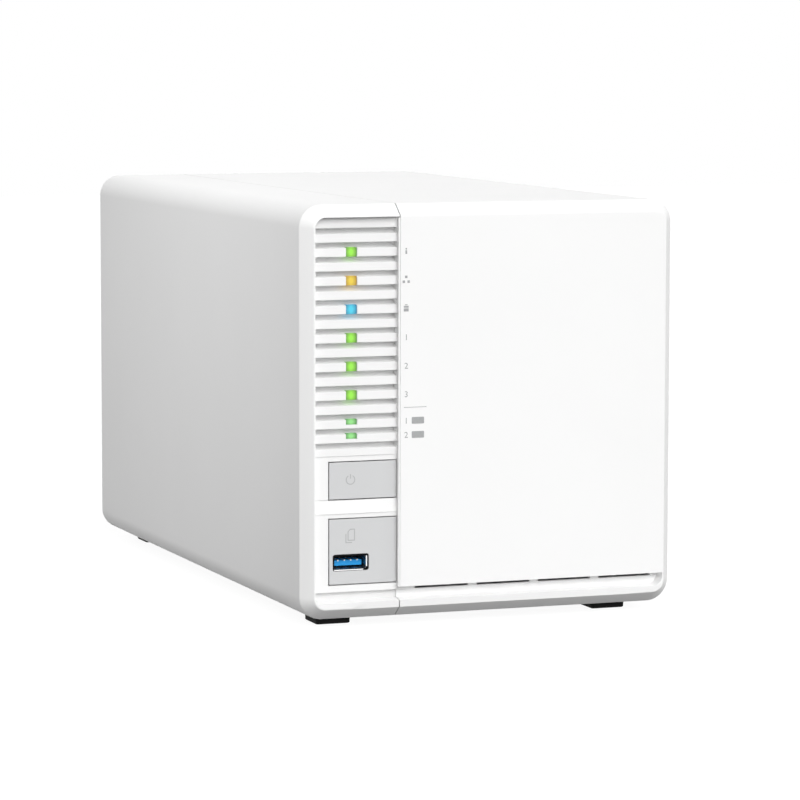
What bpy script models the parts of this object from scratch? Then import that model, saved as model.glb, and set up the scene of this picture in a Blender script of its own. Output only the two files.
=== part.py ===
"""Three-bay desktop storage unit in separate pieces. Metres, +Z up, the front faces -Y."""
import math

import bmesh
import bpy

# Fits
CLEARANCE = 0.0003  # between pieces that touch
FINE_CLEARANCE = 0.00015  # round pins and in light windows
OVERLAP = 0.0005  # how far joined solids run into each other
REACH = 0.004  # how far a cutter runs past what it cuts

# Facets
CORNER_STEPS = 7
ROUND_STEPS = 24
SMALL_ROUND_STEPS = 16
SMOOTH_ANGLE = 35  # faces that meet at less than this shade as one, degrees

# Housing
SHELL_WALL = 0.0022
FRONT_WALL = 0.0024
CORNER_RADIUS = 0.009
SMALLEST_RADIUS = 0.001
CHAMFER_INSET = 0.0039
CHAMFER_DEPTH = 0.0052
REAR_CHAMFER = 0.0008
RIM_LAND = 0.0011
RIM_DEPTH = 0.008
SEAM_GAP = 0.0005
COVER_WRAP = 0.011  # width of the cover's turn under the right side
RECESS_DEPTH = 0.0036
RECESS_HEIGHT = 0.0047
RECESS_LIP = 0.0012  # the cover face ends this far above the strip
SILL_WALL = 0.002
SLIT_LENGTH = 0.0203
SLIT_GAP = 0.0034
SLIT_HEIGHT = 0.0008
SLIT_DROP = 0.0006  # below the cover face
SLIT_MARGIN = 0.0071
FOOT_HEIGHT = 0.0035
FOOT_SIZE = 0.013
FOOT_RADIUS = 0.0008
FOOT_FRONT = 0.0145
FOOT_REAR = 0.012
FOOT_LEFT = 0.0095
FOOT_REAR_IN = 0.0021  # rear feet stand this much further in
FOOT_RIGHT = 0.002  # from the right edge of the floor

# Indicator strip
PANEL_SETBACK = 0.0025
PANEL_THICKNESS = 0.0045
FLAT_SETBACK = 0.0003
LOUVRE_PITCH = 0.00504
LOUVRE_ROWS = 16
GROOVE_DEPTH = 0.0014
GROOVE_HEIGHT = 0.0019
POWER_ROWS = 3
BRIDGE_ROWS = 1
SOCKET_ROWS = 5
LOWER_BAND = 0.00236
TOP_BAND = 0.00344
WINDOW_WIDTH = 0.004
WINDOW_HEIGHT = 0.0031
WINDOW_RISE = 0.0004
WINDOW_LEFT = 0.0065  # from the left edge of the buttons
SMALL_WINDOW_HEIGHT = 0.002
SMALL_WINDOW_RISE = 0.0015
STATUS_LIGHTS = (1, 3, 5, 7, 9, 11)  # louvres with a large window, from the top
MODULE_LIGHTS = (13, 14)  # louvres with a small window
WINDOW_SET = 0.0007  # light pipes end this far behind the strip's face
PIPE_SPINE = 0.002
PIPE_STAND = 0.002
POST_SIZE = 0.003
POST_INSET = 0.0042

# Buttons and front socket
BUTTON_MARGIN = 0.005
BUTTON_WIDTH = 0.0255
BUTTON_SILL = 0.0004
BUTTON_HEAD = 0.0014
BUTTON_TRAVEL = 0.0008
FLANGE = 0.0015
FLANGE_THICKNESS = 0.001
STEM_SIZE = 0.004
SWITCH_SIZE = 0.006
SWITCH_HEIGHT = 0.0035
PLUNGER_RADIUS = 0.0017
PLUNGER_HEIGHT = 0.001
SWITCH_LEFT = 0.0085  # from the left edge of the buttons
POWER_SWITCH_RISE = 0.0071
COPY_SWITCH_RISE = 0.0173
USB_WIDTH = 0.0129
USB_HEIGHT = 0.0054
USB_WALL = 0.0004
USB_LEFT = 0.002
USB_RISE = 0.0049
USB_SETBACK = 0.0006
USB_TONGUE_WIDTH = 0.0106
USB_TONGUE_HEIGHT = 0.0019
USB_TONGUE_SET = 0.0018
USB_TONGUE_RISE = 0.0008
BOARD = 0.0016
FRONT_BOARD_STAND = 0.010
FRONT_BOARD_MARGIN = 0.003
FRONT_BOARD_RIGHT = 0.0035

# Drives, trays and cage
DRIVE_THICKNESS = 0.0261
DRIVE_LENGTH = 0.147
DRIVE_HEIGHT = 0.1016
BAY_COUNT = 3
TRAY_LIP = 0.002
TRAY_RAIL = 0.005
TRAY_FRONT = 0.006
TRAY_END = 0.003  # the rails stop this far short of the drive's end
SLIDE_GAP = 0.0005
SHEET = 0.001
CAGE_SETBACK = 0.005
CAGE_TAIL = 0.004
CAGE_LIFT = 0.0015  # above the housing's rounded lower corner
CAGE_HEADROOM = 0.005
LEG_INSET = 0.006
SIDE_GAP = 0.0015
DIVIDER_SETBACK = 0.006
LEVER_SPACE = 0.0044
LEVER_THICKNESS = 0.005
LEVER_GAP = 0.0004
LEVER_WIDTH = 0.012
LEVER_FOOT = 0.010  # pivot above the tray's underside
LEVER_HEAD = 0.009  # lever end below the tray's top
LEVER_GRIP = 0.009
LEVER_GRIP_DEPTH = 0.002
EAR_THICKNESS = 0.002
EAR_HEIGHT = 0.007
PIN_RADIUS = 0.00125
SOCKET_LENGTH = 0.042
SOCKET_THICKNESS = 0.006
SOCKET_ENGAGE = 0.004
SOCKET_SIDE = 0.003
SOCKET_RISE = 0.010
BACKPLANE_GAP = 0.0045
VENT_WIDTH = 0.018
VENT_HEIGHT = 0.034
VENT_RISE = 0.060

# Main board and its plate
PLENUM = 0.057
STANDOFF = 0.004
STANDOFF_RADIUS = 0.0025
PLATE_SETBACK = 0.028
PLATE_HEIGHT = 0.128
PLATE_FOOT = 0.012
MAIN_BOARD_SETBACK = 0.034
MAIN_BOARD_END = 0.0015
MAIN_BOARD_RISE = 0.007
MAIN_BOARD_HEIGHT = 0.116
STANDOFF_INSET = 0.007
SINK_SIZE = 0.042
SINK_HEIGHT = 0.016
SINK_BASE = 0.003
SINK_FINS = 8
FIN_SHARE = 0.35
SINK_BACK = 0.046
SINK_RISE = 0.066
SLOT_DEPTH = 0.003
SLOT_WALL = 0.0016
SLOT_BACK = 0.003
MEMORY_LENGTH = 0.0676
MEMORY_WIDTH = 0.030
MEMORY_THICKNESS = 0.0012
MEMORY_STAND = 0.0034
MEMORY_SOCKET_EXTRA = 0.002
MEMORY_SETBACK = 0.012
MEMORY_RISE = 0.040
MODULE_COUNT = 2
MODULE_WIDTH = 0.022
MODULE_LENGTH = 0.080
MODULE_THICKNESS = 0.0008
MODULE_STAND = 0.003
MODULE_RISE = 0.006
MODULE_BACK = 0.050
CHIP_HEIGHT = 0.0012
CHIP_SIZE = 0.013
CHIP_PITCH = 0.017
MEMORY_CHIPS = 4
MODULE_CHIPS = 3

# Ports, seen from behind
PORT_PROUD = 0.0005
PORT_GAP = 0.007
PORT_RISE = 0.013
PORT_WALL = 0.0009
INLET_WIDTH = 0.010
INLET_HEIGHT = 0.011
INLET_DEPTH = 0.0145
INLET_BORE = 0.0032
INLET_PIN = 0.001
INLET_WALL = 0.002
NETWORK_WIDTH = 0.016
NETWORK_HEIGHT = 0.0135
NETWORK_DEPTH = 0.021
NETWORK_MOUTH_WIDTH = 0.0118
NETWORK_MOUTH_HEIGHT = 0.0086
NETWORK_MOUTH_DEPTH = 0.013
TWIN_USB_HEIGHT = 0.0156
TWIN_USB_WIDTH = 0.0142
TWIN_USB_DEPTH = 0.018
TWIN_TONGUE_WIDTH = 0.0108
TWIN_TONGUE_HEIGHT = 0.0019
TWIN_TONGUE_LENGTH = 0.009
VIDEO_WIDTH = 0.015
VIDEO_HEIGHT = 0.0062
VIDEO_DEPTH = 0.012
VIDEO_TONGUE_WIDTH = 0.0118
VIDEO_TONGUE_HEIGHT = 0.0015
VIDEO_TONGUE_LENGTH = 0.006
RESET_SIZE = 0.005
RESET_DEPTH = 0.005
RESET_RADIUS = 0.0011
RESET_LENGTH = 0.004
RESET_TRAVEL = 0.0004
LOCK_WIDTH = 0.007
LOCK_HEIGHT = 0.003
LOCK_GAP = 0.012

# Back and fan
REAR_LIP = 0.002
FAN_SIZE = 0.092
FAN_DEPTH = 0.025
FAN_GAP = 0.002
FAN_CORNER = 0.004
FAN_WALL = 0.0015
FAN_HOLE_INSET = 0.00475
FAN_HUB = 0.0195
FAN_TIP_GAP = 0.0013
FAN_BASE = 0.004
FAN_STRUT = 0.004
FAN_STRUTS = 4
FAN_FACE = 0.0015  # rotor face behind the frame's inner face
FAN_BASE_GAP = 0.0005
BLADES = 7
BLADE_THICKNESS = 0.0016
BLADE_SWEEP = 0.36  # half the angle one blade covers, radians
BLADE_DEPTH = 0.0055  # half the depth one blade covers
BLADE_CAMBER = 0.0016
GRILLE_FIRST = 0.008
GRILLE_SLOT = 0.0046
GRILLE_PITCH = 0.0072
GRILLE_RIB = 0.003
GRILLE_PARTS = 4
GRILLE_STEPS = 6
SCREW_HEAD_RADIUS = 0.0031
SCREW_HEAD = 0.0015
SCREW_RADIUS = 0.0016
SCREW_LENGTH = 0.008
TAB_SIZE = 0.010
TAB_DEPTH = 0.009
TAB_INSET = 0.01865  # from the ends of the bay space

# Worked out from the sizes above: across
TRAY_WIDTH = DRIVE_THICKNESS + 2 * TRAY_LIP
BAY_PITCH = TRAY_WIDTH + 2 * SLIDE_GAP + SHEET
CAGE_WIDTH = BAY_COUNT * BAY_PITCH + SHEET
BAY_SPACE = max(CAGE_WIDTH, FAN_SIZE + 2 * FAN_GAP)
RIM_INSET = CHAMFER_INSET + RIM_LAND
SEAM_OFFSET = RIM_INSET + BUTTON_MARGIN + BUTTON_WIDTH + SEAM_GAP
WIDTH = SEAM_OFFSET + CAGE_SETBACK + BAY_SPACE + SIDE_GAP + SHELL_WALL
X_LEFT = -WIDTH / 2
X_RIGHT = WIDTH / 2
X_SEAM = X_LEFT + SEAM_OFFSET
X_BUTTON = X_LEFT + RIM_INSET + BUTTON_MARGIN
X_BUTTON_END = X_BUTTON + BUTTON_WIDTH
X_WINDOW = X_BUTTON + WINDOW_LEFT
X_SWITCH = X_BUTTON + SWITCH_LEFT
X_FLOOR_END = X_RIGHT - COVER_WRAP
X_CAGE = X_SEAM + CAGE_SETBACK
X_CAGE_END = X_CAGE + CAGE_WIDTH
X_FAN = X_CAGE + BAY_SPACE / 2
X_PLATE = X_CAGE - CLEARANCE - SHEET
X_BOARD = X_PLATE - STANDOFF - BOARD
X_PORT = X_BOARD - CLEARANCE

# Worked out: up
Z_FLOOR = FOOT_HEIGHT + SHELL_WALL
Z_FREE = Z_FLOOR + OVERLAP
Z_STRIP = FOOT_HEIGHT + RIM_INSET + RECESS_HEIGHT
Z_SOCKET = Z_STRIP + LOWER_BAND
Z_BRIDGE = Z_SOCKET + SOCKET_ROWS * LOUVRE_PITCH
Z_POWER = Z_BRIDGE + BRIDGE_ROWS * LOUVRE_PITCH
Z_LOUVRES = Z_POWER + POWER_ROWS * LOUVRE_PITCH
Z_LOUVRES_TOP = Z_LOUVRES + LOUVRE_ROWS * LOUVRE_PITCH
Z_FACE = Z_STRIP + RECESS_LIP
Z_SEAT = Z_FLOOR + CLEARANCE
Z_CAGE = FOOT_HEIGHT + CORNER_RADIUS + CAGE_LIFT
Z_TRAY = Z_CAGE + SHEET + CLEARANCE
TRAY_HEIGHT = DRIVE_HEIGHT + 2 * (TRAY_RAIL + CLEARANCE)
CAGE_HEIGHT = TRAY_HEIGHT + 2 * (SHEET + CLEARANCE)
STRIP_TOP = Z_LOUVRES_TOP + TOP_BAND + RIM_INSET
HEIGHT = max(STRIP_TOP, Z_CAGE + CAGE_HEIGHT + CAGE_HEADROOM + SHELL_WALL)
Z_FAN = (FOOT_HEIGHT + HEIGHT) / 2
Z_BOARD = Z_SEAT + MAIN_BOARD_RISE
Z_BOARD_END = Z_BOARD + MAIN_BOARD_HEIGHT

# Worked out: front to back, with the front face at zero and then moved to the middle
LEVER_FACE = RECESS_DEPTH + SILL_WALL + LEVER_SPACE
TRAY_FACE = LEVER_FACE + LEVER_THICKNESS + LEVER_GAP
DRIVE_FACE = TRAY_FACE + TRAY_FRONT + CLEARANCE
DRIVE_END = DRIVE_FACE + DRIVE_LENGTH
BACKPLANE_FACE = DRIVE_END + BACKPLANE_GAP
FAN_FRONT = BACKPLANE_FACE + BOARD + PLENUM
BACK_FACE = FAN_FRONT + FAN_DEPTH + CLEARANCE
DEPTH = BACK_FACE + SHEET + REAR_LIP
Y_FRONT = -DEPTH / 2
Y_REAR = DEPTH / 2
Y_PANEL = Y_FRONT + PANEL_SETBACK
Y_FLAT = Y_PANEL + FLAT_SETBACK
Y_PANEL_BACK = Y_PANEL + PANEL_THICKNESS
Y_FRONT_BOARD = Y_PANEL_BACK + FRONT_BOARD_STAND
Y_RIM_END = Y_FRONT + RIM_DEPTH + RIM_INSET - SHELL_WALL + OVERLAP
Y_SILL = Y_FRONT + RECESS_DEPTH + SILL_WALL
Y_LEVER = Y_FRONT + LEVER_FACE + LEVER_THICKNESS / 2
Y_TRAY = Y_FRONT + TRAY_FACE
Y_DRIVE = Y_FRONT + DRIVE_FACE
Y_DRIVE_END = Y_FRONT + DRIVE_END
Y_BACKPLANE = Y_FRONT + BACKPLANE_FACE
Y_CAGE_END = Y_BACKPLANE + BOARD + CAGE_TAIL
Y_FAN = Y_FRONT + FAN_FRONT
Y_BACK = Y_FRONT + BACK_FACE
Y_BACK_OUT = Y_BACK + SHEET
Y_BOARD = Y_TRAY + MAIN_BOARD_SETBACK
Y_BOARD_END = Y_BACK - MAIN_BOARD_END
Y_PORT_FACE = Y_BACK_OUT + PORT_PROUD

# Worked out: ports stacked up the back
Z_INLET = Z_SEAT + PORT_RISE
Z_NETWORK = Z_INLET + INLET_WIDTH + PORT_GAP
Z_TWIN_USB = Z_NETWORK + NETWORK_WIDTH + PORT_GAP
Z_VIDEO = Z_TWIN_USB + TWIN_USB_WIDTH + PORT_GAP
Z_RESET = Z_VIDEO + VIDEO_WIDTH + PORT_GAP
X_RESET = X_PORT - RESET_SIZE / 2
Z_RESET_MIDDLE = Z_RESET + RESET_SIZE / 2
Z_LOCK = Z_RESET + RESET_SIZE + LOCK_GAP

# Worked out: fan and screws
FAN_BORE = FAN_SIZE / 2 - FAN_WALL
FAN_PITCH = FAN_SIZE - 2 * FAN_HOLE_INSET
FAN_HOLES = [(X_FAN + i * FAN_PITCH / 2, Z_FAN + k * FAN_PITCH / 2) for i in (-1, 1) for k in (-1, 1)]
TAB_SPREAD = BAY_SPACE / 2 - TAB_INSET
Z_TAB = HEIGHT - SHELL_WALL - TAB_SIZE / 2
TAB_HOLES = [(X_FAN + side * TAB_SPREAD, Z_TAB) for side in (-1, 1)]
HOLE_RADIUS = SCREW_RADIUS + CLEARANCE

FINISHES = {
    "white_plastic": ((0.90, 0.90, 0.89), 0.42, 0.0),
    "grey_plastic": ((0.62, 0.63, 0.64), 0.45, 0.0),
    "black_plastic": ((0.03, 0.03, 0.035), 0.5, 0.0),
    "clear_plastic": ((0.55, 0.80, 0.50), 0.25, 0.0),
    "blue_plastic": ((0.02, 0.22, 0.60), 0.4, 0.0),
    "rubber": ((0.02, 0.02, 0.02), 0.85, 0.0),
    "steel_sheet": ((0.60, 0.61, 0.62), 0.38, 1.0),
    "bright_steel": ((0.72, 0.72, 0.72), 0.25, 1.0),
    "black_steel": ((0.04, 0.04, 0.045), 0.55, 0.0),
    "aluminium": ((0.75, 0.76, 0.77), 0.35, 1.0),
    "green_board": ((0.02, 0.16, 0.07), 0.5, 0.0),
    "tray_plastic": ((0.10, 0.10, 0.11), 0.55, 0.0),
}


def clear_scene():
    """Remove whatever the scene starts with."""
    for obj in list(bpy.data.objects):
        bpy.data.objects.remove(obj, do_unlink=True)


def finish(name):
    """Return the named material, made on first use."""
    if name in bpy.data.materials:
        return bpy.data.materials[name]
    colour, roughness, metallic = FINISHES[name]
    made = bpy.data.materials.new(name)
    made.use_nodes = True
    shader = made.node_tree.nodes["Principled BSDF"]
    shader.inputs["Base Color"].default_value = (*colour, 1.0)
    shader.inputs["Roughness"].default_value = roughness
    shader.inputs["Metallic"].default_value = metallic
    return made


def lay(axis, u, v, w):
    """Place outline point (u, v) at distance w along the axis it is pushed along."""
    return {"X": (w, u, v), "Y": (u, w, v), "Z": (u, v, w)}[axis]


def circle(u, v, radius, steps=SMALL_ROUND_STEPS):
    """Return the corners of a round outline."""
    turn = 2 * math.pi / steps
    return [(u + radius * math.cos(turn * i), v + radius * math.sin(turn * i)) for i in range(steps)]


def rectangle(left, low, right, high):
    """Return the corners of an upright outline."""
    return [(left, low), (right, low), (right, high), (left, high)]


def quarter(u, v, radius, start):
    """Return a quarter turn about (u, v) from the start angle, in degrees."""
    angles = [math.radians(start + 90 * i / CORNER_STEPS) for i in range(CORNER_STEPS + 1)]
    return [(u + radius * math.cos(a), v + radius * math.sin(a)) for a in angles]


def rounded(left, low, right, high, radius):
    """Return an upright outline with rounded corners."""
    points = quarter(right - radius, high - radius, radius, 0)
    points += quarter(left + radius, high - radius, radius, 90)
    points += quarter(left + radius, low + radius, radius, 180)
    return points + quarter(right - radius, low + radius, radius, 270)


def body_outline(inset):
    """Return the housing's outline seen from the front, drawn in by the inset."""
    radius = max(CORNER_RADIUS - inset, SMALLEST_RADIUS)
    return rounded(X_LEFT + inset, FOOT_HEIGHT + inset, X_RIGHT - inset, HEIGHT - inset, radius)


def lower_outline(inset, top):
    """Return the part of the housing's outline below a level top."""
    radius = max(CORNER_RADIUS - inset, SMALLEST_RADIUS)
    low = FOOT_HEIGHT + inset
    points = [(X_RIGHT - inset, top), (X_LEFT + inset, top)]
    points += quarter(X_LEFT + inset + radius, low + radius, radius, 180)
    return points + quarter(X_RIGHT - inset - radius, low + radius, radius, 270)


def prism(loops, axis, low, high):
    """Return a closed solid: an outline and its holes pushed along one axis."""
    solid = bmesh.new()
    edges = []
    for loop in loops:
        corners = [solid.verts.new(lay(axis, u, v, low)) for u, v in loop]
        if len(loops) == 1:
            solid.faces.new(corners)
        else:
            edges += [solid.edges.new(pair) for pair in zip(corners, corners[1:] + corners[:1])]
    if edges:
        bmesh.ops.triangle_fill(solid, use_beauty=True, use_dissolve=False, edges=edges)
    pushed = bmesh.ops.extrude_face_region(solid, geom=solid.faces[:])["geom"]
    moved = [item for item in pushed if isinstance(item, bmesh.types.BMVert)]
    bmesh.ops.translate(solid, verts=moved, vec=lay(axis, 0, 0, high - low))
    bmesh.ops.recalc_face_normals(solid, faces=solid.faces[:])
    return solid


def block(low, high):
    """Return a closed box between two corners."""
    return prism([rectangle(low[0], low[1], high[0], high[1])], "Z", low[2], high[2])


def loft(rings):
    """Return a closed solid through rings of points that all have the same count."""
    solid = bmesh.new()
    rows = [[solid.verts.new(point) for point in ring] for ring in rings]
    for near, far in zip(rows, rows[1:]):
        for i, corner in enumerate(near):
            solid.faces.new((near[i - 1], corner, far[i], far[i - 1]))
    solid.faces.new(rows[0])
    solid.faces.new(rows[-1])
    bmesh.ops.recalc_face_normals(solid, faces=solid.faces[:])
    return solid


def body_loft(stations):
    """Return a solid through housing outlines, each given as its inset and its place in Y."""
    return loft([[lay("Y", u, v, y) for u, v in body_outline(inset)] for inset, y in stations])


def turned(profile, axis, u, v, steps=SMALL_ROUND_STEPS):
    """Return a round solid about an axis from pairs of radius and place along it."""
    return loft([[lay(axis, a, b, w) for a, b in circle(u, v, radius, steps)] for radius, w in profile])


def gathered(solids):
    """Return one mesh that holds several separate solids."""
    whole = bmesh.new()
    for solid in solids:
        made = bpy.data.meshes.new("gathered")
        solid.to_mesh(made)
        solid.free()
        whole.from_mesh(made)
        bpy.data.meshes.remove(made)
    return whole


def piece(name, solid, material, at=(0, 0, 0), smooth=False):
    """Make a named piece from a solid built in place, with its origin at the given point."""
    bmesh.ops.translate(solid, verts=solid.verts[:], vec=[-value for value in at])
    mesh = bpy.data.meshes.new(name)
    solid.to_mesh(mesh)
    solid.free()
    mesh.materials.append(finish(material))
    if smooth:
        mesh.shade_smooth()
        mesh.set_sharp_from_angle(angle=math.radians(SMOOTH_ANGLE))
    made = bpy.data.objects.new(name, mesh)
    made.location = at
    bpy.context.collection.objects.link(made)
    return made


def copies(first, names, places):
    """Place more pieces that share the first one's mesh."""
    for name, place in zip(names, places):
        made = bpy.data.objects.new(name, first.data)
        made.location = place
        bpy.context.collection.objects.link(made)


def shape(target, operation, solid):
    """Cut, join or trim a piece with a solid built in the piece's world place."""
    name = f"{target.name}_{operation.lower()}_{len(target.modifiers)}"
    mesh = bpy.data.meshes.new(name)
    solid.to_mesh(mesh)
    solid.free()
    tool = bpy.data.objects.new(name, mesh)
    tool.hide_render = True
    tool.display_type = "WIRE"
    bpy.context.collection.objects.link(tool)
    step = target.modifiers.new(name, "BOOLEAN")
    step.object = tool
    step.operation = operation
    step.solver = "EXACT"


def cut(target, *solids):
    """Take solids away from a piece, one after the other."""
    for solid in solids:
        shape(target, "DIFFERENCE", solid)


def join(target, *solids):
    """Add solids that run into a piece, one after the other."""
    for solid in solids:
        shape(target, "UNION", solid)


def settle(target):
    """Turn a piece's cuts and joins into its own mesh, for pieces that are repeated."""
    bpy.context.view_layer.update()
    ready = target.evaluated_get(bpy.context.evaluated_depsgraph_get())
    mesh = bpy.data.meshes.new_from_object(ready)
    mesh.name = target.name
    for step in list(target.modifiers):
        tool = step.object
        target.modifiers.remove(step)
        bpy.data.objects.remove(tool, do_unlink=True)
    target.data = mesh


def whole_body():
    """Return the housing as one block with its chamfered front."""
    return body_loft([
        (CHAMFER_INSET, Y_FRONT),
        (0, Y_FRONT + CHAMFER_DEPTH),
        (0, Y_REAR - REAR_CHAMFER),
        (REAR_CHAMFER, Y_REAR),
    ])


def body_cavity(front):
    """Return the space inside the housing, starting at the given place in Y."""
    return body_loft([
        (RIM_INSET, front),
        (RIM_INSET, Y_FRONT + RIM_DEPTH),
        (SHELL_WALL, Y_FRONT + RIM_DEPTH + RIM_INSET - SHELL_WALL),
        (SHELL_WALL, Y_REAR + REACH),
    ])


def build_left_shell():
    """Left side, top strip, floor and left rim."""
    shell = piece("left_shell", whole_body(), "white_plastic")
    cut(shell, body_cavity(Y_FRONT - REACH))
    beyond = [
        (Y_FRONT - REACH, -REACH),
        (Y_RIM_END, -REACH),
        (Y_RIM_END, Z_FREE),
        (Y_REAR + REACH, Z_FREE),
        (Y_REAR + REACH, HEIGHT + REACH),
        (Y_FRONT - REACH, HEIGHT + REACH),
    ]
    cut(shell, prism([beyond], "X", X_SEAM - SEAM_GAP, X_RIGHT + REACH))
    corner_low = (X_FLOOR_END, Y_FRONT - REACH, -REACH)
    cut(shell, block(corner_low, (X_RIGHT + REACH, Y_REAR + REACH, Z_FREE + REACH)))


def slits():
    """Return the air slits in the wall behind the lower recess."""
    left = X_SEAM + SLIT_MARGIN
    space = X_RIGHT - RIM_INSET - left
    count = max(1, int((space + SLIT_GAP) / (SLIT_LENGTH + SLIT_GAP)))
    high = Z_FACE - SLIT_DROP
    solids = []
    for i in range(count):
        start = left + i * (SLIT_LENGTH + SLIT_GAP)
        low = (start, Y_FRONT + RECESS_DEPTH - OVERLAP, high - SLIT_HEIGHT)
        solids.append(block(low, (start + SLIT_LENGTH, Y_SILL + REACH, high)))
    return gathered(solids)


def build_cover_shell():
    """Front face, top and right side, with the recess and slits below the face."""
    shell = piece("cover_shell", whole_body(), "white_plastic")
    cut(shell, body_cavity(Y_FRONT + FRONT_WALL))
    sill = lower_outline(RIM_INSET - RIM_LAND / 2, Z_FACE + SILL_WALL)
    join(shell, prism([sill], "Y", Y_FRONT + FRONT_WALL / 2, Y_SILL))
    recess = lower_outline(RIM_INSET, Z_FACE)
    cut(shell, prism([recess], "Y", Y_FRONT - REACH, Y_FRONT + RECESS_DEPTH))
    cut(shell, slits())
    cut(shell, block((X_LEFT - REACH, Y_FRONT - REACH, -REACH), (X_SEAM, Y_REAR + REACH, HEIGHT + REACH)))
    floor_low = (X_SEAM - REACH, Y_RIM_END - SEAM_GAP, -REACH)
    cut(shell, block(floor_low, (X_FLOOR_END + SEAM_GAP, Y_REAR + REACH, Z_FREE)))
    for x, z in TAB_HOLES:
        low = (x - TAB_SIZE / 2, Y_BACK - CLEARANCE - TAB_DEPTH, z - TAB_SIZE / 2)
        high = (x + TAB_SIZE / 2, Y_BACK - CLEARANCE, HEIGHT - SHELL_WALL / 2)
        join(shell, block(low, high))
    tab_ends = (Y_BACK - TAB_DEPTH - REACH, Y_BACK + REACH)
    cut(shell, gathered([prism([circle(x, z, HOLE_RADIUS)], "Y", *tab_ends) for x, z in TAB_HOLES]))


def build_feet():
    """Four rubber feet under the floor."""
    half = FOOT_SIZE / 2
    left, right = X_LEFT + FOOT_LEFT + half, X_FLOOR_END - FOOT_RIGHT - half
    near, far = Y_FRONT + FOOT_FRONT + half, Y_REAR - FOOT_REAR - half
    places = [(left, near, 0), (left + FOOT_REAR_IN, far, 0), (right, near, 0), (right - FOOT_REAR_IN, far, 0)]
    pad = prism([rounded(-half, -half, half, half, FOOT_RADIUS)], "Z", 0, FOOT_HEIGHT - CLEARANCE)
    first = piece("foot_1", pad, "rubber", smooth=True)
    first.location = places[0]
    copies(first, ("foot_2", "foot_3", "foot_4"), places[1:])


def strip_profile():
    """Return the indicator strip's outline seen from the right, from the top down."""
    top = HEIGHT - RIM_INSET
    low = FOOT_HEIGHT + RIM_INSET
    deep = Y_PANEL + GROOVE_DEPTH
    points = [(Y_PANEL_BACK, top), (Y_PANEL, top), (Y_PANEL, Z_LOUVRES_TOP)]
    for row in range(LOUVRE_ROWS):
        edge = Z_LOUVRES_TOP - row * LOUVRE_PITCH
        points += [(deep, edge), (Y_PANEL, edge - GROOVE_HEIGHT), (Y_PANEL, edge - LOUVRE_PITCH)]
    points += [(Y_FLAT, Z_LOUVRES), (Y_FLAT, Z_POWER), (Y_FLAT + FLAT_SETBACK, Z_POWER)]
    points += [(Y_PANEL, Z_BRIDGE), (Y_FLAT, Z_BRIDGE), (Y_FLAT, Z_STRIP)]
    return points + [(Y_FRONT + RECESS_DEPTH, Z_STRIP), (Y_FRONT + RECESS_DEPTH, low), (Y_PANEL_BACK, low)]


def window_spans():
    """Return the low and high edge of each light window, large ones and small ones."""
    large = []
    small = []
    for row in STATUS_LIGHTS:
        low = Z_LOUVRES_TOP - (row + 1) * LOUVRE_PITCH + WINDOW_RISE
        large.append((low, low + WINDOW_HEIGHT))
    for row in MODULE_LIGHTS:
        low = Z_LOUVRES_TOP - (row + 1) * LOUVRE_PITCH + SMALL_WINDOW_RISE
        small.append((low, low + SMALL_WINDOW_HEIGHT))
    return large, small


def button_spans():
    """Return the low and high edge of the power button and of the copy button."""
    power = (Z_POWER + BUTTON_SILL, Z_LOUVRES - BUTTON_HEAD)
    return power, (Z_SOCKET + BUTTON_SILL, Z_BRIDGE - BUTTON_HEAD)


def build_indicator_panel():
    """Louvred strip with its light windows, button openings and board posts."""
    solid = prism([strip_profile()], "X", X_LEFT, X_SEAM - SEAM_GAP)
    panel = piece("indicator_panel", solid, "white_plastic")
    fit = prism([body_outline(RIM_INSET + CLEARANCE)], "Y", Y_FRONT, Y_PANEL_BACK + REACH)
    shape(panel, "INTERSECT", fit)
    near, far = Y_FRONT - REACH, Y_PANEL_BACK + REACH
    openings = []
    for low, high in sum(window_spans(), []):
        openings.append(block((X_WINDOW, near, low), (X_WINDOW + WINDOW_WIDTH, far, high)))
    for low, high in button_spans():
        corner = (X_BUTTON - CLEARANCE, near, low - CLEARANCE)
        openings.append(block(corner, (X_SEAM + REACH, far, high + CLEARANCE)))
    cut(panel, gathered(openings))
    middle = X_LEFT + RIM_INSET + POST_INSET
    half = POST_SIZE / 2
    posts = []
    for level in (Z_STRIP - RECESS_HEIGHT / 2, Z_LOUVRES + LOUVRE_PITCH, HEIGHT - RIM_INSET - POST_INSET):
        low = (middle - half, Y_PANEL_BACK - OVERLAP, level - half)
        posts.append(block(low, (middle + half, Y_FRONT_BOARD - CLEARANCE, level + half)))
    join(panel, gathered(posts))


def light_pipe(name, spans):
    """One clear moulding: a spine with a prong into each window."""
    front = Y_PANEL + WINDOW_SET
    near = Y_PANEL_BACK + PIPE_STAND
    far = near + PIPE_SPINE
    low = spans[-1][0] + FINE_CLEARANCE
    high = spans[0][1] - FINE_CLEARANCE
    points = [(far, low), (far, high)]
    for bottom, top in spans:
        bottom, top = bottom + FINE_CLEARANCE, top - FINE_CLEARANCE
        points += [(near, top), (front, top), (front, bottom), (near, bottom)]
    points.remove((near, high))
    points.remove((near, low))
    left = X_WINDOW + FINE_CLEARANCE
    piece(name, prism([points], "X", left, X_WINDOW + WINDOW_WIDTH - FINE_CLEARANCE), "clear_plastic")


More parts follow.
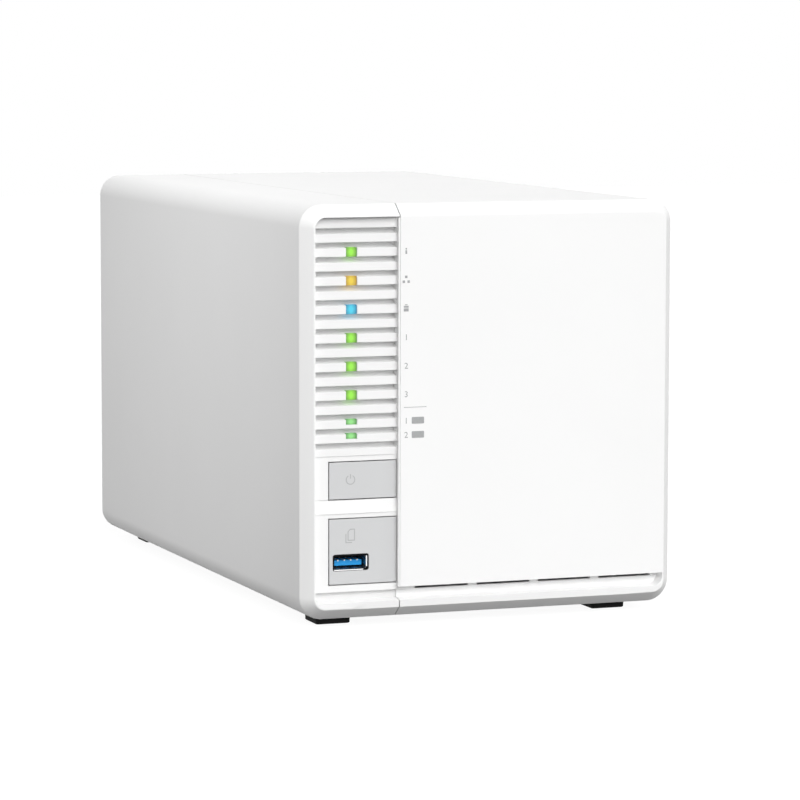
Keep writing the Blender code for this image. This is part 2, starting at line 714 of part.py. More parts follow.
def build_button(name, span, rise):
    """A front plate with a flange behind the strip and a stem to its switch."""
    low, high = span
    front = (X_BUTTON, Y_FLAT, low)
    flange_face = Y_PANEL_BACK + CLEARANCE
    flange_end = flange_face + FLANGE_THICKNESS
    middle = low + rise
    plate = block(front, (X_BUTTON_END, flange_end, high))
    button = piece(name, plate, "grey_plastic", at=(X_SWITCH, Y_FLAT, middle))
    flange_low = (X_BUTTON - FLANGE, flange_face, low - FLANGE)
    flange_high = (X_BUTTON_END - FLANGE, flange_end + OVERLAP, high + FLANGE)
    stem_end = Y_FRONT_BOARD - CLEARANCE - SWITCH_HEIGHT - PLUNGER_HEIGHT - BUTTON_TRAVEL - FINE_CLEARANCE
    half = STEM_SIZE / 2
    stem_low = (X_SWITCH - half, flange_face + OVERLAP, middle - half)
    join(button, block(flange_low, flange_high))
    join(button, block(stem_low, (X_SWITCH + half, stem_end, middle + half)))
    return button


def build_switch(name, middle):
    """A small push switch on the front board."""
    half = SWITCH_SIZE / 2
    face = Y_FRONT_BOARD - CLEARANCE - SWITCH_HEIGHT
    low = (X_SWITCH - half, face, middle - half)
    body = block(low, (X_SWITCH + half, face + SWITCH_HEIGHT, middle + half))
    switch = piece(name, body, "black_plastic", at=(X_SWITCH, face, middle))
    ends = (face - PLUNGER_HEIGHT, face + OVERLAP)
    join(switch, prism([circle(X_SWITCH, middle, PLUNGER_RADIUS)], "Y", *ends))


def build_front_controls():
    """Buttons, switches, light pipes, front socket and the board behind them."""
    build_indicator_panel()
    large, small = window_spans()
    light_pipe("status_light_pipe", large)
    light_pipe("module_light_pipe", small)
    power, copy = button_spans()
    build_button("power_button", power, POWER_SWITCH_RISE)
    copy_button = build_button("copy_button", copy, COPY_SWITCH_RISE)
    build_switch("power_switch", power[0] + POWER_SWITCH_RISE)
    build_switch("copy_switch", copy[0] + COPY_SWITCH_RISE)
    left = X_BUTTON + USB_LEFT
    right = left + USB_WIDTH
    low = copy[0] + USB_RISE
    high = low + USB_HEIGHT
    near = (left - CLEARANCE, Y_FRONT, low - CLEARANCE)
    cut(copy_button, block(near, (right + CLEARANCE, Y_FRONT_BOARD, high + CLEARANCE)))
    face = Y_FLAT + USB_SETBACK
    end = Y_FRONT_BOARD - CLEARANCE
    hollow = rectangle(left + USB_WALL, low + USB_WALL, right - USB_WALL, high - USB_WALL)
    socket = prism([rectangle(left, low, right, high), hollow], "Y", face, end)
    piece("front_usb_shell", socket, "bright_steel")
    tongue_left = (left + right - USB_TONGUE_WIDTH) / 2
    tongue_low = low + USB_WALL + USB_TONGUE_RISE
    tongue_high = (tongue_left + USB_TONGUE_WIDTH, end, tongue_low + USB_TONGUE_HEIGHT)
    tongue = block((tongue_left, face + USB_TONGUE_SET, tongue_low), tongue_high)
    piece("front_usb_tongue", tongue, "blue_plastic")
    inset = SHELL_WALL + FRONT_BOARD_MARGIN
    board_low = (X_LEFT + inset, Y_FRONT_BOARD, FOOT_HEIGHT + inset)
    board_high = (X_SEAM - FRONT_BOARD_RIGHT, Y_FRONT_BOARD + BOARD, HEIGHT - inset)
    piece("front_board", block(board_low, board_high), "green_board")


def build_cage():
    """Steel cage round the bays, on two legs, and the plates between the bays."""
    top = Z_CAGE + CAGE_HEIGHT
    leg = X_FLOOR_END - LEG_INSET
    outer = [(X_CAGE, Z_SEAT), (X_CAGE + SHEET, Z_SEAT), (X_CAGE + SHEET, Z_CAGE), (leg, Z_CAGE)]
    outer += [(leg, Z_SEAT), (leg + SHEET, Z_SEAT), (leg + SHEET, Z_CAGE), (X_CAGE_END, Z_CAGE)]
    outer += [(X_CAGE_END, top), (X_CAGE, top)]
    inner = rectangle(X_CAGE + SHEET, Z_CAGE + SHEET, X_CAGE_END - SHEET, top - SHEET)
    piece("cage", prism([outer, inner], "Y", Y_TRAY, Y_CAGE_END), "steel_sheet")
    for i in range(1, BAY_COUNT):
        left = X_CAGE + i * BAY_PITCH
        low = (left, Y_TRAY + DIVIDER_SETBACK, Z_TRAY)
        high = (left + SHEET, Y_BACKPLANE - CLEARANCE, Z_TRAY + TRAY_HEIGHT)
        piece(f"divider_{i}", block(low, high), "steel_sheet")


def build_backplane():
    """Board behind the drives with air holes, and one socket for each drive."""
    gap = SHEET + CLEARANCE
    outer = rectangle(X_CAGE + gap, Z_TRAY, X_CAGE_END - gap, Z_TRAY + TRAY_HEIGHT)
    loops = [outer]
    low = Z_TRAY + TRAY_RAIL + SOCKET_RISE
    for i in range(BAY_COUNT):
        middle = X_CAGE + SHEET + SLIDE_GAP + TRAY_WIDTH / 2 + i * BAY_PITCH
        vent_low = Z_TRAY + VENT_RISE
        vent = rectangle(middle - VENT_WIDTH / 2, vent_low, middle + VENT_WIDTH / 2, vent_low + VENT_HEIGHT)
        loops.append(vent)
        left = middle - DRIVE_THICKNESS / 2 + SOCKET_SIDE
        near = (left, Y_DRIVE_END - SOCKET_ENGAGE, low)
        far = (left + SOCKET_THICKNESS, Y_BACKPLANE - CLEARANCE, low + SOCKET_LENGTH)
        piece(f"drive_socket_{i + 1}", block(near, far), "black_plastic")
    piece("backplane", prism(loops, "Y", Y_BACKPLANE, Y_BACKPLANE + BOARD), "green_board")


def tray_solid():
    """Return the tray's front bar and rails as seen from the right."""
    top = Z_TRAY + TRAY_HEIGHT
    end = Y_DRIVE_END - TRAY_END
    inside = Y_TRAY + TRAY_FRONT
    points = [(Y_TRAY, Z_TRAY), (end, Z_TRAY), (end, Z_TRAY + TRAY_RAIL), (inside, Z_TRAY + TRAY_RAIL)]
    points += [(inside, top - TRAY_RAIL), (end, top - TRAY_RAIL), (end, top), (Y_TRAY, top)]
    return prism([points], "X", -TRAY_WIDTH / 2, TRAY_WIDTH / 2)


def lever_outline(pivot):
    """Return the lever's outline seen from the right, with its pin hole."""
    half = LEVER_THICKNESS / 2
    top = Z_TRAY + TRAY_HEIGHT - LEVER_HEAD
    grip = Y_LEVER - half - LEVER_GRIP_DEPTH
    points = [(Y_LEVER + half, top), (grip, top), (grip, top - LEVER_GRIP)]
    points += [(Y_LEVER - half, top - LEVER_GRIP - LEVER_GRIP_DEPTH)]
    points += quarter(Y_LEVER, pivot, half, 180) + quarter(Y_LEVER, pivot, half, 270)[1:]
    return [points, circle(Y_LEVER, pivot, PIN_RADIUS + FINE_CLEARANCE)]


def build_trays():
    """Trays, drives, levers and pins, one set for each bay."""
    pivot = Z_TRAY + LEVER_FOOT
    tray = piece("tray_1", tray_solid(), "tray_plastic")
    half = LEVER_WIDTH / 2 + CLEARANCE
    ear_face = Y_LEVER - LEVER_THICKNESS / 2
    ear = rectangle(ear_face, pivot - EAR_HEIGHT / 2, Y_TRAY + OVERLAP, pivot + EAR_HEIGHT / 2)
    ear_loops = [ear, circle(Y_LEVER, pivot, PIN_RADIUS + FINE_CLEARANCE)]
    join(tray, prism(ear_loops, "X", half, half + EAR_THICKNESS))
    join(tray, prism(ear_loops, "X", -half - EAR_THICKNESS, -half))
    settle(tray)

    half = DRIVE_THICKNESS / 2
    base = Z_TRAY + TRAY_RAIL + CLEARANCE
    case = block((-half, Y_DRIVE, base), (half, Y_DRIVE_END, base + DRIVE_HEIGHT))
    drive = piece("drive_1", case, "aluminium")
    left = -half + SOCKET_SIDE - CLEARANCE
    low = Z_TRAY + TRAY_RAIL + SOCKET_RISE - CLEARANCE
    right = left + SOCKET_THICKNESS + 2 * CLEARANCE
    high = low + SOCKET_LENGTH + 2 * CLEARANCE
    near = (left, Y_DRIVE_END - SOCKET_ENGAGE - CLEARANCE, low)
    cut(drive, block(near, (right, Y_DRIVE_END + REACH, high)))
    settle(drive)

    lever_loops = lever_outline(pivot)
    spot = (0, Y_LEVER, pivot)
    lever = prism(lever_loops, "X", -LEVER_WIDTH / 2, LEVER_WIDTH / 2)
    lever = piece("lever_1", lever, "grey_plastic", at=spot, smooth=True)
    end = LEVER_WIDTH / 2 + CLEARANCE + EAR_THICKNESS
    pin = prism([circle(Y_LEVER, pivot, PIN_RADIUS)], "X", -end, end)
    pin = piece("lever_pin_1", pin, "bright_steel", at=spot, smooth=True)

    first = X_CAGE + SHEET + SLIDE_GAP + TRAY_WIDTH / 2
    shifts = [first + i * BAY_PITCH for i in range(BAY_COUNT)]
    for kind, home in ((tray, (0, 0)), (drive, (0, 0)), (lever, spot[1:]), (pin, spot[1:])):
        stem = kind.name[:-1]
        names = [f"{stem}{i + 1}" for i in range(1, BAY_COUNT)]
        kind.location = (shifts[0], *home)
        copies(kind, names, [(shift, *home) for shift in shifts[1:]])


def build_board_plate():
    """Steel plate with a foot and standoffs for the main board."""
    top = Z_SEAT + PLATE_HEIGHT
    right = X_PLATE + SHEET
    outline = [(right, Z_SEAT), (right, top), (X_PLATE, top), (X_PLATE, Z_SEAT + SHEET)]
    outline += [(X_PLATE - PLATE_FOOT, Z_SEAT + SHEET), (X_PLATE - PLATE_FOOT, Z_SEAT)]
    solid = prism([outline], "Y", Y_TRAY + PLATE_SETBACK, Y_BACK - CLEARANCE)
    plate = piece("board_tray", solid, "steel_sheet")
    rows = (Y_BOARD + STANDOFF_INSET, (Y_BOARD + Y_BOARD_END) / 2, Y_BOARD_END - STANDOFF_INSET)
    levels = (Z_BOARD + STANDOFF_INSET, Z_BOARD_END - STANDOFF_INSET)
    ends = (X_BOARD + BOARD + CLEARANCE, X_PLATE + OVERLAP)
    outlines = [circle(y, z, STANDOFF_RADIUS) for y in rows for z in levels]
    join(plate, gathered([prism([outline], "X", *ends) for outline in outlines]))


def slot_socket(name, start, stand, thickness, low, length):
    """A socket on the main board whose slot takes a module's edge."""
    slot_near = X_PORT - stand + CLEARANCE
    slot_far = X_PORT - stand - thickness - CLEARANCE
    back = start - SLOT_BACK
    points = [(X_PORT, back), (X_PORT, start + SLOT_DEPTH), (slot_near, start + SLOT_DEPTH)]
    points += [(slot_near, start), (slot_far, start), (slot_far, start + SLOT_DEPTH)]
    points += [(slot_far - SLOT_WALL, start + SLOT_DEPTH), (slot_far - SLOT_WALL, back)]
    piece(name, prism([points], "Z", low, low + length), "black_plastic")


def card(name, start, stand, thickness, low, size, chips):
    """A plug-in module with a row of chips; size is its length in Y and in Z."""
    right = X_PORT - stand
    left = right - thickness
    near = (left, start + CLEARANCE, low)
    board = piece(name, block(near, (right, start + CLEARANCE + size[0], low + size[1])), "green_board")
    along = 0 if size[0] > size[1] else 1
    middle = [start + size[0] / 2, low + size[1] / 2]
    solids = []
    for i in range(chips):
        spot = list(middle)
        spot[along] += (i - (chips - 1) / 2) * CHIP_PITCH
        half = CHIP_SIZE / 2
        corner = (left - CHIP_HEIGHT, spot[0] - half, spot[1] - half)
        solids.append(block(corner, (left + thickness / 2, spot[0] + half, spot[1] + half)))
    join(board, gathered(solids))


def build_main_board():
    """Main board with its heat sink, memory and two storage modules."""
    low = (X_BOARD, Y_BOARD, Z_BOARD)
    piece("main_board", block(low, (X_BOARD + BOARD, Y_BOARD_END, Z_BOARD_END)), "green_board")
    start = Y_BOARD_END - SINK_BACK - SINK_SIZE
    base = X_PORT - SINK_BASE
    tip = X_PORT - SINK_HEIGHT
    low_edge = Z_BOARD + SINK_RISE
    step = SINK_SIZE / (SINK_FINS - 1 + FIN_SHARE)
    outline = [(X_PORT, low_edge + SINK_SIZE), (X_PORT, low_edge)]
    for i in range(SINK_FINS):
        foot = low_edge + i * step
        edge = foot + FIN_SHARE * step
        outline += [(base, foot), (tip, foot), (tip, edge), (base, edge)]
    outline.remove((base, low_edge))
    outline.pop()
    piece("heat_sink", prism([outline], "Y", start, start + SINK_SIZE), "aluminium")
    memory = Y_BOARD + MEMORY_SETBACK
    memory_low = Z_BOARD + MEMORY_RISE
    slot_socket(
        "memory_socket", memory, MEMORY_STAND, MEMORY_THICKNESS,
        memory_low - MEMORY_SOCKET_EXTRA, MEMORY_LENGTH + 2 * MEMORY_SOCKET_EXTRA,
    )
    size = (MEMORY_WIDTH, MEMORY_LENGTH)
    card("memory_module", memory, MEMORY_STAND, MEMORY_THICKNESS, memory_low, size, MEMORY_CHIPS)
    for i in range(MODULE_COUNT):
        module = Y_BOARD + MODULE_BACK
        module_low = Z_BOARD + MODULE_RISE + i * (MODULE_WIDTH + MODULE_RISE)
        place = (module, MODULE_STAND, MODULE_THICKNESS, module_low)
        slot_socket(f"module_socket_{i + 1}", *place, MODULE_WIDTH)
        card(f"storage_module_{i + 1}", *place, (MODULE_LENGTH, MODULE_WIDTH), MODULE_CHIPS)


def port_block(name, low, width, height, depth, material):
    """A connector body on the main board whose face comes through the back."""
    near = (X_PORT - height, Y_PORT_FACE - depth, low)
    return piece(name, block(near, (X_PORT, Y_PORT_FACE, low + width)), material)


def build_ports():
    """Power inlet, network, twin and video sockets and the reset switch."""
    inlet = port_block("power_inlet", Z_INLET, INLET_WIDTH, INLET_HEIGHT, INLET_DEPTH, "black_plastic")
    middle = (X_PORT - INLET_HEIGHT / 2, Z_INLET + INLET_WIDTH / 2)
    floor = Y_PORT_FACE - INLET_DEPTH + INLET_WALL
    cut(inlet, prism([circle(*middle, INLET_BORE)], "Y", floor, Y_PORT_FACE + REACH))
    join(inlet, prism([circle(*middle, INLET_PIN)], "Y", floor - OVERLAP, Y_PORT_FACE - INLET_WALL))

    size = (NETWORK_WIDTH, NETWORK_HEIGHT, NETWORK_DEPTH)
    network = port_block("network_port", Z_NETWORK, *size, "bright_steel")
    left = X_PORT - (NETWORK_HEIGHT + NETWORK_MOUTH_HEIGHT) / 2
    low = Z_NETWORK + (NETWORK_WIDTH - NETWORK_MOUTH_WIDTH) / 2
    near = (left, Y_PORT_FACE - NETWORK_MOUTH_DEPTH, low)
    far = (left + NETWORK_MOUTH_HEIGHT, Y_PORT_FACE + REACH, low + NETWORK_MOUTH_WIDTH)
    cut(network, block(near, far))

    size = (TWIN_USB_WIDTH, TWIN_USB_HEIGHT, TWIN_USB_DEPTH)
    twin = port_block("usb_ports", Z_TWIN_USB, *size, "bright_steel")
    mouth = (TWIN_USB_HEIGHT - 3 * PORT_WALL) / 2
    lefts = (X_PORT - PORT_WALL - mouth, X_PORT - 2 * PORT_WALL - 2 * mouth)
    for left in lefts:
        hollow(twin, left, Z_TWIN_USB, mouth, TWIN_USB_WIDTH, TWIN_USB_DEPTH)
    for left in lefts:
        sizes = (TWIN_TONGUE_WIDTH, TWIN_TONGUE_HEIGHT, TWIN_TONGUE_LENGTH)
        tongue(twin, left + mouth / 2, Z_TWIN_USB + TWIN_USB_WIDTH / 2, sizes, TWIN_USB_DEPTH)

    video = port_block("video_port", Z_VIDEO, VIDEO_WIDTH, VIDEO_HEIGHT, VIDEO_DEPTH, "bright_steel")
    left = X_PORT - VIDEO_HEIGHT + PORT_WALL
    hollow(video, left, Z_VIDEO, VIDEO_HEIGHT - 2 * PORT_WALL, VIDEO_WIDTH, VIDEO_DEPTH)
    sizes = (VIDEO_TONGUE_WIDTH, VIDEO_TONGUE_HEIGHT, VIDEO_TONGUE_LENGTH)
    tongue(video, X_PORT - VIDEO_HEIGHT / 2, Z_VIDEO + VIDEO_WIDTH / 2, sizes, VIDEO_DEPTH)

    button_end = Y_BACK_OUT - FINE_CLEARANCE
    face = button_end - RESET_LENGTH + RESET_TRAVEL + CLEARANCE
    near = (X_PORT - RESET_SIZE, face - RESET_DEPTH, Z_RESET)
    reset = piece("reset_switch", block(near, (X_PORT, face, Z_RESET + RESET_SIZE)), "black_plastic")
    bore = circle(X_RESET, Z_RESET_MIDDLE, RESET_RADIUS + FINE_CLEARANCE)
    cut(reset, prism([bore], "Y", face - 2 * RESET_TRAVEL - 2 * CLEARANCE, face + REACH))
    ends = (button_end - RESET_LENGTH, button_end)
    button = prism([circle(X_RESET, Z_RESET_MIDDLE, RESET_RADIUS)], "Y", *ends)
    at = (X_RESET, button_end, Z_RESET_MIDDLE)
    piece("reset_button", button, "grey_plastic", at=at, smooth=True)


def hollow(port, left, low, height, width, depth):
    """Open a connector's mouth, leaving its side walls and its floor."""
    near = (left, Y_PORT_FACE - depth + 2 * PORT_WALL, low + PORT_WALL)
    cut(port, block(near, (left + height, Y_PORT_FACE + REACH, low + width - PORT_WALL)))


def tongue(port, x, z, sizes, depth):
    """Stand a tongue on the floor of a connector's mouth; sizes are width, height and length."""
    width, height, length = sizes
    floor = Y_PORT_FACE - depth + 2 * PORT_WALL
    near = (x - height / 2, floor - OVERLAP, z - width / 2)
    join(port, block(near, (x + height / 2, floor + length, z + width / 2)))


def port_hole(low, width, height):
    """Return the hole in the back for one connector."""
    far = X_PORT - height - CLEARANCE
    return rectangle(far, low - CLEARANCE, X_PORT + CLEARANCE, low + width + CLEARANCE)


def grille():
    """Return the outlines of the curved slots over the fan."""
    loops = []
    inner = GRILLE_FIRST
    while inner + GRILLE_SLOT < FAN_BORE:
        outer = inner + GRILLE_SLOT
        for part in range(GRILLE_PARTS):
            start = 2 * math.pi * (part + 0.5) / GRILLE_PARTS
            turn = 2 * math.pi / GRILLE_PARTS
            loop = []
            for radius, order in ((outer, 1), (inner, -1)):
                trim = math.asin(GRILLE_RIB / 2 / radius)
                span = turn - 2 * trim
                steps = range(GRILLE_STEPS + 1)[::order]
                angles = [start + trim + span * i / GRILLE_STEPS for i in steps]
                loop += [(X_FAN + radius * math.cos(a), Z_FAN + radius * math.sin(a)) for a in angles]
            loops.append(loop)
        inner += GRILLE_PITCH
    return loops


def build_rear_panel():
    """Steel back with the grille and the holes for ports and screws."""
    loops = [body_outline(SHELL_WALL + CLEARANCE)] + grille()
    loops += [circle(x, z, HOLE_RADIUS) for x, z in FAN_HOLES + TAB_HOLES]
    loops.append(port_hole(Z_INLET, INLET_WIDTH, INLET_HEIGHT))
    loops.append(port_hole(Z_NETWORK, NETWORK_WIDTH, NETWORK_HEIGHT))
    loops.append(port_hole(Z_TWIN_USB, TWIN_USB_WIDTH, TWIN_USB_HEIGHT))
    loops.append(port_hole(Z_VIDEO, VIDEO_WIDTH, VIDEO_HEIGHT))
    loops.append(circle(X_RESET, Z_RESET_MIDDLE, RESET_RADIUS + CLEARANCE))
    lock = LOCK_WIDTH / 2
    loops.append(rectangle(X_RESET - lock, Z_LOCK, X_RESET + lock, Z_LOCK + LOCK_HEIGHT))
    piece("rear_panel", prism(loops, "Y", Y_BACK, Y_BACK_OUT), "black_steel")


def build_fan():
    """Fan frame with its hub struts, and the rotor in it."""
    half = FAN_SIZE / 2
    loops = [rounded(X_FAN - half, Z_FAN - half, X_FAN + half, Z_FAN + half, FAN_CORNER)]
    loops.append(circle(X_FAN, Z_FAN, FAN_BORE, 2 * ROUND_STEPS))
    loops += [circle(x, z, HOLE_RADIUS) for x, z in FAN_HOLES]
    end = Y_FAN + FAN_DEPTH
    middle = (X_FAN, Y_FAN, Z_FAN)
    frame = piece("fan_frame", prism(loops, "Y", Y_FAN, end), "black_plastic", at=middle, smooth=True)
    base = end - FAN_BASE
    join(frame, prism([spider()], "Y", base, end - OVERLAP))

    hub = [(FAN_HUB, Y_FAN + FAN_FACE), (FAN_HUB, base - FAN_BASE_GAP)]
    rotor = turned(hub, "Y", X_FAN, Z_FAN, 2 * ROUND_STEPS)
    rotor = piece("fan_rotor", rotor, "black_plastic", at=middle, smooth=True)
    depth = (Y_FAN + FAN_FACE + base - FAN_BASE_GAP) / 2
    join(rotor, gathered([blade(2 * math.pi * i / BLADES, depth) for i in range(BLADES)]))


def spider():
    """Return the outline of the fan's hub base with its struts."""
    points = []
    turn = 2 * math.pi / FAN_STRUTS
    reach = FAN_BORE + OVERLAP
    for i in range(FAN_STRUTS):
        angle = turn * (i + 0.5)
        near = math.asin(FAN_STRUT / 2 / FAN_HUB)
        far = math.asin(FAN_STRUT / 2 / reach)
        spokes = [(FAN_HUB, -near), (reach, -far), (reach, far), (FAN_HUB, near)]
        points += [(radius, angle + side) for radius, side in spokes]
        steps = range(1, CORNER_STEPS)
        points += [(FAN_HUB, angle + near + (turn - 2 * near) * k / CORNER_STEPS) for k in steps]
    return [(X_FAN + radius * math.cos(a), Z_FAN + radius * math.sin(a)) for radius, a in points]


def blade(angle, depth):
    """Return one curved fan blade at the given angle and middle depth."""
    rings = []
    inner = FAN_HUB - 2 * OVERLAP
    outer = FAN_BORE - FAN_TIP_GAP
    for share in (0, 0.5, 1):
        radius = inner + (outer - inner) * share
        sweep = BLADE_SWEEP * (1 - share / 4)
        near = []
        far = []
        for side in (-1, 0, 1):
            bend = angle + side * sweep + share * BLADE_SWEEP / 2
            x = X_FAN + radius * math.cos(bend)
            z = Z_FAN + radius * math.sin(bend)
            y = depth + side * BLADE_DEPTH + (1 - side * side) * BLADE_CAMBER
            near.append((x, y - BLADE_THICKNESS / 2, z))
            far.append((x, y + BLADE_THICKNESS / 2, z))
        rings.append(near + far[::-1])
    return loft(rings)


def build_screws():
    """Screws through the back: four into the fan and two into the cover."""
    head = Y_BACK_OUT + CLEARANCE
    profile = [(SCREW_RADIUS, -SCREW_LENGTH), (SCREW_RADIUS, 0)]
    profile += [(SCREW_HEAD_RADIUS, 0), (SCREW_HEAD_RADIUS, SCREW_HEAD)]
    first = piece("fan_screw_1", turned(profile, "Y", 0, 0), "bright_steel", smooth=True)
    places = [(x, head, z) for x, z in FAN_HOLES + TAB_HOLES]
    names = ["fan_screw_2", "fan_screw_3", "fan_screw_4", "cover_screw_1", "cover_screw_2"]
    first.location = places[0]
    copies(first, names, places[1:])


def main():
    """Build every piece."""
    clear_scene()
    build_left_shell()
    build_cover_shell()
    build_feet()
    build_front_controls()
    build_cage()
    build_backplane()
    build_trays()
    build_board_plate()
    build_main_board()
    build_ports()
    build_rear_panel()
    build_fan()
    build_screws()


main()
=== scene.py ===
"""Looks of a desktop storage unit with three drive bays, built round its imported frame.

Metres, +Z up, the front faces -Y. Every piece is made where the frame has its node and rides
on that node's body, so the unit looks right with its cover on and with its trays pulled out.
"""
import logging
import math
from collections.abc import Iterable, Sequence
from dataclasses import dataclass
from enum import Enum

import bmesh
import bpy
from mathutils import Matrix, Vector


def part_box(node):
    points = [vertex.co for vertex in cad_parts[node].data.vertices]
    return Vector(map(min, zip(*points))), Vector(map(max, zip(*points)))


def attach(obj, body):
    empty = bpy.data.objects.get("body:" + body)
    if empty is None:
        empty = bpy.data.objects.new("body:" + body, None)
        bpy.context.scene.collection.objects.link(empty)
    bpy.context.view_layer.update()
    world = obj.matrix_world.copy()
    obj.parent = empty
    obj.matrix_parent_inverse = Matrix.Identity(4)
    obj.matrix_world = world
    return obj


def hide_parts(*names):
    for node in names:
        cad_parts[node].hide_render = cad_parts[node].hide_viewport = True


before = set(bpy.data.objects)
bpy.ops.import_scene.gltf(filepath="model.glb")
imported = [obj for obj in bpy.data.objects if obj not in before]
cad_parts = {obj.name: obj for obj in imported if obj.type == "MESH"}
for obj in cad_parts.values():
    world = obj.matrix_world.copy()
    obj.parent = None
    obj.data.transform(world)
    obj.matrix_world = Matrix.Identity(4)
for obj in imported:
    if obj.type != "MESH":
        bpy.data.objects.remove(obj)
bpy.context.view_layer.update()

LOG = logging.getLogger("storage_unit")
Point = tuple[float, float]
Place = tuple[float, float, float]
Colour = tuple[float, float, float]
Loop = list[Point]
Solid = bmesh.types.BMesh

REACH = 0.004  # how far a cutter runs past what it cuts
OVERLAP = 0.0005  # how far joined solids run into each other
SOFT_ANGLE = math.radians(35)  # edges sharper than this are rounded over
FINE_EDGE = 0.0001  # rounding of sheet metal, boards and contacts
SMALL_EDGE = 0.0002  # rounding of chips and small mouldings
MOULD_EDGE = 0.0003  # rounding of large mouldings
SCREW_BORE = 0.0019  # radius of the holes that the screws go through
WELD = 0.000001  # corners closer than this are one
FINE_WELD = 0.0000001  # the same within a printed number
DIGIT_HEIGHT = 0.7  # height of a digit as a share of its type size
MITRE = 0.3  # least cosine at the corner of a drawn line


class Axis(Enum):
    """The axis that an outline is pushed along."""

    X = "X"
    Y = "Y"
    Z = "Z"

    def at(self, u: float, v: float, w: float) -> Place:
        """Return where outline point (u, v) lies at distance w along this axis."""
        return {Axis.X: (w, u, v), Axis.Y: (u, w, v), Axis.Z: (u, v, w)}[self]


class Work(Enum):
    """What a tool solid does to the solid it is used on."""

    CUT = "DIFFERENCE"
    JOIN = "UNION"
    TRIM = "INTERSECT"


def arc(u: float, v: float, radius: float, start: float, turn: float, steps: int = 8) -> Loop:
    """Return points along part of a circle.

    Args:
        u, v: Middle of the circle.
        radius: Its radius.
        start: First angle in degrees.
        turn: Degrees covered, negative for clockwise.
        steps: Number of straight steps.

    Returns:
        The points, both ends among them.
    """
    angles = [math.radians(start + turn * i / steps) for i in range(steps + 1)]
    return [(u + radius * math.cos(a), v + radius * math.sin(a)) for a in angles]


def disc(u: float, v: float, radius: float, steps: int = 32) -> Loop:
    """Return a round outline."""
    return arc(u, v, radius, 0, 360, steps)[:-1]


def oblong(left: float, low: float, right: float, high: float, radius: float = 0.0, steps: int = 6) -> Loop:
    """Return an upright outline, with rounded corners where a radius is given.

    Args:
        left, low: Lower left corner.
        right, high: Upper right corner.
        radius: Corner radius, 0 for square corners.
        steps: Straight steps in each corner.

    Returns:
        The outline, counter-clockwise.
    """
    if radius <= 0:
        return [(left, low), (right, low), (right, high), (left, high)]
    middles = (
        (right - radius, high - radius),
        (left + radius, high - radius),
        (left + radius, low + radius),
        (right - radius, low + radius),
    )
    return [p for i, (u, v) in enumerate(middles) for p in arc(u, v, radius, 90 * i, 90, steps)]


def eased(path: Loop, radius: float, steps: int = 5) -> Loop:
    """Return an open path whose inner corners are rounded over.

    Args:
        path: Corners of the path.
        radius: How far from a corner the rounding starts, at most half of each side.
        steps: Straight steps in each rounding.

    Returns:
        The rounded path with the same two ends.
    """
    points = [path[0]]
    for before, corner, after in zip(path, path[1:], path[2:]):
        here, back, on = Vector(corner), Vector(before), Vector(after)
        start = here + (back - here).normalized() * min(radius, (back - here).length / 2)
        end = here + (on - here).normalized() * min(radius, (on - here).length / 2)
        for i in range(steps + 1):
            t = i / steps
            spot = start * (1 - t) ** 2 + here * 2 * t * (1 - t) + end * t**2
            points.append((spot.x, spot.y))
    return [*points, path[-1]]


def stroke(path: Loop, width: float, closed: bool = False) -> list[Loop]:
    """Return the outline of a line of even width drawn along a path.

    Args:
        path: Points of the line.
        width: Width of the line.
        closed: Whether the line comes back to its first point.

    Returns:
        One outline, or for a closed line the outer one and its hole.
    """
    spots = [Vector(point) for point in path]
    sides: list[Loop] = [[], []]
    last = len(spots) - 1
    for i, here in enumerate(spots):
        before = spots[i - 1] if i or closed else here * 2 - spots[1]
        after = spots[(i + 1) % len(spots)] if i < last or closed else here * 2 - spots[last - 1]
        into, out = (here - before).normalized(), (after - here).normalized()
        across = Vector((-into.y - out.y, into.x + out.x)).normalized()
        reach = width / 2 / max(across.dot(Vector((-into.y, into.x))), MITRE)
        for side, sign in zip(sides, (1, -1)):
            side.append(tuple(here + across * reach * sign))
    return sides if closed else [sides[0] + sides[1][::-1]]


def prism(loops: Sequence[Loop], axis: Axis, low: float, high: float) -> Solid:
    """Return a closed solid: an outline and its holes pushed along an axis.

    Args:
        loops: The outline, then its holes.
        axis: Axis it is pushed along.
        low, high: Where it starts and ends on that axis.

    Returns:
        The solid.
    """
    solid = bmesh.new()
    edges = []
    for loop in loops:
        corners = [solid.verts.new(axis.at(u, v, low)) for u, v in loop]
        if len(loops) == 1:
            solid.faces.new(corners)
        else:
            edges += [solid.edges.new(pair) for pair in zip(corners, corners[1:] + corners[:1])]
    if edges:
        bmesh.ops.triangle_fill(solid, use_beauty=True, use_dissolve=False, edges=edges)
    pushed = bmesh.ops.extrude_face_region(solid, geom=solid.faces[:])["geom"]
    moved = [item for item in pushed if isinstance(item, bmesh.types.BMVert)]
    bmesh.ops.translate(solid, verts=moved, vec=axis.at(0, 0, high - low))
    bmesh.ops.recalc_face_normals(solid, faces=solid.faces[:])
    return solid


def block(low: Sequence[float], high: Sequence[float], radius: float = 0.0, axis: Axis = Axis.Z) -> Solid:
    """Return a box between two corners.

    Args:
        low, high: Its lowest and highest corner.
        radius: Radius of the four edges along the axis.
        axis: The axis these edges run along.

    Returns:
        The solid.
    """
    u, v, w = {Axis.X: (1, 2, 0), Axis.Y: (0, 2, 1), Axis.Z: (0, 1, 2)}[axis]
    return prism([oblong(low[u], low[v], high[u], high[v], radius)], axis, low[w], high[w])


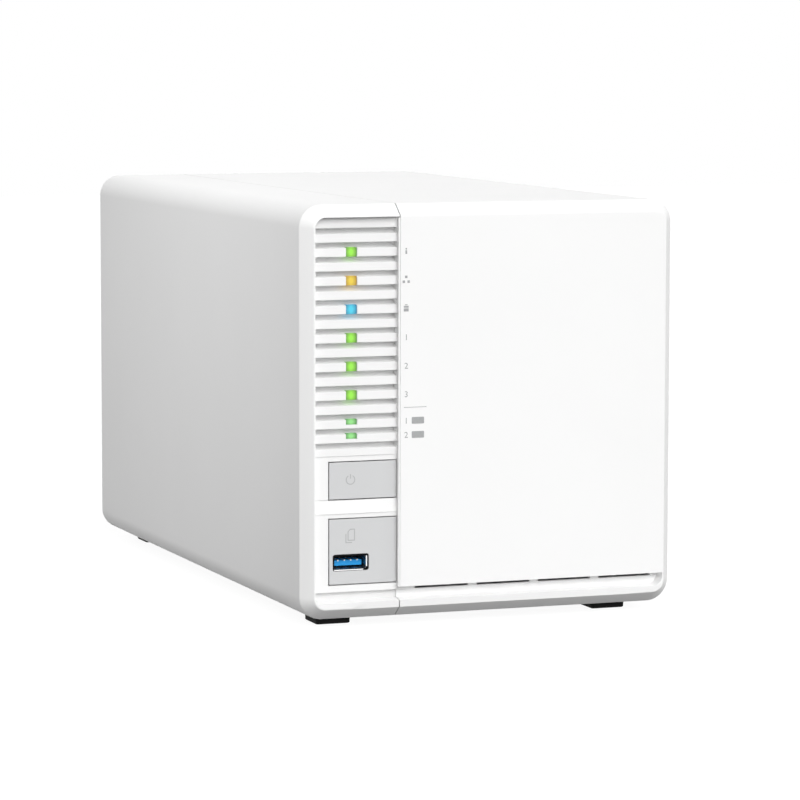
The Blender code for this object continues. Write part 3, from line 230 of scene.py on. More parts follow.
def loft(rings: Sequence[Sequence[Place]]) -> Solid:
    """Return a closed solid through rings of points.

    Args:
        rings: Rings in order, all with the same number of points.

    Returns:
        The solid, its two ends closed.
    """
    solid = bmesh.new()
    rows = [[solid.verts.new(point) for point in ring] for ring in rings]
    for near, far in zip(rows, rows[1:]):
        for i, corner in enumerate(near):
            solid.faces.new((near[i - 1], corner, far[i], far[i - 1]))
    solid.faces.new(rows[0])
    solid.faces.new(rows[-1])
    bmesh.ops.recalc_face_normals(solid, faces=solid.faces[:])
    return solid


def turned(profile: Sequence[Point], axis: Axis, u: float, v: float, steps: int = 32) -> Solid:
    """Return a round solid about an axis.

    Args:
        profile: Pairs of radius and place along the axis.
        axis: Direction of the axis.
        u, v: Where the axis lies across it.
        steps: Facets round it.

    Returns:
        The solid.
    """
    return loft([[axis.at(a, b, w) for a, b in disc(u, v, radius, steps)] for radius, w in profile])


def merged(solids: Iterable[Solid]) -> Solid:
    """Return one mesh that holds several separate solids.

    Args:
        solids: The solids. They are used up.

    Returns:
        The mesh.
    """
    whole = bmesh.new()
    for solid in solids:
        mesh = bpy.data.meshes.new("merged")
        solid.to_mesh(mesh)
        solid.free()
        whole.from_mesh(mesh)
        bpy.data.meshes.remove(mesh)
    return whole


def shifted(solid: Solid, offset: Sequence[float]) -> Solid:
    """Return the solid moved by an offset."""
    bmesh.ops.translate(solid, verts=solid.verts[:], vec=offset)
    return solid


def carved(solid: Solid, *tools: tuple[Work, Solid]) -> Solid:
    """Return a solid after other solids were cut from it or joined to it.

    Args:
        solid: The solid to start from.
        tools: Each step's kind and the solid it uses, in order.

    Returns:
        The carved solid.
    """
    helpers = []
    for piece_solid in (solid, *(tool for _, tool in tools)):
        mesh = bpy.data.meshes.new("carving")
        piece_solid.to_mesh(mesh)
        piece_solid.free()
        helpers.append(bpy.data.objects.new("carving", mesh))
        bpy.context.collection.objects.link(helpers[-1])
    for (work, _), helper in zip(tools, helpers[1:]):
        step = helpers[0].modifiers.new(work.name, "BOOLEAN")
        step.operation = work.value
        step.solver = "EXACT"
        step.object = helper
    bpy.context.view_layer.update()
    ready = helpers[0].evaluated_get(bpy.context.evaluated_depsgraph_get())
    result = bmesh.new()
    result.from_mesh(ready.to_mesh())
    ready.to_mesh_clear()
    for helper in helpers:
        mesh = helper.data
        bpy.data.objects.remove(helper, do_unlink=True)
        bpy.data.meshes.remove(mesh)
    bmesh.ops.remove_doubles(result, verts=result.verts[:], dist=WELD)
    return result


@dataclass(frozen=True)
class Finish:
    """A moulded, painted or bare surface with drifting colour, grain and worn edges.

    Attributes:
        name: Material name.
        slot: The record's material slot it belongs to; not used.
        colour: Base colour, linear.
        roughness: Middle roughness.
        metallic: 1 for bare metal.
        drift: Share by which the colour wanders.
        drift_size: Size of the wandering patches.
        grain_size: Size of the grain in the surface.
        grain_depth: Height of the grain.
        grain_gloss: How far the grain moves the roughness.
        stretch: Factors on the grain's place along X, Y and Z, for brushed metal.
        wear: Share by which outer edges turn towards the worn colour.
        worn: Colour of worn edges.
        coat: Weight of a clear coat.
        shine: Strength of the surface's own reflection.
    """

    name: str
    slot: str
    colour: Colour
    roughness: float
    metallic: float = 0.0
    drift: float = 0.03
    drift_size: float = 0.03
    grain_size: float = 0.0004
    grain_depth: float = 0.00002
    grain_gloss: float = 0.06
    stretch: Place = (1.0, 1.0, 1.0)
    wear: float = 0.0
    worn: Colour = (0.8, 0.8, 0.8)
    coat: float = 0.0
    shine: float = 0.5

    def material(self) -> bpy.types.Material:
        """Return the finish as a material, made on first use.

        Returns:
            The material.
        """
        if self.name in bpy.data.materials:
            return bpy.data.materials[self.name]
        made = bpy.data.materials.new(self.name)
        made.use_nodes = True
        tree = made.node_tree
        shader = tree.nodes["Principled BSDF"]
        shader.inputs["Metallic"].default_value = self.metallic
        shader.inputs["Coat Weight"].default_value = self.coat
        shader.inputs["Specular IOR Level"].default_value = self.shine
        place = tree.nodes.new("ShaderNodeTexCoord").outputs["Object"]
        self.paint(tree, shader, place)
        self.texture(tree, shader, place)
        return made

    def paint(self, tree: bpy.types.NodeTree, shader: bpy.types.Node, place: bpy.types.NodeSocket) -> None:
        """Wire the drifting colour and the worn edges.

        Args:
            tree: The material's nodes.
            shader: Its main shader.
            place: Where on the surface, in metres.
        """
        drift = self.noise(tree, place, self.drift_size, 4)
        ramp = self.ramp(tree, drift, self.shade(1 - self.drift), self.shade(1 + self.drift), 0.3, 0.7)
        if not self.wear:
            tree.links.new(ramp, shader.inputs["Base Color"])
            return
        edge = tree.nodes.new("ShaderNodeNewGeometry").outputs["Pointiness"]
        worn = self.ramp(tree, edge, (0, 0, 0), (self.wear,) * 3, 0.52, 0.6)
        mix = tree.nodes.new("ShaderNodeMix")
        mix.data_type = "RGBA"
        tree.links.new(worn, mix.inputs["Factor"])
        tree.links.new(ramp, mix.inputs[6])
        mix.inputs[7].default_value = (*self.worn, 1)
        tree.links.new(mix.outputs[2], shader.inputs["Base Color"])

    def texture(self, tree: bpy.types.NodeTree, shader: bpy.types.Node, place: bpy.types.NodeSocket) -> None:
        """Wire the grain into the roughness and the bump.

        Args:
            tree: The material's nodes.
            shader: Its main shader.
            place: Where on the surface, in metres.
        """
        stretch = tree.nodes.new("ShaderNodeMapping")
        stretch.inputs["Scale"].default_value = self.stretch
        tree.links.new(place, stretch.inputs["Vector"])
        grain = self.noise(tree, stretch.outputs["Vector"], self.grain_size, 3)
        gloss = tree.nodes.new("ShaderNodeMapRange")
        gloss.inputs["To Min"].default_value = self.roughness - self.grain_gloss
        gloss.inputs["To Max"].default_value = self.roughness + self.grain_gloss
        tree.links.new(grain, gloss.inputs["Value"])
        tree.links.new(gloss.outputs["Result"], shader.inputs["Roughness"])
        bump = tree.nodes.new("ShaderNodeBump")
        bump.inputs["Distance"].default_value = self.grain_depth
        tree.links.new(grain, bump.inputs["Height"])
        tree.links.new(bump.outputs["Normal"], shader.inputs["Normal"])

    def shade(self, share: float) -> Colour:
        """Return the base colour made darker or lighter by a share."""
        return tuple(min(value * share, 1.0) for value in self.colour)

    @staticmethod
    def noise(
        tree: bpy.types.NodeTree, place: bpy.types.NodeSocket, size: float, detail: float
    ) -> bpy.types.NodeSocket:
        """Return a noise value whose patches have the given size.

        Args:
            tree: The material's nodes.
            place: Where on the surface.
            size: Size of a patch in metres.
            detail: Number of finer layers.

        Returns:
            The value's socket.
        """
        node = tree.nodes.new("ShaderNodeTexNoise")
        node.inputs["Scale"].default_value = 1 / size
        node.inputs["Detail"].default_value = detail
        tree.links.new(place, node.inputs["Vector"])
        return node.outputs["Fac"]

    @staticmethod
    def ramp(tree: bpy.types.NodeTree, value: bpy.types.NodeSocket, low: Colour, high: Colour,
             start: float, end: float) -> bpy.types.NodeSocket:
        """Return a colour that runs from one to another as a value rises.

        Args:
            tree: The material's nodes.
            value: The value.
            low, high: Colours at the two ends.
            start, end: Values at which the change starts and ends.

        Returns:
            The colour's socket.
        """
        node = tree.nodes.new("ShaderNodeValToRGB")
        first, last = node.color_ramp.elements
        first.position, last.position = start, end
        first.color, last.color = (*low, 1), (*high, 1)
        tree.links.new(value, node.inputs["Fac"])
        return node.outputs["Color"]


@dataclass(frozen=True)
class LitLens(Finish):
    """A clear lens lit from behind, brightest in its middle and darker at its rim, partly its own falloff and
    partly painted shade.

    Attributes:
        edge: Colour of the light at the lens's edge, darker than its middle: partly the pipe's falloff,
            partly painted shade from the window round it.
        glow: Strength of the light.
        rise: How fast the light grows from the edge to the middle.
        tall: How much the light fades upwards and downwards, as a share of how it fades sideways.
        unlit: Share of the light's colour that the lens has when dark.
    """

    edge: Colour = (0.1, 0.1, 0.1)
    glow: float = 0.92
    unlit: float = 0.1
    rise: float = 0.7
    tall: float = 0.6

    def shade(self, share: float) -> Colour:
        """Return the colour of the lens itself, far darker than its light."""
        return tuple(value * share * self.unlit for value in self.colour)

    def paint(self, tree: bpy.types.NodeTree, shader: bpy.types.Node, place: bpy.types.NodeSocket) -> None:
        """Wire the lit colour over the lens's own colour, darker towards the rim as partly painted shade.

        Args:
            tree: The material's nodes.
            shader: Its main shader.
            place: Where on the surface, in metres.
        """
        super().paint(tree, shader, place)
        spread = tree.nodes.new("ShaderNodeMapping")
        spread.inputs["Location"].default_value = (-1, 0, -self.tall)
        spread.inputs["Scale"].default_value = (2, 0, 2 * self.tall)
        tree.links.new(tree.nodes.new("ShaderNodeTexCoord").outputs["Generated"], spread.inputs["Vector"])
        middle = tree.nodes.new("ShaderNodeTexGradient")
        middle.gradient_type = "SPHERICAL"
        tree.links.new(spread.outputs["Vector"], middle.inputs["Vector"])
        # The darker rim is partly the pipe's own falloff and partly painted shade from the window's walls.
        light = self.ramp(tree, middle.outputs["Fac"], self.edge, self.colour, 0.0, self.rise)
        tree.links.new(light, shader.inputs["Emission Color"])
        shader.inputs["Emission Strength"].default_value = self.glow


class Finishes:
    """Every finish on the unit."""

    WHITE = Finish("white_moulding", "white_plastic", (0.88, 0.88, 0.878), 0.46, drift=0.008, drift_size=0.05,
                   grain_size=0.0006, grain_depth=0.000012, grain_gloss=0.05)
    # A slightly darker copy of the white moulding: painted shade for the strip that lies behind the rim.
    SHADED_STRIP_WHITE = Finish(
        "shaded_strip_moulding", "white_plastic", (0.855, 0.855, 0.853), 0.46, drift=0.008, drift_size=0.05,
        grain_size=0.0006, grain_depth=0.000012, grain_gloss=0.05,
    )
    GREY = Finish("grey_key_plastic", "grey_plastic", (0.595, 0.60, 0.605), 0.44, drift=0.015,
                  grain_size=0.0005, grain_depth=0.00001)
    PRINT = Finish("grey_print", "grey_plastic", (0.36, 0.365, 0.37), 0.6, drift=0.05, drift_size=0.001)
    KEY_PRINT = Finish("key_print", "grey_plastic", (0.42, 0.425, 0.43), 0.6, drift=0.05, drift_size=0.001)
    BLACK = Finish(
        "black_moulding", "black_plastic", (0.02, 0.02, 0.022), 0.5, drift=0.15, grain_depth=0.00003
    )
    DULL_BLACK = Finish(
        "dull_black_sleeve", "black_plastic", (0.003, 0.003, 0.004), 0.7, drift=0.2, drift_size=0.003,
        grain_depth=0.00002, shine=0.08,
    )
    BLUE = Finish("blue_tongue", "blue_plastic", (0.002, 0.28, 0.68), 0.5, drift=0.06, drift_size=0.004)
    RUBBER = Finish("foot_rubber", "rubber", (0.012, 0.012, 0.012), 0.82, drift=0.25, drift_size=0.004,
                    grain_depth=0.00006, grain_size=0.0005, grain_gloss=0.1, shine=0.2)
    NICKEL = Finish(
        "nickel_plate", "bright_steel", (0.66, 0.65, 0.63), 0.28, 1.0, drift=0.05, drift_size=0.008,
        stretch=(1, 0.08, 1), grain_depth=0.000006, wear=0.3,
    )
    LIP = Finish("pale_tin_plate", "bright_steel", (0.70, 0.70, 0.70), 0.5, 1.0, drift=0.04, drift_size=0.004)
    GOLD = Finish("contact_gold", "bright_steel", (0.75, 0.52, 0.20), 0.3, 1.0, drift=0.06, drift_size=0.002)
    # Each lens's edge colour is a darker rim: partly the pipe's falloff, partly painted shade.
    GREEN_LIGHT = LitLens("green_light", "clear_plastic", (0.33, 0.84, 0.075), 0.3, edge=(0.10, 0.24, 0.04))
    AMBER_LIGHT = LitLens("amber_light", "clear_plastic", (0.83, 0.62, 0.07), 0.3, edge=(0.40, 0.22, 0.03))
    BLUE_LIGHT = LitLens("blue_light", "clear_plastic", (0.08, 0.635, 0.83), 0.3, edge=(0.03, 0.20, 0.38))
    SMALL_LIGHT = LitLens(
        "small_green_light", "clear_plastic", (0.30, 0.74, 0.25), 0.3, edge=(0.07, 0.24, 0.06)
    )
    PALE_PRINT = Finish("pale_print", "white_plastic", (0.70, 0.70, 0.69), 0.6, drift=0.05, drift_size=0.001)
    PAPER = Finish(
        "blank_paper_label", "white_plastic", (0.74, 0.74, 0.72), 0.7, drift=0.03, drift_size=0.004,
        grain_size=0.0003, grain_depth=0.00002,
    )
    STEEL = Finish("zinc_sheet", "steel_sheet", (0.54, 0.55, 0.56), 0.36, 1.0, drift=0.12, drift_size=0.006,
                   grain_size=0.0012, grain_depth=0.000008, stretch=(1, 0.06, 1), wear=0.25)
    BLACK_STEEL = Finish(
        "black_paint", "black_steel", (0.022, 0.022, 0.024), 0.52, drift=0.12, drift_size=0.01,
        grain_size=0.0007, grain_depth=0.00006, grain_gloss=0.1, wear=0.12, worn=(0.12, 0.12, 0.12),
    )
    ALUMINIUM = Finish(
        "bare_aluminium", "aluminium", (0.70, 0.71, 0.72), 0.33, 1.0, drift=0.06, drift_size=0.01,
        grain_size=0.0008, grain_depth=0.000008, stretch=(1, 0.05, 1), wear=0.2,
    )
    CAST = Finish("cast_aluminium", "aluminium", (0.50, 0.51, 0.52), 0.46, 1.0, drift=0.08, drift_size=0.008,
                  grain_size=0.0005, grain_depth=0.00003, grain_gloss=0.1, wear=0.3)
    LID = Finish(
        "pressed_steel_lid", "aluminium", (0.66, 0.66, 0.66), 0.27, 1.0, drift=0.05, drift_size=0.012,
        grain_size=0.0007, grain_depth=0.000006, stretch=(1, 0.04, 1), wear=0.2,
    )
    BOARD = Finish(
        "green_solder_mask", "green_board", (0.012, 0.105, 0.045), 0.36, drift=0.25, drift_size=0.003,
        grain_size=0.0012, grain_depth=0.00004, grain_gloss=0.08, coat=0.2,
    )
    CHIP = Finish("chip_resin", "black_plastic", (0.018, 0.018, 0.02), 0.42, drift=0.15, drift_size=0.002,
                  grain_size=0.0002, grain_depth=0.00001)
    TRAY = Finish("dark_tray_plastic", "tray_plastic", (0.045, 0.045, 0.05), 0.5, drift=0.1, drift_size=0.02,
                  grain_size=0.0005, grain_depth=0.00003, wear=0.1, worn=(0.2, 0.2, 0.2))
    LEVER = Finish("lever_plastic", "grey_plastic", (0.42, 0.425, 0.43), 0.42, drift=0.03, drift_size=0.01,
                   grain_size=0.0005, grain_depth=0.00002)
    CLEAR = Finish(
        "light_pipe_plastic", "clear_plastic", (0.75, 0.78, 0.76), 0.2, drift=0.04, drift_size=0.006
    )


def piece(name: str, solid: Solid, finish: Finish, body: str = "base", *, stands_for: Sequence[str] = (),
          soften: float = 0.0) -> bpy.types.Object:
    """Make one visible piece and hang it on a body.

    Args:
        name: The piece's name.
        solid: Its shape, in place. It is used up.
        finish: Its finish.
        body: The body it moves with.
        stands_for: The nodes it is shown in place of.
        soften: Radius that its sharp edges are rounded with.

    Returns:
        The new object.
    """
    mesh = bpy.data.meshes.new(name)
    solid.to_mesh(mesh)
    solid.free()
    mesh.shade_smooth()
    made = bpy.data.objects.new(name, mesh)
    bpy.context.collection.objects.link(made)
    if soften:
        edge = made.modifiers.new("rounded_edges", "BEVEL")
        edge.width = soften
        edge.segments = 3
        edge.limit_method = "ANGLE"
        edge.angle_limit = SOFT_ANGLE
        edge.harden_normals = True
    else:
        mesh.set_sharp_from_angle(angle=SOFT_ANGLE)
        flat = made.modifiers.new("flat_faces", "WEIGHTED_NORMAL")
        flat.keep_sharp = True
    mesh.materials.append(finish.material())
    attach(made, body)
    if stands_for:
        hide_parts(*stands_for)
    LOG.info("%s rides on %s in %s", name, body, finish.name)
    return made


def lettered(text: str, size: float, low: Place, depth: float) -> Solid:
    """Return a plain number as a thin solid that faces -Y.

    Args:
        text: The number.
        size: Its height in metres.
        low: Its lower left corner on the surface it stands on.
        depth: How far it stands out of that surface.

    Returns:
        The solid.
    """
    curve = bpy.data.curves.new("number", "FONT")
    curve.body = text
    curve.size = size / DIGIT_HEIGHT
    curve.extrude = depth / 2
    curve.resolution_u = 6
    holder = bpy.data.objects.new("number", curve)
    bpy.context.collection.objects.link(holder)
    bpy.context.view_layer.update()
    solid = bmesh.new()
    ready = holder.evaluated_get(bpy.context.evaluated_depsgraph_get())
    solid.from_mesh(ready.to_mesh())
    ready.to_mesh_clear()
    bpy.data.objects.remove(holder, do_unlink=True)
    bpy.data.curves.remove(curve)
    bmesh.ops.remove_doubles(solid, verts=solid.verts[:], dist=FINE_WELD)
    bmesh.ops.transform(solid, matrix=Matrix.Rotation(math.pi / 2, 4, "X"), verts=solid.verts[:])
    return shifted(solid, low)


def centre(node: str) -> Vector:
    """Return the middle of a node's box."""
    low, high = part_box(node)
    return (low + high) / 2


def about_face(solid: Solid, x: float, y: float) -> Solid:
    """Return the solid turned half round about an upright line at (x, y)."""
    bmesh.ops.rotate(solid, verts=solid.verts[:], cent=(x, y, 0), matrix=Matrix.Rotation(math.pi, 3, "Z"))
    return solid


@dataclass
class Housing:
    """The white mouldings: left shell with its floor, and the cover that slides off it.

    Attributes:
        wall: Thickness of the shells.
        front_wall: Thickness of the cover's face.
        corner, corner_steps: Corner radius seen from the front, and the straight steps in it.
        inner_corner, least_corner: Smallest corner radius inside the rim and of any other outline.
        chamfer_inset, chamfer_depth: The sloping band round the front.
        chamfer_ease: How softly that band starts and ends.
        rim_land: Flat width inside the band on the left shell.
        rim_depth: Depth of the rim round the light strip.
        rim_draft: How far the rim's inside opens towards the front.
        rear_chamfer: Small slope round the back edge.
        rear_share: How much of the wall's thickness the back face covers.
        seam: Gap between the shells.
        recess_depth: Depth of the groove below the cover's face.
        sill_lift: How much higher the rim's lower side lies than its other sides.
        land_slope, land_reach: Depth and height of the sloping land below the groove.
        land_fade: How far from each end that slope starts and is full.
        sill_wall: Thickness of the wall behind the groove.
        face_low: Lower edge of the cover's face.
        slit_length, slit_gap, slit_height, slit_count: The row of air slits in that groove.
        slit_drop, slit_margin: Their place below the face's edge and beside the seam.
        tab_size, tab_depth, tab_gap: The tabs that the cover's screws go into, and their gap to the back.
        rib, rib_shares: Width, length and height of the ribs under the cover's top, and their places across.
        print_room: How far the face stays behind the front, for the print on it.
    """

    wall: float = 0.0022
    front_wall: float = 0.0024
    corner: float = 0.0082
    corner_steps: int = 20
    inner_corner: float = 0.0016
    least_corner: float = 0.001
    chamfer_inset: float = 0.0039
    chamfer_depth: float = 0.0052
    chamfer_ease: float = 0.0004
    rim_land: float = 0.0011
    rim_depth: float = 0.008
    rim_draft: float = 0.0006
    rear_chamfer: float = 0.0004
    rear_share: float = 0.9
    seam: float = 0.0004
    recess_depth: float = 0.0042
    sill_lift: float = 0.0017
    land_slope: float = 0.00035
    land_reach: float = 0.0031
    land_fade: tuple[float, float] = (0.002, 0.024)
    sill_wall: float = 0.002
    face_low: float = 0.0144
    slit_length: float = 0.0203
    slit_gap: float = 0.0034
    slit_height: float = 0.0008
    slit_drop: float = 0.00066
    slit_margin: float = 0.0071
    slit_count: int = 4
    tab_size: float = 0.010
    tab_depth: float = 0.009
    tab_gap: float = 0.0003
    rib: Place = (0.0012, 0.21, 0.003)
    rib_shares: tuple[float, ...] = (0.12, 0.37, 0.62, 0.87)
    print_room: float = 0.00004

    def __post_init__(self) -> None:
        """Take the outer places from the frame."""
        shell_low, shell_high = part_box("left_shell")
        cover_low, cover_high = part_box("cover_shell")
        self.left, self.right = shell_low.x, cover_high.x
        self.low, self.top = shell_low.z, shell_high.z
        self.front, self.rear = cover_low.y + self.print_room, cover_high.y
        self.seam_x = cover_low.x
        self.floor_end = shell_high.x
        self.rim_inset = self.chamfer_inset + self.rim_land
        self.rim_end = self.front + self.rim_depth + self.rim_inset - self.wall + OVERLAP
        self.floor_top = self.low + self.wall + OVERLAP

    def outline(self, inset: float) -> Loop:
        """Return the housing's outline seen from the front, drawn in by an inset."""
        sides = (self.left + inset, self.low + inset, self.right - inset, self.top - inset)
        return oblong(*sides, max(self.corner - inset, self.least_corner), self.corner_steps)

    def lower_outline(self, inset: float, top: float, lift: float = 0.0) -> Loop:
        """Return the part of that outline below a level top, with its lower side raised by a lift.

        Args:
            inset: How far it is drawn in.
            top: Level of its upper side.
            lift: How far its lower side is raised.

        Returns:
            The outline.
        """
        radius = max(self.corner - inset, self.inner_corner)
        low = self.low + inset + lift + radius
        points = [(self.right - inset, top), (self.left + inset, top)]
        points += arc(self.left + inset + radius, low, radius, 180, 90, self.corner_steps)
        return points + arc(self.right - inset - radius, low, radius, 270, 90, self.corner_steps)

    def mouth(self, inset: float) -> Loop:
        """Return the rim's opening drawn in by an inset, with its lower side raised.

        Args:
            inset: How far it is drawn in.

        Returns:
            The outline.
        """
        left, right = self.left + inset, self.right - inset
        low, top = self.low + inset + self.sill_lift, self.top - inset
        wide, tight = self.corner - inset, self.inner_corner
        points = arc(right - wide, top - wide, wide, 0, 90, self.corner_steps)
        points += arc(left + wide, top - wide, wide, 90, 90, self.corner_steps)
        points += arc(left + tight, low + tight, tight, 180, 90, self.corner_steps)
        return points + arc(right - tight, low + tight, tight, 270, 90, self.corner_steps)

    def through(self, stations: Loop) -> Solid:
        """Return a solid through outlines, each given as its inset and its place in Y."""
        return loft([[Axis.Y.at(u, v, y) for u, v in self.outline(inset)] for inset, y in stations])

    def whole(self) -> Solid:
        """Return the housing as one block with a softly chamfered front.

        Returns:
            The solid.
        """
        path = [
            (self.rim_inset, self.front),
            (self.chamfer_inset, self.front),
            (0, self.front + self.chamfer_depth),
            (0, self.rear - self.rear_chamfer),
            (self.rear_chamfer, self.rear),
            (self.wall * self.rear_share, self.rear),
        ]
        return self.through(eased(path, self.chamfer_ease))

    def cavity(self, front: float) -> Solid:
        """Return the space inside the housing, from a place in Y to the open back.

        Args:
            front: Where it starts in Y.

        Returns:
            The solid to cut away.
        """
        bend = self.front + self.rim_depth
        path = [
            (self.rim_inset, front),
            (self.rim_inset, bend),
            (self.wall, bend + self.rim_inset - self.wall),
            (self.wall, self.rear + REACH),
        ]
        return self.through(path)

    def rim_opening(self) -> Solid:
        """Return the opening of the rim, wider at the front.

        Returns:
            The solid to cut away.
        """
        run = self.recess_depth
        path = [(self.rim_inset - self.rim_draft * (run + REACH) / run, self.front - REACH)]
        path += [(self.rim_inset, self.front + run), (self.rim_inset, self.rim_end)]
        return loft([[Axis.Y.at(u, v, y) for u, v in self.mouth(inset)] for inset, y in path])

    def land(self) -> Solid:
        """Return the thin wedge that slopes the front below the groove, fading out at both ends.

        Returns:
            The solid to cut away.
        """
        high = self.low + self.rim_inset - self.rim_draft + self.sill_lift
        near, far = self.land_fade
        stations = []
        for x, depth in (
            (self.left + near, -self.land_slope),
            (self.left + far, self.land_slope),
            (self.right - far, self.land_slope),
            (self.right - near, -self.land_slope),
        ):
            low = high - self.land_reach
            wedge = [
                (self.front - REACH, high), (self.front - REACH, low), (self.front + depth, low),
                (self.front, high),
            ]
            stations.append([Axis.X.at(u, v, x) for u, v in wedge])
        return loft(stations)

    def build(self) -> None:
        """Make both shells."""
        self.build_left()
        self.build_cover()

    def build_left(self) -> None:
        """Make the left side, top strip, floor and rim."""
        far, high = self.rear + REACH, self.top + REACH
        beyond = [
            (self.front - REACH, -REACH),
            (self.rim_end, -REACH),
            (self.rim_end, self.floor_top),
            (far, self.floor_top),
            (far, high),
            (self.front - REACH, high),
        ]
        corner = block(
            (self.floor_end, self.front - REACH, -REACH), (self.right + REACH, far, self.floor_top + REACH)
        )
        shell = carved(
            self.whole(),
            (Work.CUT, self.cavity(self.front + self.recess_depth)),
            (Work.CUT, self.rim_opening()),
            (Work.CUT, self.land()),
            (Work.CUT, prism([beyond], Axis.X, self.seam_x - self.seam, self.right + REACH)),
            (Work.CUT, corner),
        )
        piece("left_moulding", shell, Finishes.WHITE, stands_for=["left_shell"], soften=MOULD_EDGE)

    def slits(self) -> Solid:
        """Return the air slits at the top of the groove.

        Returns:
            The solids to cut away.
        """
        high = self.face_low - self.slit_drop
        near = self.front + self.recess_depth - OVERLAP
        far = self.front + self.recess_depth + self.sill_wall + REACH
        solids = []
        for i in range(self.slit_count):
            left = self.seam_x + self.slit_margin + i * (self.slit_length + self.slit_gap)
            low = (left, near, high - self.slit_height)
            solids.append(block(low, (left + self.slit_length, far, high)))
        return merged(solids)

    def build_cover(self) -> None:
        """Make the front face, top and right side."""
        front, back = self.front, self.front + self.recess_depth
        sill = self.lower_outline(self.rim_inset - self.rim_land / 2, self.face_low + self.sill_wall)
        inner, run, lift = self.rim_inset, self.recess_depth, self.sill_lift
        stations = ((inner - self.rim_draft * (run + REACH) / run, front - REACH), (inner, back))
        groove = [
            [Axis.Y.at(u, v, y) for u, v in self.lower_outline(inset, self.face_low, lift)]
            for inset, y in stations
        ]
        beside = block(
            (self.left - REACH, front - REACH, -REACH), (self.seam_x, self.rear + REACH, self.top + REACH)
        )
        under = block(
            (self.seam_x - REACH, self.rim_end - self.seam, -REACH),
            (self.floor_end + self.seam, self.rear + REACH, self.floor_top),
        )
        steps = [
            (Work.CUT, self.cavity(front + self.front_wall)),
            (Work.JOIN, prism([sill], Axis.Y, front + self.front_wall / 2, back + self.sill_wall)),
            (Work.CUT, loft(groove)),
            (Work.CUT, self.land()),
            (Work.CUT, self.slits()),
            (Work.CUT, beside),
            (Work.CUT, under),
        ]
        shell = carved(self.whole(), *steps, *self.inner_works())
        piece("cover_moulding", shell, Finishes.WHITE, "cover", stands_for=["cover_shell"], soften=MOULD_EDGE)

    def inner_works(self) -> list[tuple[Work, Solid]]:
        """Return the screw tabs and stiffening ribs inside the cover.

        Returns:
            Each step's kind and the solid it uses.
        """
        works = []
        tab_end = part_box("rear_panel")[0].y - self.tab_gap
        half = self.tab_size / 2
        holes = []
        for name in ("cover_screw_1", "cover_screw_2"):
            low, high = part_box(name)
            x, z = (low.x + high.x) / 2, (low.z + high.z) / 2
            near = (x - half, tab_end - self.tab_depth, z - half)
            works.append((Work.JOIN, block(near, (x + half, tab_end, self.top - self.wall / 2))))
            holes.append(
                prism([disc(x, z, SCREW_BORE)], Axis.Y, tab_end - self.tab_depth - REACH, tab_end + REACH)
            )
        works.append((Work.CUT, merged(holes)))
        width, length, height = self.rib
        start = self.front + self.front_wall + REACH
        for share in self.rib_shares:
            x = self.seam_x + (self.right - self.seam_x) * share
            low = (x - width / 2, start, self.top - self.wall - height)
            works.append((Work.JOIN, block(low, (x + width / 2, start + length, self.top - self.wall / 2))))
        return works


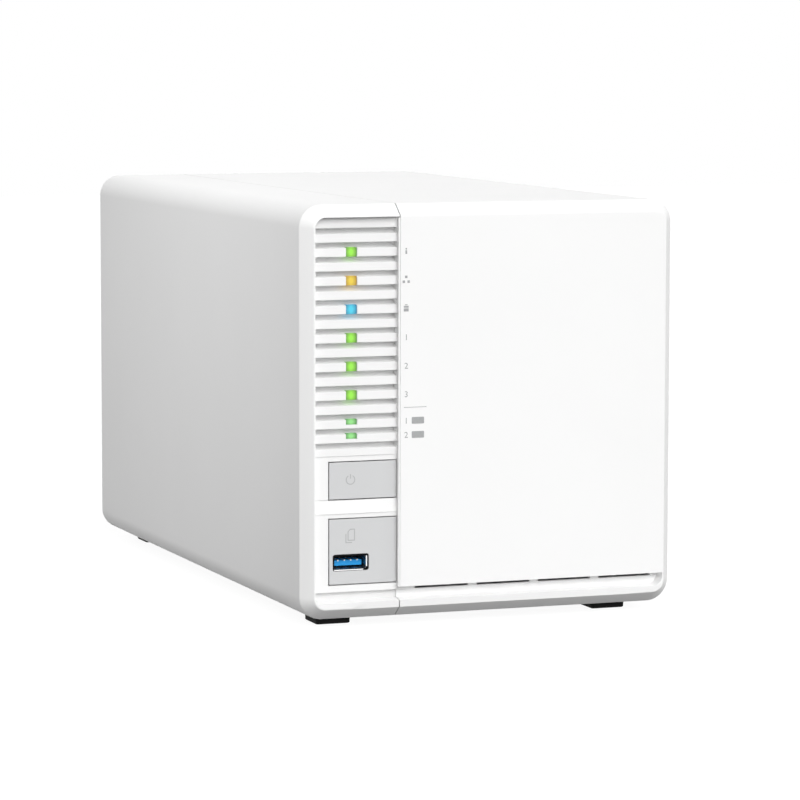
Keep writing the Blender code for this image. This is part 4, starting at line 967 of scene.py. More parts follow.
@dataclass
class Strip:
    """The louvred light strip behind the rim, with its lit windows.

    Attributes:
        housing: The shells round it.
        setback, thickness: Place of its face behind the housing's front, and its thickness.
        flat_setback: How far its flat parts lie behind its face.
        pitch, rows: Spacing and number of the louvres.
        groove_depth, groove_height: Size of the shadow groove over each louvre.
        groove_steps, groove_bend, groove_rise: Steps in a groove's floor, how late it bends, and its lift.
        recess_set: Place of the wall below the strip behind the housing's front.
        power_rows, socket_rows: Height of the two keys, in louvres.
        strip_low, lower_band: Lower edge of the strip, and the band between it and the lower key.
        window_width, window_height, window_rise: Large light windows on a louvre.
        window_lap: How far the windows reach past their clear bar on the left.
        small_height, small_rise: Small light windows.
        lens_gap, bar_depth: Gap round a lens, and depth of the clear bar behind the lenses.
        post_size, post_inset: Width of the posts for the board, and their place from the rim.
        button_gap: Gap round the keys.
        rim_lap: How far the strip reaches behind the rim.
        end_gap: Gap between the strip's right end and the cover.
        rib_width, rib_depth, rib_set: The thin rib at that end, and its place behind the front.
        web_width: Thickness of the wall behind the rib.
        edge_rise, bridge_rise: Lift of the edges above the upper key and between the keys.
        large_rows, small_rows: The louvres with a large and with a small window.
    """

    housing: Housing
    setback: float = 0.0025
    thickness: float = 0.0045
    flat_setback: float = 0.0003
    pitch: float = 0.00504
    rows: int = 16
    groove_depth: float = 0.0038
    groove_height: float = 0.0021
    groove_steps: int = 12
    groove_bend: float = 5.0
    groove_rise: float = 0.00025
    recess_set: float = 0.0054
    power_rows: int = 3
    socket_rows: int = 5
    strip_low: float = 0.0132
    lower_band: float = 0.00236
    window_width: float = 0.00425
    window_height: float = 0.0034
    window_rise: float = 0.0001
    window_lap: float = 0.00015
    small_height: float = 0.002
    small_rise: float = 0.0015
    lens_gap: float = 0.00003
    bar_depth: float = 0.002
    post_size: float = 0.003
    post_inset: float = 0.0042
    button_gap: float = 0.0004
    rim_lap: float = 0.0002
    end_gap: float = 0.0001
    rib_width: float = 0.0006
    rib_depth: float = 0.0006
    rib_set: float = 0.00005
    web_width: float = 0.0002
    edge_rise: float = 0.0006
    bridge_rise: float = 0.0003
    large_rows: tuple[int, ...] = (1, 3, 5, 7, 9, 11)
    small_rows: tuple[int, ...] = (13, 14)

    def __post_init__(self) -> None:
        """Work out the levels up the strip."""
        shell = self.housing
        self.face = shell.front - shell.print_room + self.setback
        self.flat = self.face + self.flat_setback
        self.back = self.face + self.thickness
        self.socket_low = self.strip_low + self.lower_band
        self.bridge_low = self.socket_low + self.socket_rows * self.pitch
        self.power_low = self.bridge_low + self.pitch
        self.louvres_low = self.power_low + self.power_rows * self.pitch
        self.louvres_top = self.louvres_low + self.rows * self.pitch
        self.window_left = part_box("status_light_pipe")[0].x - self.window_lap
        self.end = shell.seam_x - self.end_gap
        self.web_left = self.end - self.web_width

    def profile(self) -> Loop:
        """Return the strip's outline seen from the right, from the top down.

        Returns:
            Pairs of Y and Z.
        """
        shell = self.housing
        top, low = shell.top - shell.rim_inset + self.rim_lap, shell.low + shell.rim_inset
        points = [(self.back, top), (self.face, top)]
        for row in range(self.rows):
            edge = self.louvres_top - row * self.pitch + self.groove_rise
            points.append((self.face, edge))
            for i in range(self.groove_steps + 1):
                t = i / self.groove_steps
                deep = self.groove_depth * (1 - t**self.groove_bend)
                points.append((self.face + deep, edge - self.groove_height * t))
        edge, deep = self.louvres_low + self.edge_rise, self.flat + self.flat_setback
        points += [(self.face, edge), (self.flat, edge)]
        bridge_top, bridge_low = self.power_low + self.bridge_rise, self.bridge_low + self.bridge_rise
        points += [
            (self.flat, bridge_top), (deep, bridge_top), (self.face, bridge_low), (self.flat, bridge_low)
        ]
        points.append((self.flat, self.strip_low))
        wall = shell.front + self.recess_set
        return points + [(wall, self.strip_low), (wall, low - self.rim_lap), (self.back, low - self.rim_lap)]

    def windows(self) -> list[tuple[float, float, bool]]:
        """Return the low and high edge of each light window, and whether it is a large one.

        Returns:
            One entry for each window, from the top down.
        """
        spans = []
        for row in self.large_rows:
            low = self.louvres_top - (row + 1) * self.pitch + self.window_rise
            spans.append((low, low + self.window_height, True))
        for row in self.small_rows:
            low = self.louvres_top - (row + 1) * self.pitch + self.small_rise
            spans.append((low, low + self.small_height, False))
        return spans

    def build(self) -> None:
        """Make the strip and its lights."""
        self.build_panel()
        self.build_lights()

    def build_panel(self) -> None:
        """Make the louvred moulding."""
        shell = self.housing
        near, far = shell.front - REACH, self.back + REACH
        right = self.window_left + self.window_width
        openings = [
            block((self.window_left, near, low), (right, far, high)) for low, high, _ in self.windows()
        ]
        for name in ("power_button", "copy_button"):
            plate_low, plate_high = Keys.plate(name)
            corner = (plate_low.x - self.button_gap, near, plate_low.z - self.button_gap)
            openings.append(block(corner, (self.web_left, far, plate_high.z + self.button_gap)))
        inside = shell.outline(shell.rim_inset - self.rim_lap)
        panel = carved(
            prism([self.profile()], Axis.X, shell.left, self.web_left + OVERLAP),
            (Work.JOIN, self.web()),
            (Work.TRIM, prism([inside], Axis.Y, near, far)),
            (Work.CUT, merged(openings)),
            (Work.JOIN, self.rib()),
            (Work.JOIN, self.posts()),
        )
        # Its finish is the darker copy of the white moulding, painted shade for the recessed strip.
        piece("light_strip", panel, Finishes.SHADED_STRIP_WHITE, stands_for=["indicator_panel"], soften=0.00012)

    def web(self) -> Solid:
        """Return the upright wall that closes the strip's right end.

        Returns:
            The solid.
        """
        shell = self.housing
        front, wall = shell.front + self.rib_set + self.rib_depth / 2, shell.front + self.recess_set
        top, low = shell.top - shell.rim_inset + self.rim_lap, shell.low + shell.rim_inset - self.rim_lap
        outline = [(self.back, top), (front, top), (front, shell.face_low), (self.flat, shell.face_low)]
        outline += [(self.flat, self.strip_low), (wall, self.strip_low), (wall, low), (self.back, low)]
        return prism([outline], Axis.X, self.web_left, self.end)

    def rib(self) -> Solid:
        """Return the thin rib in front of that wall, which meets the cover at the seam.

        Returns:
            The solid.
        """
        shell = self.housing
        front = shell.front + self.rib_set
        top = shell.top - shell.rim_inset + self.rim_lap
        low = (self.end - self.rib_width, front, shell.face_low)
        return block(low, (self.end, front + self.rib_depth, top))

    def posts(self) -> Solid:
        """Return the posts behind the strip that hold its board.

        Returns:
            The solids.
        """
        shell, half = self.housing, self.post_size / 2
        x = shell.left + shell.rim_inset + self.post_inset
        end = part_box("indicator_panel")[1].y
        low, top = shell.low + shell.rim_inset, shell.top - shell.rim_inset
        levels = ((low + self.strip_low) / 2, self.louvres_low + self.pitch, top - self.post_inset)
        return merged(
            block((x - half, self.back - OVERLAP, z - half), (x + half, end, z + half)) for z in levels
        )

    def build_lights(self) -> None:
        """Make the lit lenses and the clear bars that feed them."""
        colours = [Finishes.GREEN_LIGHT, Finishes.AMBER_LIGHT, Finishes.BLUE_LIGHT]
        colours += [Finishes.GREEN_LIGHT] * 3 + [Finishes.SMALL_LIGHT] * 2
        for i, ((low, high, large), finish) in enumerate(zip(self.windows(), colours)):
            node = "status_light_pipe" if large else "module_light_pipe"
            front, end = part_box(node)[0].y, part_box(node)[1].y
            gap = self.lens_gap
            lens = block(
                (self.window_left + gap, front, low + gap),
                (self.window_left + self.window_width - gap, end - self.bar_depth + OVERLAP, high - gap),
            )
            piece(f"light_lens_{i + 1}", lens, finish, soften=FINE_EDGE)
        for i, node in enumerate(("status_light_pipe", "module_light_pipe")):
            low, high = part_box(node)
            bar = block((low.x, high.y - self.bar_depth, low.z), high)
            piece(f"light_bar_{i + 1}", bar, Finishes.CLEAR, stands_for=[node], soften=MOULD_EDGE)


@dataclass
class Keys:
    """The two front keys and the socket in the lower one.

    Attributes:
        flange, flange_thickness, flange_set: The hidden flange round each key's plate, and its place.
        key_reach, key_left, key_top: How far the plate's right, left and upper edge are moved.
        stem: Width of the stem that presses the switch.
        socket_gap, socket_wall, socket_radius: Gap round the socket's shell, its thickness and its corners.
        shell_set: How far that shell lies behind its node's front.
        sleeve_lip, sleeve_set: How far the dark sleeve reaches past the shell, sideways and forwards.
        lip_rise, lip_across, lip_upright: Height and insets of the two bright lips on the sleeve.
        floor_depth, tongue_foot: Where the socket's floor and the tongue's foot lie before the shell's end.
        tongue_set: How far the tongue lies behind its node's front.
        pad_count, pad_pitch, pad_width, pad_length: The contacts on the tongue.
        pad_set, pad_root, pad_rise: Their place from its tip, and how far they lie in it and stand out.
        symbol_depth, symbol_root, symbol_line: Height, depth and line width of the printed symbols.
        power_spot, power_radius, power_bar: Middle and radius of the power symbol, and its bar's two ends.
        copy_spot, copy_sheet, copy_edge: Middle of the copy symbol, its front sheet, and the edge behind it.
    """

    flange: float = 0.0015
    flange_thickness: float = 0.001
    flange_set: float = 0.0045
    key_reach: float = 0.00008
    key_left: float = 0.00036
    key_top: float = 0.00027
    stem: float = 0.004
    socket_gap: float = 0.0003
    socket_wall: float = 0.0004
    socket_radius: float = 0.0006
    shell_set: float = 0.0008
    sleeve_lip: float = 0.0002
    sleeve_set: float = 0.0003
    lip_rise: float = 0.00003
    lip_across: tuple[float, ...] = (0.00025, 0.00008, 0.0017, 0.00026)
    lip_upright: tuple[float, ...] = (0.00067, 0.0011, 0.00025, 0.0005)
    floor_depth: float = 0.004
    tongue_foot: float = 0.003
    pad_count: int = 4
    pad_pitch: float = 0.0024
    pad_width: float = 0.0005
    tongue_set: float = 0.0012
    pad_set: float = -0.00015
    pad_length: float = 0.006
    pad_root: float = 0.0003
    pad_rise: float = 0.00025
    symbol_depth: float = 0.00003
    symbol_root: float = 0.0001
    symbol_line: float = 0.00032
    power_spot: Point = (-0.0527, 0.0530)
    power_radius: float = 0.0016
    power_bar: Point = (0.0004, 0.002)
    copy_spot: Point = (-0.0526, 0.0329)
    copy_sheet: tuple[Point, ...] = (
        (0.0014, -0.0014), (0.0014, 0.0025), (-0.0002, 0.0025), (-0.001, 0.0017), (-0.001, -0.0014),
    )
    copy_edge: tuple[Point, ...] = ((-0.0018, 0.0009), (-0.0018, -0.0022), (0.0005, -0.0022))

    @classmethod
    def plate(cls, node: str) -> tuple[Vector, Vector]:
        """Return the corners of the visible plate of a key's node.

        Args:
            node: The key's node.

        Returns:
            Its lowest and highest corner.
        """
        low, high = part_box(node)
        near = Vector((low.x + cls.flange + cls.key_left, low.y, low.z + cls.flange))
        return near, Vector((high.x, high.y, high.z - cls.flange - cls.key_top))

    def build(self) -> None:
        """Make both keys, their symbols and the socket."""
        for name, body in (("power_button", "power_key"), ("copy_button", "copy_key")):
            self.build_key(name, body)
        self.build_symbols()
        self.build_socket()

    def build_key(self, node: str, body: str) -> None:
        """Make one key with its flange and stem.

        Args:
            node: The key's node.
            body: The body it is pressed with.
        """
        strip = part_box("indicator_panel")
        low, high = self.plate(node)
        whole_low, whole_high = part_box(node)
        switch_low, switch_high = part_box("power_switch" if node == "power_button" else "copy_switch")
        x, z = (switch_low.x + switch_high.x) / 2, (switch_low.z + switch_high.z) / 2
        face = low.y + self.flange_set
        flange_low = (whole_low.x, face, whole_low.z)
        flange_high = (high.x - self.flange, face + self.flange_thickness, whole_high.z)
        half = self.stem / 2
        steps = [
            (Work.JOIN, block(flange_low, flange_high)),
            (Work.JOIN, block((x - half, face, z - half), (x + half, whole_high.y, z + half))),
        ]
        if node == "copy_button":
            port_low, port_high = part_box("front_usb_shell")
            gap = self.socket_gap
            near = (port_low.x - gap, low.y - REACH, port_low.z - gap)
            far = (port_high.x + gap, strip[1].y + 2 * REACH, port_high.z + gap)
            steps.append((Work.CUT, block(near, far, self.socket_radius + gap, Axis.Y)))
        plate = block(low, (high.x + self.key_reach, face + OVERLAP, high.z), MOULD_EDGE, Axis.Y)
        piece(f"{body}_cap", carved(plate, *steps), Finishes.GREY, body, stands_for=[node], soften=0.00012)

    def build_symbols(self) -> None:
        """Print the power and the copy symbol on the keys."""
        x, z = self.power_spot
        ring = stroke(arc(x, z, self.power_radius, 120, 300, 28), self.symbol_line)
        bar = stroke([(x, z + up) for up in self.power_bar], self.symbol_line)
        self.print_symbol("power", (ring, bar))
        x, z = self.copy_spot
        front_sheet = stroke([(x + u, z + v) for u, v in self.copy_sheet], self.symbol_line, closed=True)
        back_sheet = stroke([(x + u, z + v) for u, v in self.copy_edge], self.symbol_line)
        self.print_symbol("copy", (front_sheet, back_sheet))

    def print_symbol(self, key: str, shapes: Sequence[list[Loop]]) -> None:
        """Print one symbol on a key.

        Args:
            key: First part of the key's names.
            shapes: The symbol's outlines, each with its holes.
        """
        face = self.plate(f"{key}_button")[0].y
        near, far = face - self.symbol_depth, face + self.symbol_root
        solids = [prism(loops, Axis.Y, near, far) for loops in shapes]
        piece(f"{key}_symbol", merged(solids), Finishes.KEY_PRINT, f"{key}_key")

    def build_socket(self) -> None:
        """Make the steel shell, the tongue with its contacts and the dark floor of the socket."""
        low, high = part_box("front_usb_shell")
        wall = self.socket_wall
        outer = oblong(low.x, low.z, high.x, high.z, self.socket_radius)
        inner = oblong(
            low.x + wall, low.z + wall, high.x - wall, high.z - wall, self.socket_radius - wall / 2
        )
        shell = prism([outer, inner], Axis.Y, low.y + self.shell_set, high.y)
        piece("front_socket_shell", shell, Finishes.NICKEL, stands_for=["front_usb_shell"], soften=FINE_EDGE)
        lip = self.sleeve_lip
        around = oblong(low.x - lip, low.z - lip, high.x + lip, high.z + lip, self.socket_radius)
        sleeve = prism([around, inner], Axis.Y, low.y - self.sleeve_set, low.y + self.shell_set - lip / 4)
        piece("front_socket_sleeve", sleeve, Finishes.DULL_BLACK, soften=FINE_EDGE)
        across, upright = self.lip_across, self.lip_upright
        plates = [
            oblong(low.x + across[0], low.z - lip + across[1], high.x - across[2], low.z + across[3], 0.0001),
            oblong(high.x - upright[0], low.z + upright[1], high.x - upright[2], high.z - upright[3], 0.0001),
        ]
        near = low.y - self.sleeve_set - self.lip_rise
        lips = merged(prism([plate], Axis.Y, near, low.y) for plate in plates)
        piece("front_socket_lips", lips, Finishes.LIP, soften=0.00005)
        floor = prism([inner], Axis.Y, high.y - self.floor_depth, high.y - OVERLAP)
        piece("front_socket_floor", floor, Finishes.DULL_BLACK, soften=FINE_EDGE)
        tongue_low, tongue_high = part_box("front_usb_tongue")
        tongue_low.y += self.tongue_set
        tongue = block(
            tongue_low, (tongue_high.x, high.y - self.tongue_foot, tongue_high.z), SMALL_EDGE, Axis.Y
        )
        piece("front_socket_tongue", tongue, Finishes.BLUE, stands_for=["front_usb_tongue"], soften=0.0005)
        pads = []
        middle = (tongue_low.x + tongue_high.x) / 2
        start = tongue_low.y + self.pad_set
        for i in range(self.pad_count):
            x = middle + (i - (self.pad_count - 1) / 2) * self.pad_pitch
            near = (x - self.pad_width / 2, start, tongue_high.z - self.pad_root)
            far = (x + self.pad_width / 2, start + self.pad_length, tongue_high.z + self.pad_rise)
            pads.append(block(near, far, SMALL_EDGE, Axis.Y))
        piece("front_socket_contacts", merged(pads), Finishes.LIP, soften=FINE_EDGE)


@dataclass
class Prints:
    """The grey symbols and numbers on the cover beside the lights.

    Attributes:
        housing, strip: What they are printed on, and what they stand beside.
        middle: Where the symbols are centred across.
        symbol_rise: How far the first three lie above the middle of their windows.
        info_dot, info_stem: Place and radius of the letter's dot, half the width and the ends of its stem.
        knot, knots: Half the size and the places of the three linked squares.
        stack: Half the width and the ends of the storage can's three bars.
        number_height, number_shift: Height of the numbers, and half their width as a share of it.
        badge: Left and right edge, half the height and corner radius of the plain fields.
        rule: Corners of the thin rule.
    """

    housing: Housing
    strip: Strip
    middle: float = -0.0329
    symbol_rise: float = 0.0002
    info_dot: Point = (0.0007, 0.00032)
    info_stem: Place = (0.00032, -0.0011, 0.0002)
    knot: float = 0.00045
    knots: tuple[Point, ...] = ((0, 0.0009), (-0.0009, -0.0008), (0.0009, -0.0008))
    stack: tuple[Place, ...] = (
        (0.0009, -0.0012, -0.0001), (0.0009, 0.0001, 0.0008), (0.0005, 0.0010, 0.0013)
    )
    number_height: float = 0.0021
    number_shift: float = 0.32
    badge: tuple[float, ...] = (-0.03075, -0.0261, 0.0012, 0.0003)
    rule: tuple[float, ...] = (-0.03366, 0.0781, -0.02518, 0.0783)

    def solid(self, loops: Sequence[Loop]) -> Solid:
        """Return outlines as separate thin solids on the cover's face.

        Args:
            loops: The outlines.

        Returns:
            The solids.
        """
        front = self.housing.front
        depth = self.housing.print_room
        return merged(prism([loop], Axis.Y, front - depth, front + depth) for loop in loops)

    def build(self) -> None:
        """Print every symbol."""
        x = self.middle
        centres = [(low + high) / 2 for low, high, _ in self.strip.windows()]
        info, network, store = (z + self.symbol_rise for z in centres[:3])
        rise, radius = self.info_dot
        half, low, high = self.info_stem
        letter = [disc(x, info + rise, radius, 16), oblong(x - half, info + low, x + half, info + high)]
        piece("info_print", self.solid(letter), Finishes.PRINT, "cover")
        half = self.knot
        spots = [(x + u, network + v) for u, v in self.knots]
        squares = [oblong(u - half, v - half, u + half, v + half) for u, v in spots]
        piece("network_print", self.solid(squares), Finishes.PRINT, "cover")
        bars = [oblong(x - wide, store + low, x + wide, store + high) for wide, low, high in self.stack]
        piece("store_print", self.solid(bars), Finishes.PRINT, "cover")
        numbers = [*zip("123", centres[3:6]), *zip("12", centres[6:])]
        for i, (text, z) in enumerate(numbers):
            low = (x - self.number_height * self.number_shift, self.housing.front, z - self.number_height / 2)
            solid = lettered(text, self.number_height, low, 2 * self.housing.print_room)
            piece(f"number_print_{i + 1}", solid, Finishes.PRINT, "cover")
        left, right, half, radius = self.badge
        for i, z in enumerate(centres[6:]):
            badge = oblong(left, z - half, right, z + half, radius)
            piece(f"badge_print_{i + 1}", self.solid([badge]), Finishes.PRINT, "cover")
        piece("rule_print", self.solid([oblong(*self.rule)]), Finishes.PRINT, "cover")


@dataclass
class Feet:
    """Four rubber feet.

    Attributes:
        radius: Corner radius.
        taper, edge: How much smaller a foot is at the desk, and the slope of its lower edge.
    """

    radius: float = 0.0008
    taper: float = 0.0001
    edge: float = 0.0003

    def build(self) -> None:
        """Make the feet, each up against the floor."""
        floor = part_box("left_shell")[0].z
        for i in range(1, 5):
            low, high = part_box(f"foot_{i}")
            rings = []
            for inset, z in ((self.taper + self.edge, 0), (self.taper, self.edge), (0, floor)):
                sides = (low.x + inset, low.y + inset, high.x - inset, high.y - inset)
                rings.append([(u, v, z) for u, v in oblong(*sides, self.radius)])
            piece(f"rubber_foot_{i}", loft(rings), Finishes.RUBBER, stands_for=[f"foot_{i}"])


@dataclass
class Back:
    """The steel back: grille, holes, marks and screws.

    Attributes:
        housing: The shells it closes.
        gap: Room round what comes through it.
        fan_wall: Wall between the fan's side and its bore.
        grille_first, grille_slot, grille_pitch: Innermost radius, width and spacing of the air slots.
        grille_rib, grille_parts: Width and number of the ribs across the slots.
        grille_steps: Straight steps in a slot's long side.
        bead_width, bead_height: The pressed ring round the grille.
        screw_hole, reset_hole: Radius of these holes.
        lock_size, lock_rise: Width and height of the lock slot, and its place above the reset hole.
        mark_x: Where the marks are printed across.
        mark_line, mark_depth: Width and thickness of the printed lines.
        inlet_dashes, inlet_dash, inlet_bar: Places of the inlet mark's dashes, then half the length and
            the place up of a dash and of the bar over them.
        knot, knots, knot_bar: Half the size and the places of three squares, half the length of their bar.
        screen, screen_foot: Half the width and the ends of a screen, half the length and place of its foot.
        arrow, arrow_radius: Corners of the reset arrow's tip, and the radius of its bow.
        lock_body, lock_bow: Half the width and the height of a lock, and the radius and rise of its bow.
        number_height, number_shift, number_rise: Height of the sockets' numbers, and as shares of it half
            their width and their place.
        screw_shank, screw_root, thread_pitch: Outer and inner radius of a screw's thread, and its pitch.
        head_rim, head_top: Upright share of a screw head's height, and flat share of its radius.
        cross_width, cross_depth, cross_arm: The cross recess, its arm as a share of the head's radius.
        ports, screws: The nodes that come through the plate.
    """

    housing: Housing
    gap: float = 0.0003
    fan_wall: float = 0.0015
    grille_first: float = 0.008
    grille_slot: float = 0.0046
    grille_pitch: float = 0.0072
    grille_rib: float = 0.003
    grille_parts: int = 4
    grille_steps: int = 16
    bead_width: float = 0.0016
    bead_height: float = 0.0004
    screw_hole: float = SCREW_BORE
    reset_hole: float = 0.0014
    lock_size: Point = (0.007, 0.003)
    lock_rise: float = 0.0145
    mark_x: float = -0.0605
    mark_line: float = 0.00035
    mark_depth: float = 0.00003
    inlet_dashes: Place = (-0.0012, 0, 0.0012)
    inlet_dash: Point = (0.0004, -0.0007)
    inlet_bar: Point = (0.0016, 0.0004)
    knot: float = 0.0006
    knots: tuple[Point, ...] = ((0, 0.0012), (-0.0013, -0.0012), (0.0013, -0.0012))
    knot_bar: float = 0.0013
    screen: Place = (0.002, -0.0008, 0.0016)
    screen_foot: Point = (0.001, -0.0018)
    arrow: tuple[Point, ...] = ((-0.0003, 0.0006), (0.0007, 0.0014), (-0.0003, 0.0022))
    arrow_radius: float = 0.0014
    lock_body: Point = (0.0013, 0.0018)
    lock_bow: Point = (0.0008, 0.0006)
    number_height: float = 0.0024
    number_shift: float = 0.3
    number_rise: float = 0.6
    screw_shank: float = 0.0016
    screw_root: float = 0.0013
    thread_pitch: float = 0.0007
    cross_width: float = 0.0007
    cross_depth: float = 0.0009
    cross_arm: float = 0.62
    head_rim: float = 0.35
    head_top: float = 0.15
    ports: tuple[str, ...] = ("power_inlet", "network_port", "usb_ports", "video_port")
    screws: tuple[str, ...] = (
        "fan_screw_1", "fan_screw_2", "fan_screw_3", "fan_screw_4", "cover_screw_1", "cover_screw_2",
    )

    def __post_init__(self) -> None:
        """Take the plate's faces and the fan's middle from the frame."""
        low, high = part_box("rear_panel")
        self.near, self.face = low.y, high.y
        self.fan = centre("fan_frame")
        fan_low, fan_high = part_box("fan_frame")
        self.bore = (fan_high.x - fan_low.x) / 2 - self.fan_wall
        self.reset = centre("reset_button")

    def build(self) -> None:
        """Make the plate, its marks and the screws in it."""
        self.build_plate()
        self.build_marks()
        for node in self.screws:
            self.build_screw(node)

    def grille(self) -> list[Loop]:
        """Return the outlines of the curved air slots.

        Returns:
            One outline for each slot.
        """
        loops = []
        turn = 360 / self.grille_parts
        inner = self.grille_first
        while inner + self.grille_slot < self.bore:
            for part in range(self.grille_parts):
                loop = []
                for radius, sign in ((inner + self.grille_slot, 1), (inner, -1)):
                    half = turn / 2 - math.degrees(math.asin(self.grille_rib / 2 / radius))
                    middle = turn * (part + 1)
                    ends = (middle - sign * half, sign * 2 * half)
                    loop += arc(self.fan.x, self.fan.z, radius, *ends, self.grille_steps)
                loops.append(loop)
            inner += self.grille_pitch
        return loops

    def build_plate(self) -> None:
        """Make the plate with all its holes."""
        holes = self.grille()
        for node in self.screws:
            spot = centre(node)
            holes.append(disc(spot.x, spot.z, self.screw_hole, 24))
        for node in self.ports:
            low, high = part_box(node)
            corners = (low.x - self.gap, low.z - self.gap, high.x + self.gap, high.z + self.gap)
            holes.append(oblong(*corners, self.gap))
        holes.append(disc(self.reset.x, self.reset.z, self.reset_hole, 24))
        width, height = self.lock_size
        low = self.reset.z + self.lock_rise
        holes.append(
            oblong(self.reset.x - width / 2, low, self.reset.x + width / 2, low + height, height / 4)
        )
        outline = self.housing.outline(self.housing.wall + self.gap)
        plate = prism([outline, *holes], Axis.Y, self.near, self.face)
        rings = [disc(self.fan.x, self.fan.z, self.bore - inset, 96) for inset in (0, self.bead_width)]
        bead = prism(rings, Axis.Y, self.face - self.bead_height, self.face + self.bead_height)
        plate = carved(plate, (Work.JOIN, bead))
        piece("rear_plate", plate, Finishes.BLACK_STEEL, stands_for=["rear_panel"])

    def mark(self, name: str, loops: Sequence[Sequence[Loop]]) -> None:
        """Print one mark on the back.

        Args:
            name: Name of the print.
            loops: Its outlines, each with its holes.
        """
        solids = [prism(shape, Axis.Y, self.face - OVERLAP, self.face + self.mark_depth) for shape in loops]
        piece(name, merged(solids), Finishes.PALE_PRINT)

    def dash(self, x: float, z: float, half: float) -> list[Loop]:
        """Return a level line by its middle, its lower edge and half its length."""
        return [oblong(x - half, z, x + half, z + self.mark_line)]

    def build_marks(self) -> None:
        """Print a plain mark beside each opening."""
        x, line = self.mark_x, self.mark_line
        z = centre("power_inlet").z
        (half, rise), (wide, up) = self.inlet_dash, self.inlet_bar
        dashes = [self.dash(x + u, z + rise, half) for u in self.inlet_dashes]
        self.mark("inlet_mark", [self.dash(x, z + up, wide), *dashes])
        z, half, wide = centre("network_port").z, self.knot, self.knot_bar
        spots = [(x + u, z + v) for u, v in self.knots]
        knots = [[oblong(u - half, v - half, u + half, v + half)] for u, v in spots]
        self.mark("network_mark", [*knots, [oblong(x - wide, z - line / 2, x + wide, z + line / 2)]])
        z = centre("video_port").z
        (wide, low, high), (half, drop) = self.screen, self.screen_foot
        screen = stroke(oblong(x - wide, z + low, x + wide, z + high), line, closed=True)
        self.mark("video_mark", [screen, self.dash(x, z + drop, half)])
        z = self.reset.z
        tip = [[(x + u, z + v) for u, v in self.arrow]]
        self.mark("reset_mark", [stroke(arc(x, z, self.arrow_radius, 110, 290, 24), line), tip])
        z = self.reset.z + self.lock_rise + self.lock_size[1] / 2
        (radius, rise), (half, tall) = self.lock_bow, self.lock_body
        bow = stroke([(x - radius, z), *arc(x, z + rise, radius, 180, -180, 12), (x + radius, z)], line)
        self.mark("lock_mark", [[oblong(x - half, z - tall, x + half, z)], bow])
        twin_low, twin_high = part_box("usb_ports")
        for i, share in enumerate((0.25, 0.75)):
            spot = twin_low.x + (twin_high.x - twin_low.x) * share
            size = self.number_height
            low = (spot - size * self.number_shift, self.face, twin_high.z + size * self.number_rise)
            number = about_face(lettered(str(2 - i), size, low, 2 * self.mark_depth), spot, self.face)
            piece(f"socket_number_{2 - i}", number, Finishes.PALE_PRINT)

    def build_screw(self, node: str) -> None:
        """Make one screw with its thread and its cross recess.

        Args:
            node: The screw's node.
        """
        low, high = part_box(node)
        spot = (low + high) / 2
        radius = (high.x - low.x) / 2
        head = self.face + self.gap
        rise = high.y - head
        profile = [(self.screw_root / 2, low.y)]
        y = low.y + self.thread_pitch
        while y < self.near - self.thread_pitch:
            profile += [(self.screw_root, y), (self.screw_shank, y + self.thread_pitch / 2)]
            y += self.thread_pitch
        rim = self.head_rim
        profile += [
            (self.screw_root, y), (self.screw_root, head), (radius, head), (radius, head + rise * rim)
        ]
        for angle in (0.4, 0.8, 1.2):
            profile.append((radius * math.cos(angle), head + rise * (rim + (1 - rim) * math.sin(angle))))
        profile.append((radius * self.head_top, high.y))
        arm, deep = radius * self.cross_arm, high.y - self.cross_depth
        wide = self.cross_width / 2
        slots = [
            block((spot.x - u, deep, spot.z - v), (spot.x + u, high.y + REACH, spot.z + v))
            for u, v in ((arm, wide), (wide, arm))
        ]
        screw = carved(turned(profile, Axis.Y, spot.x, spot.z, 28), *((Work.CUT, slot) for slot in slots))
        piece(f"{node}_threaded", screw, Finishes.NICKEL, stands_for=[node])


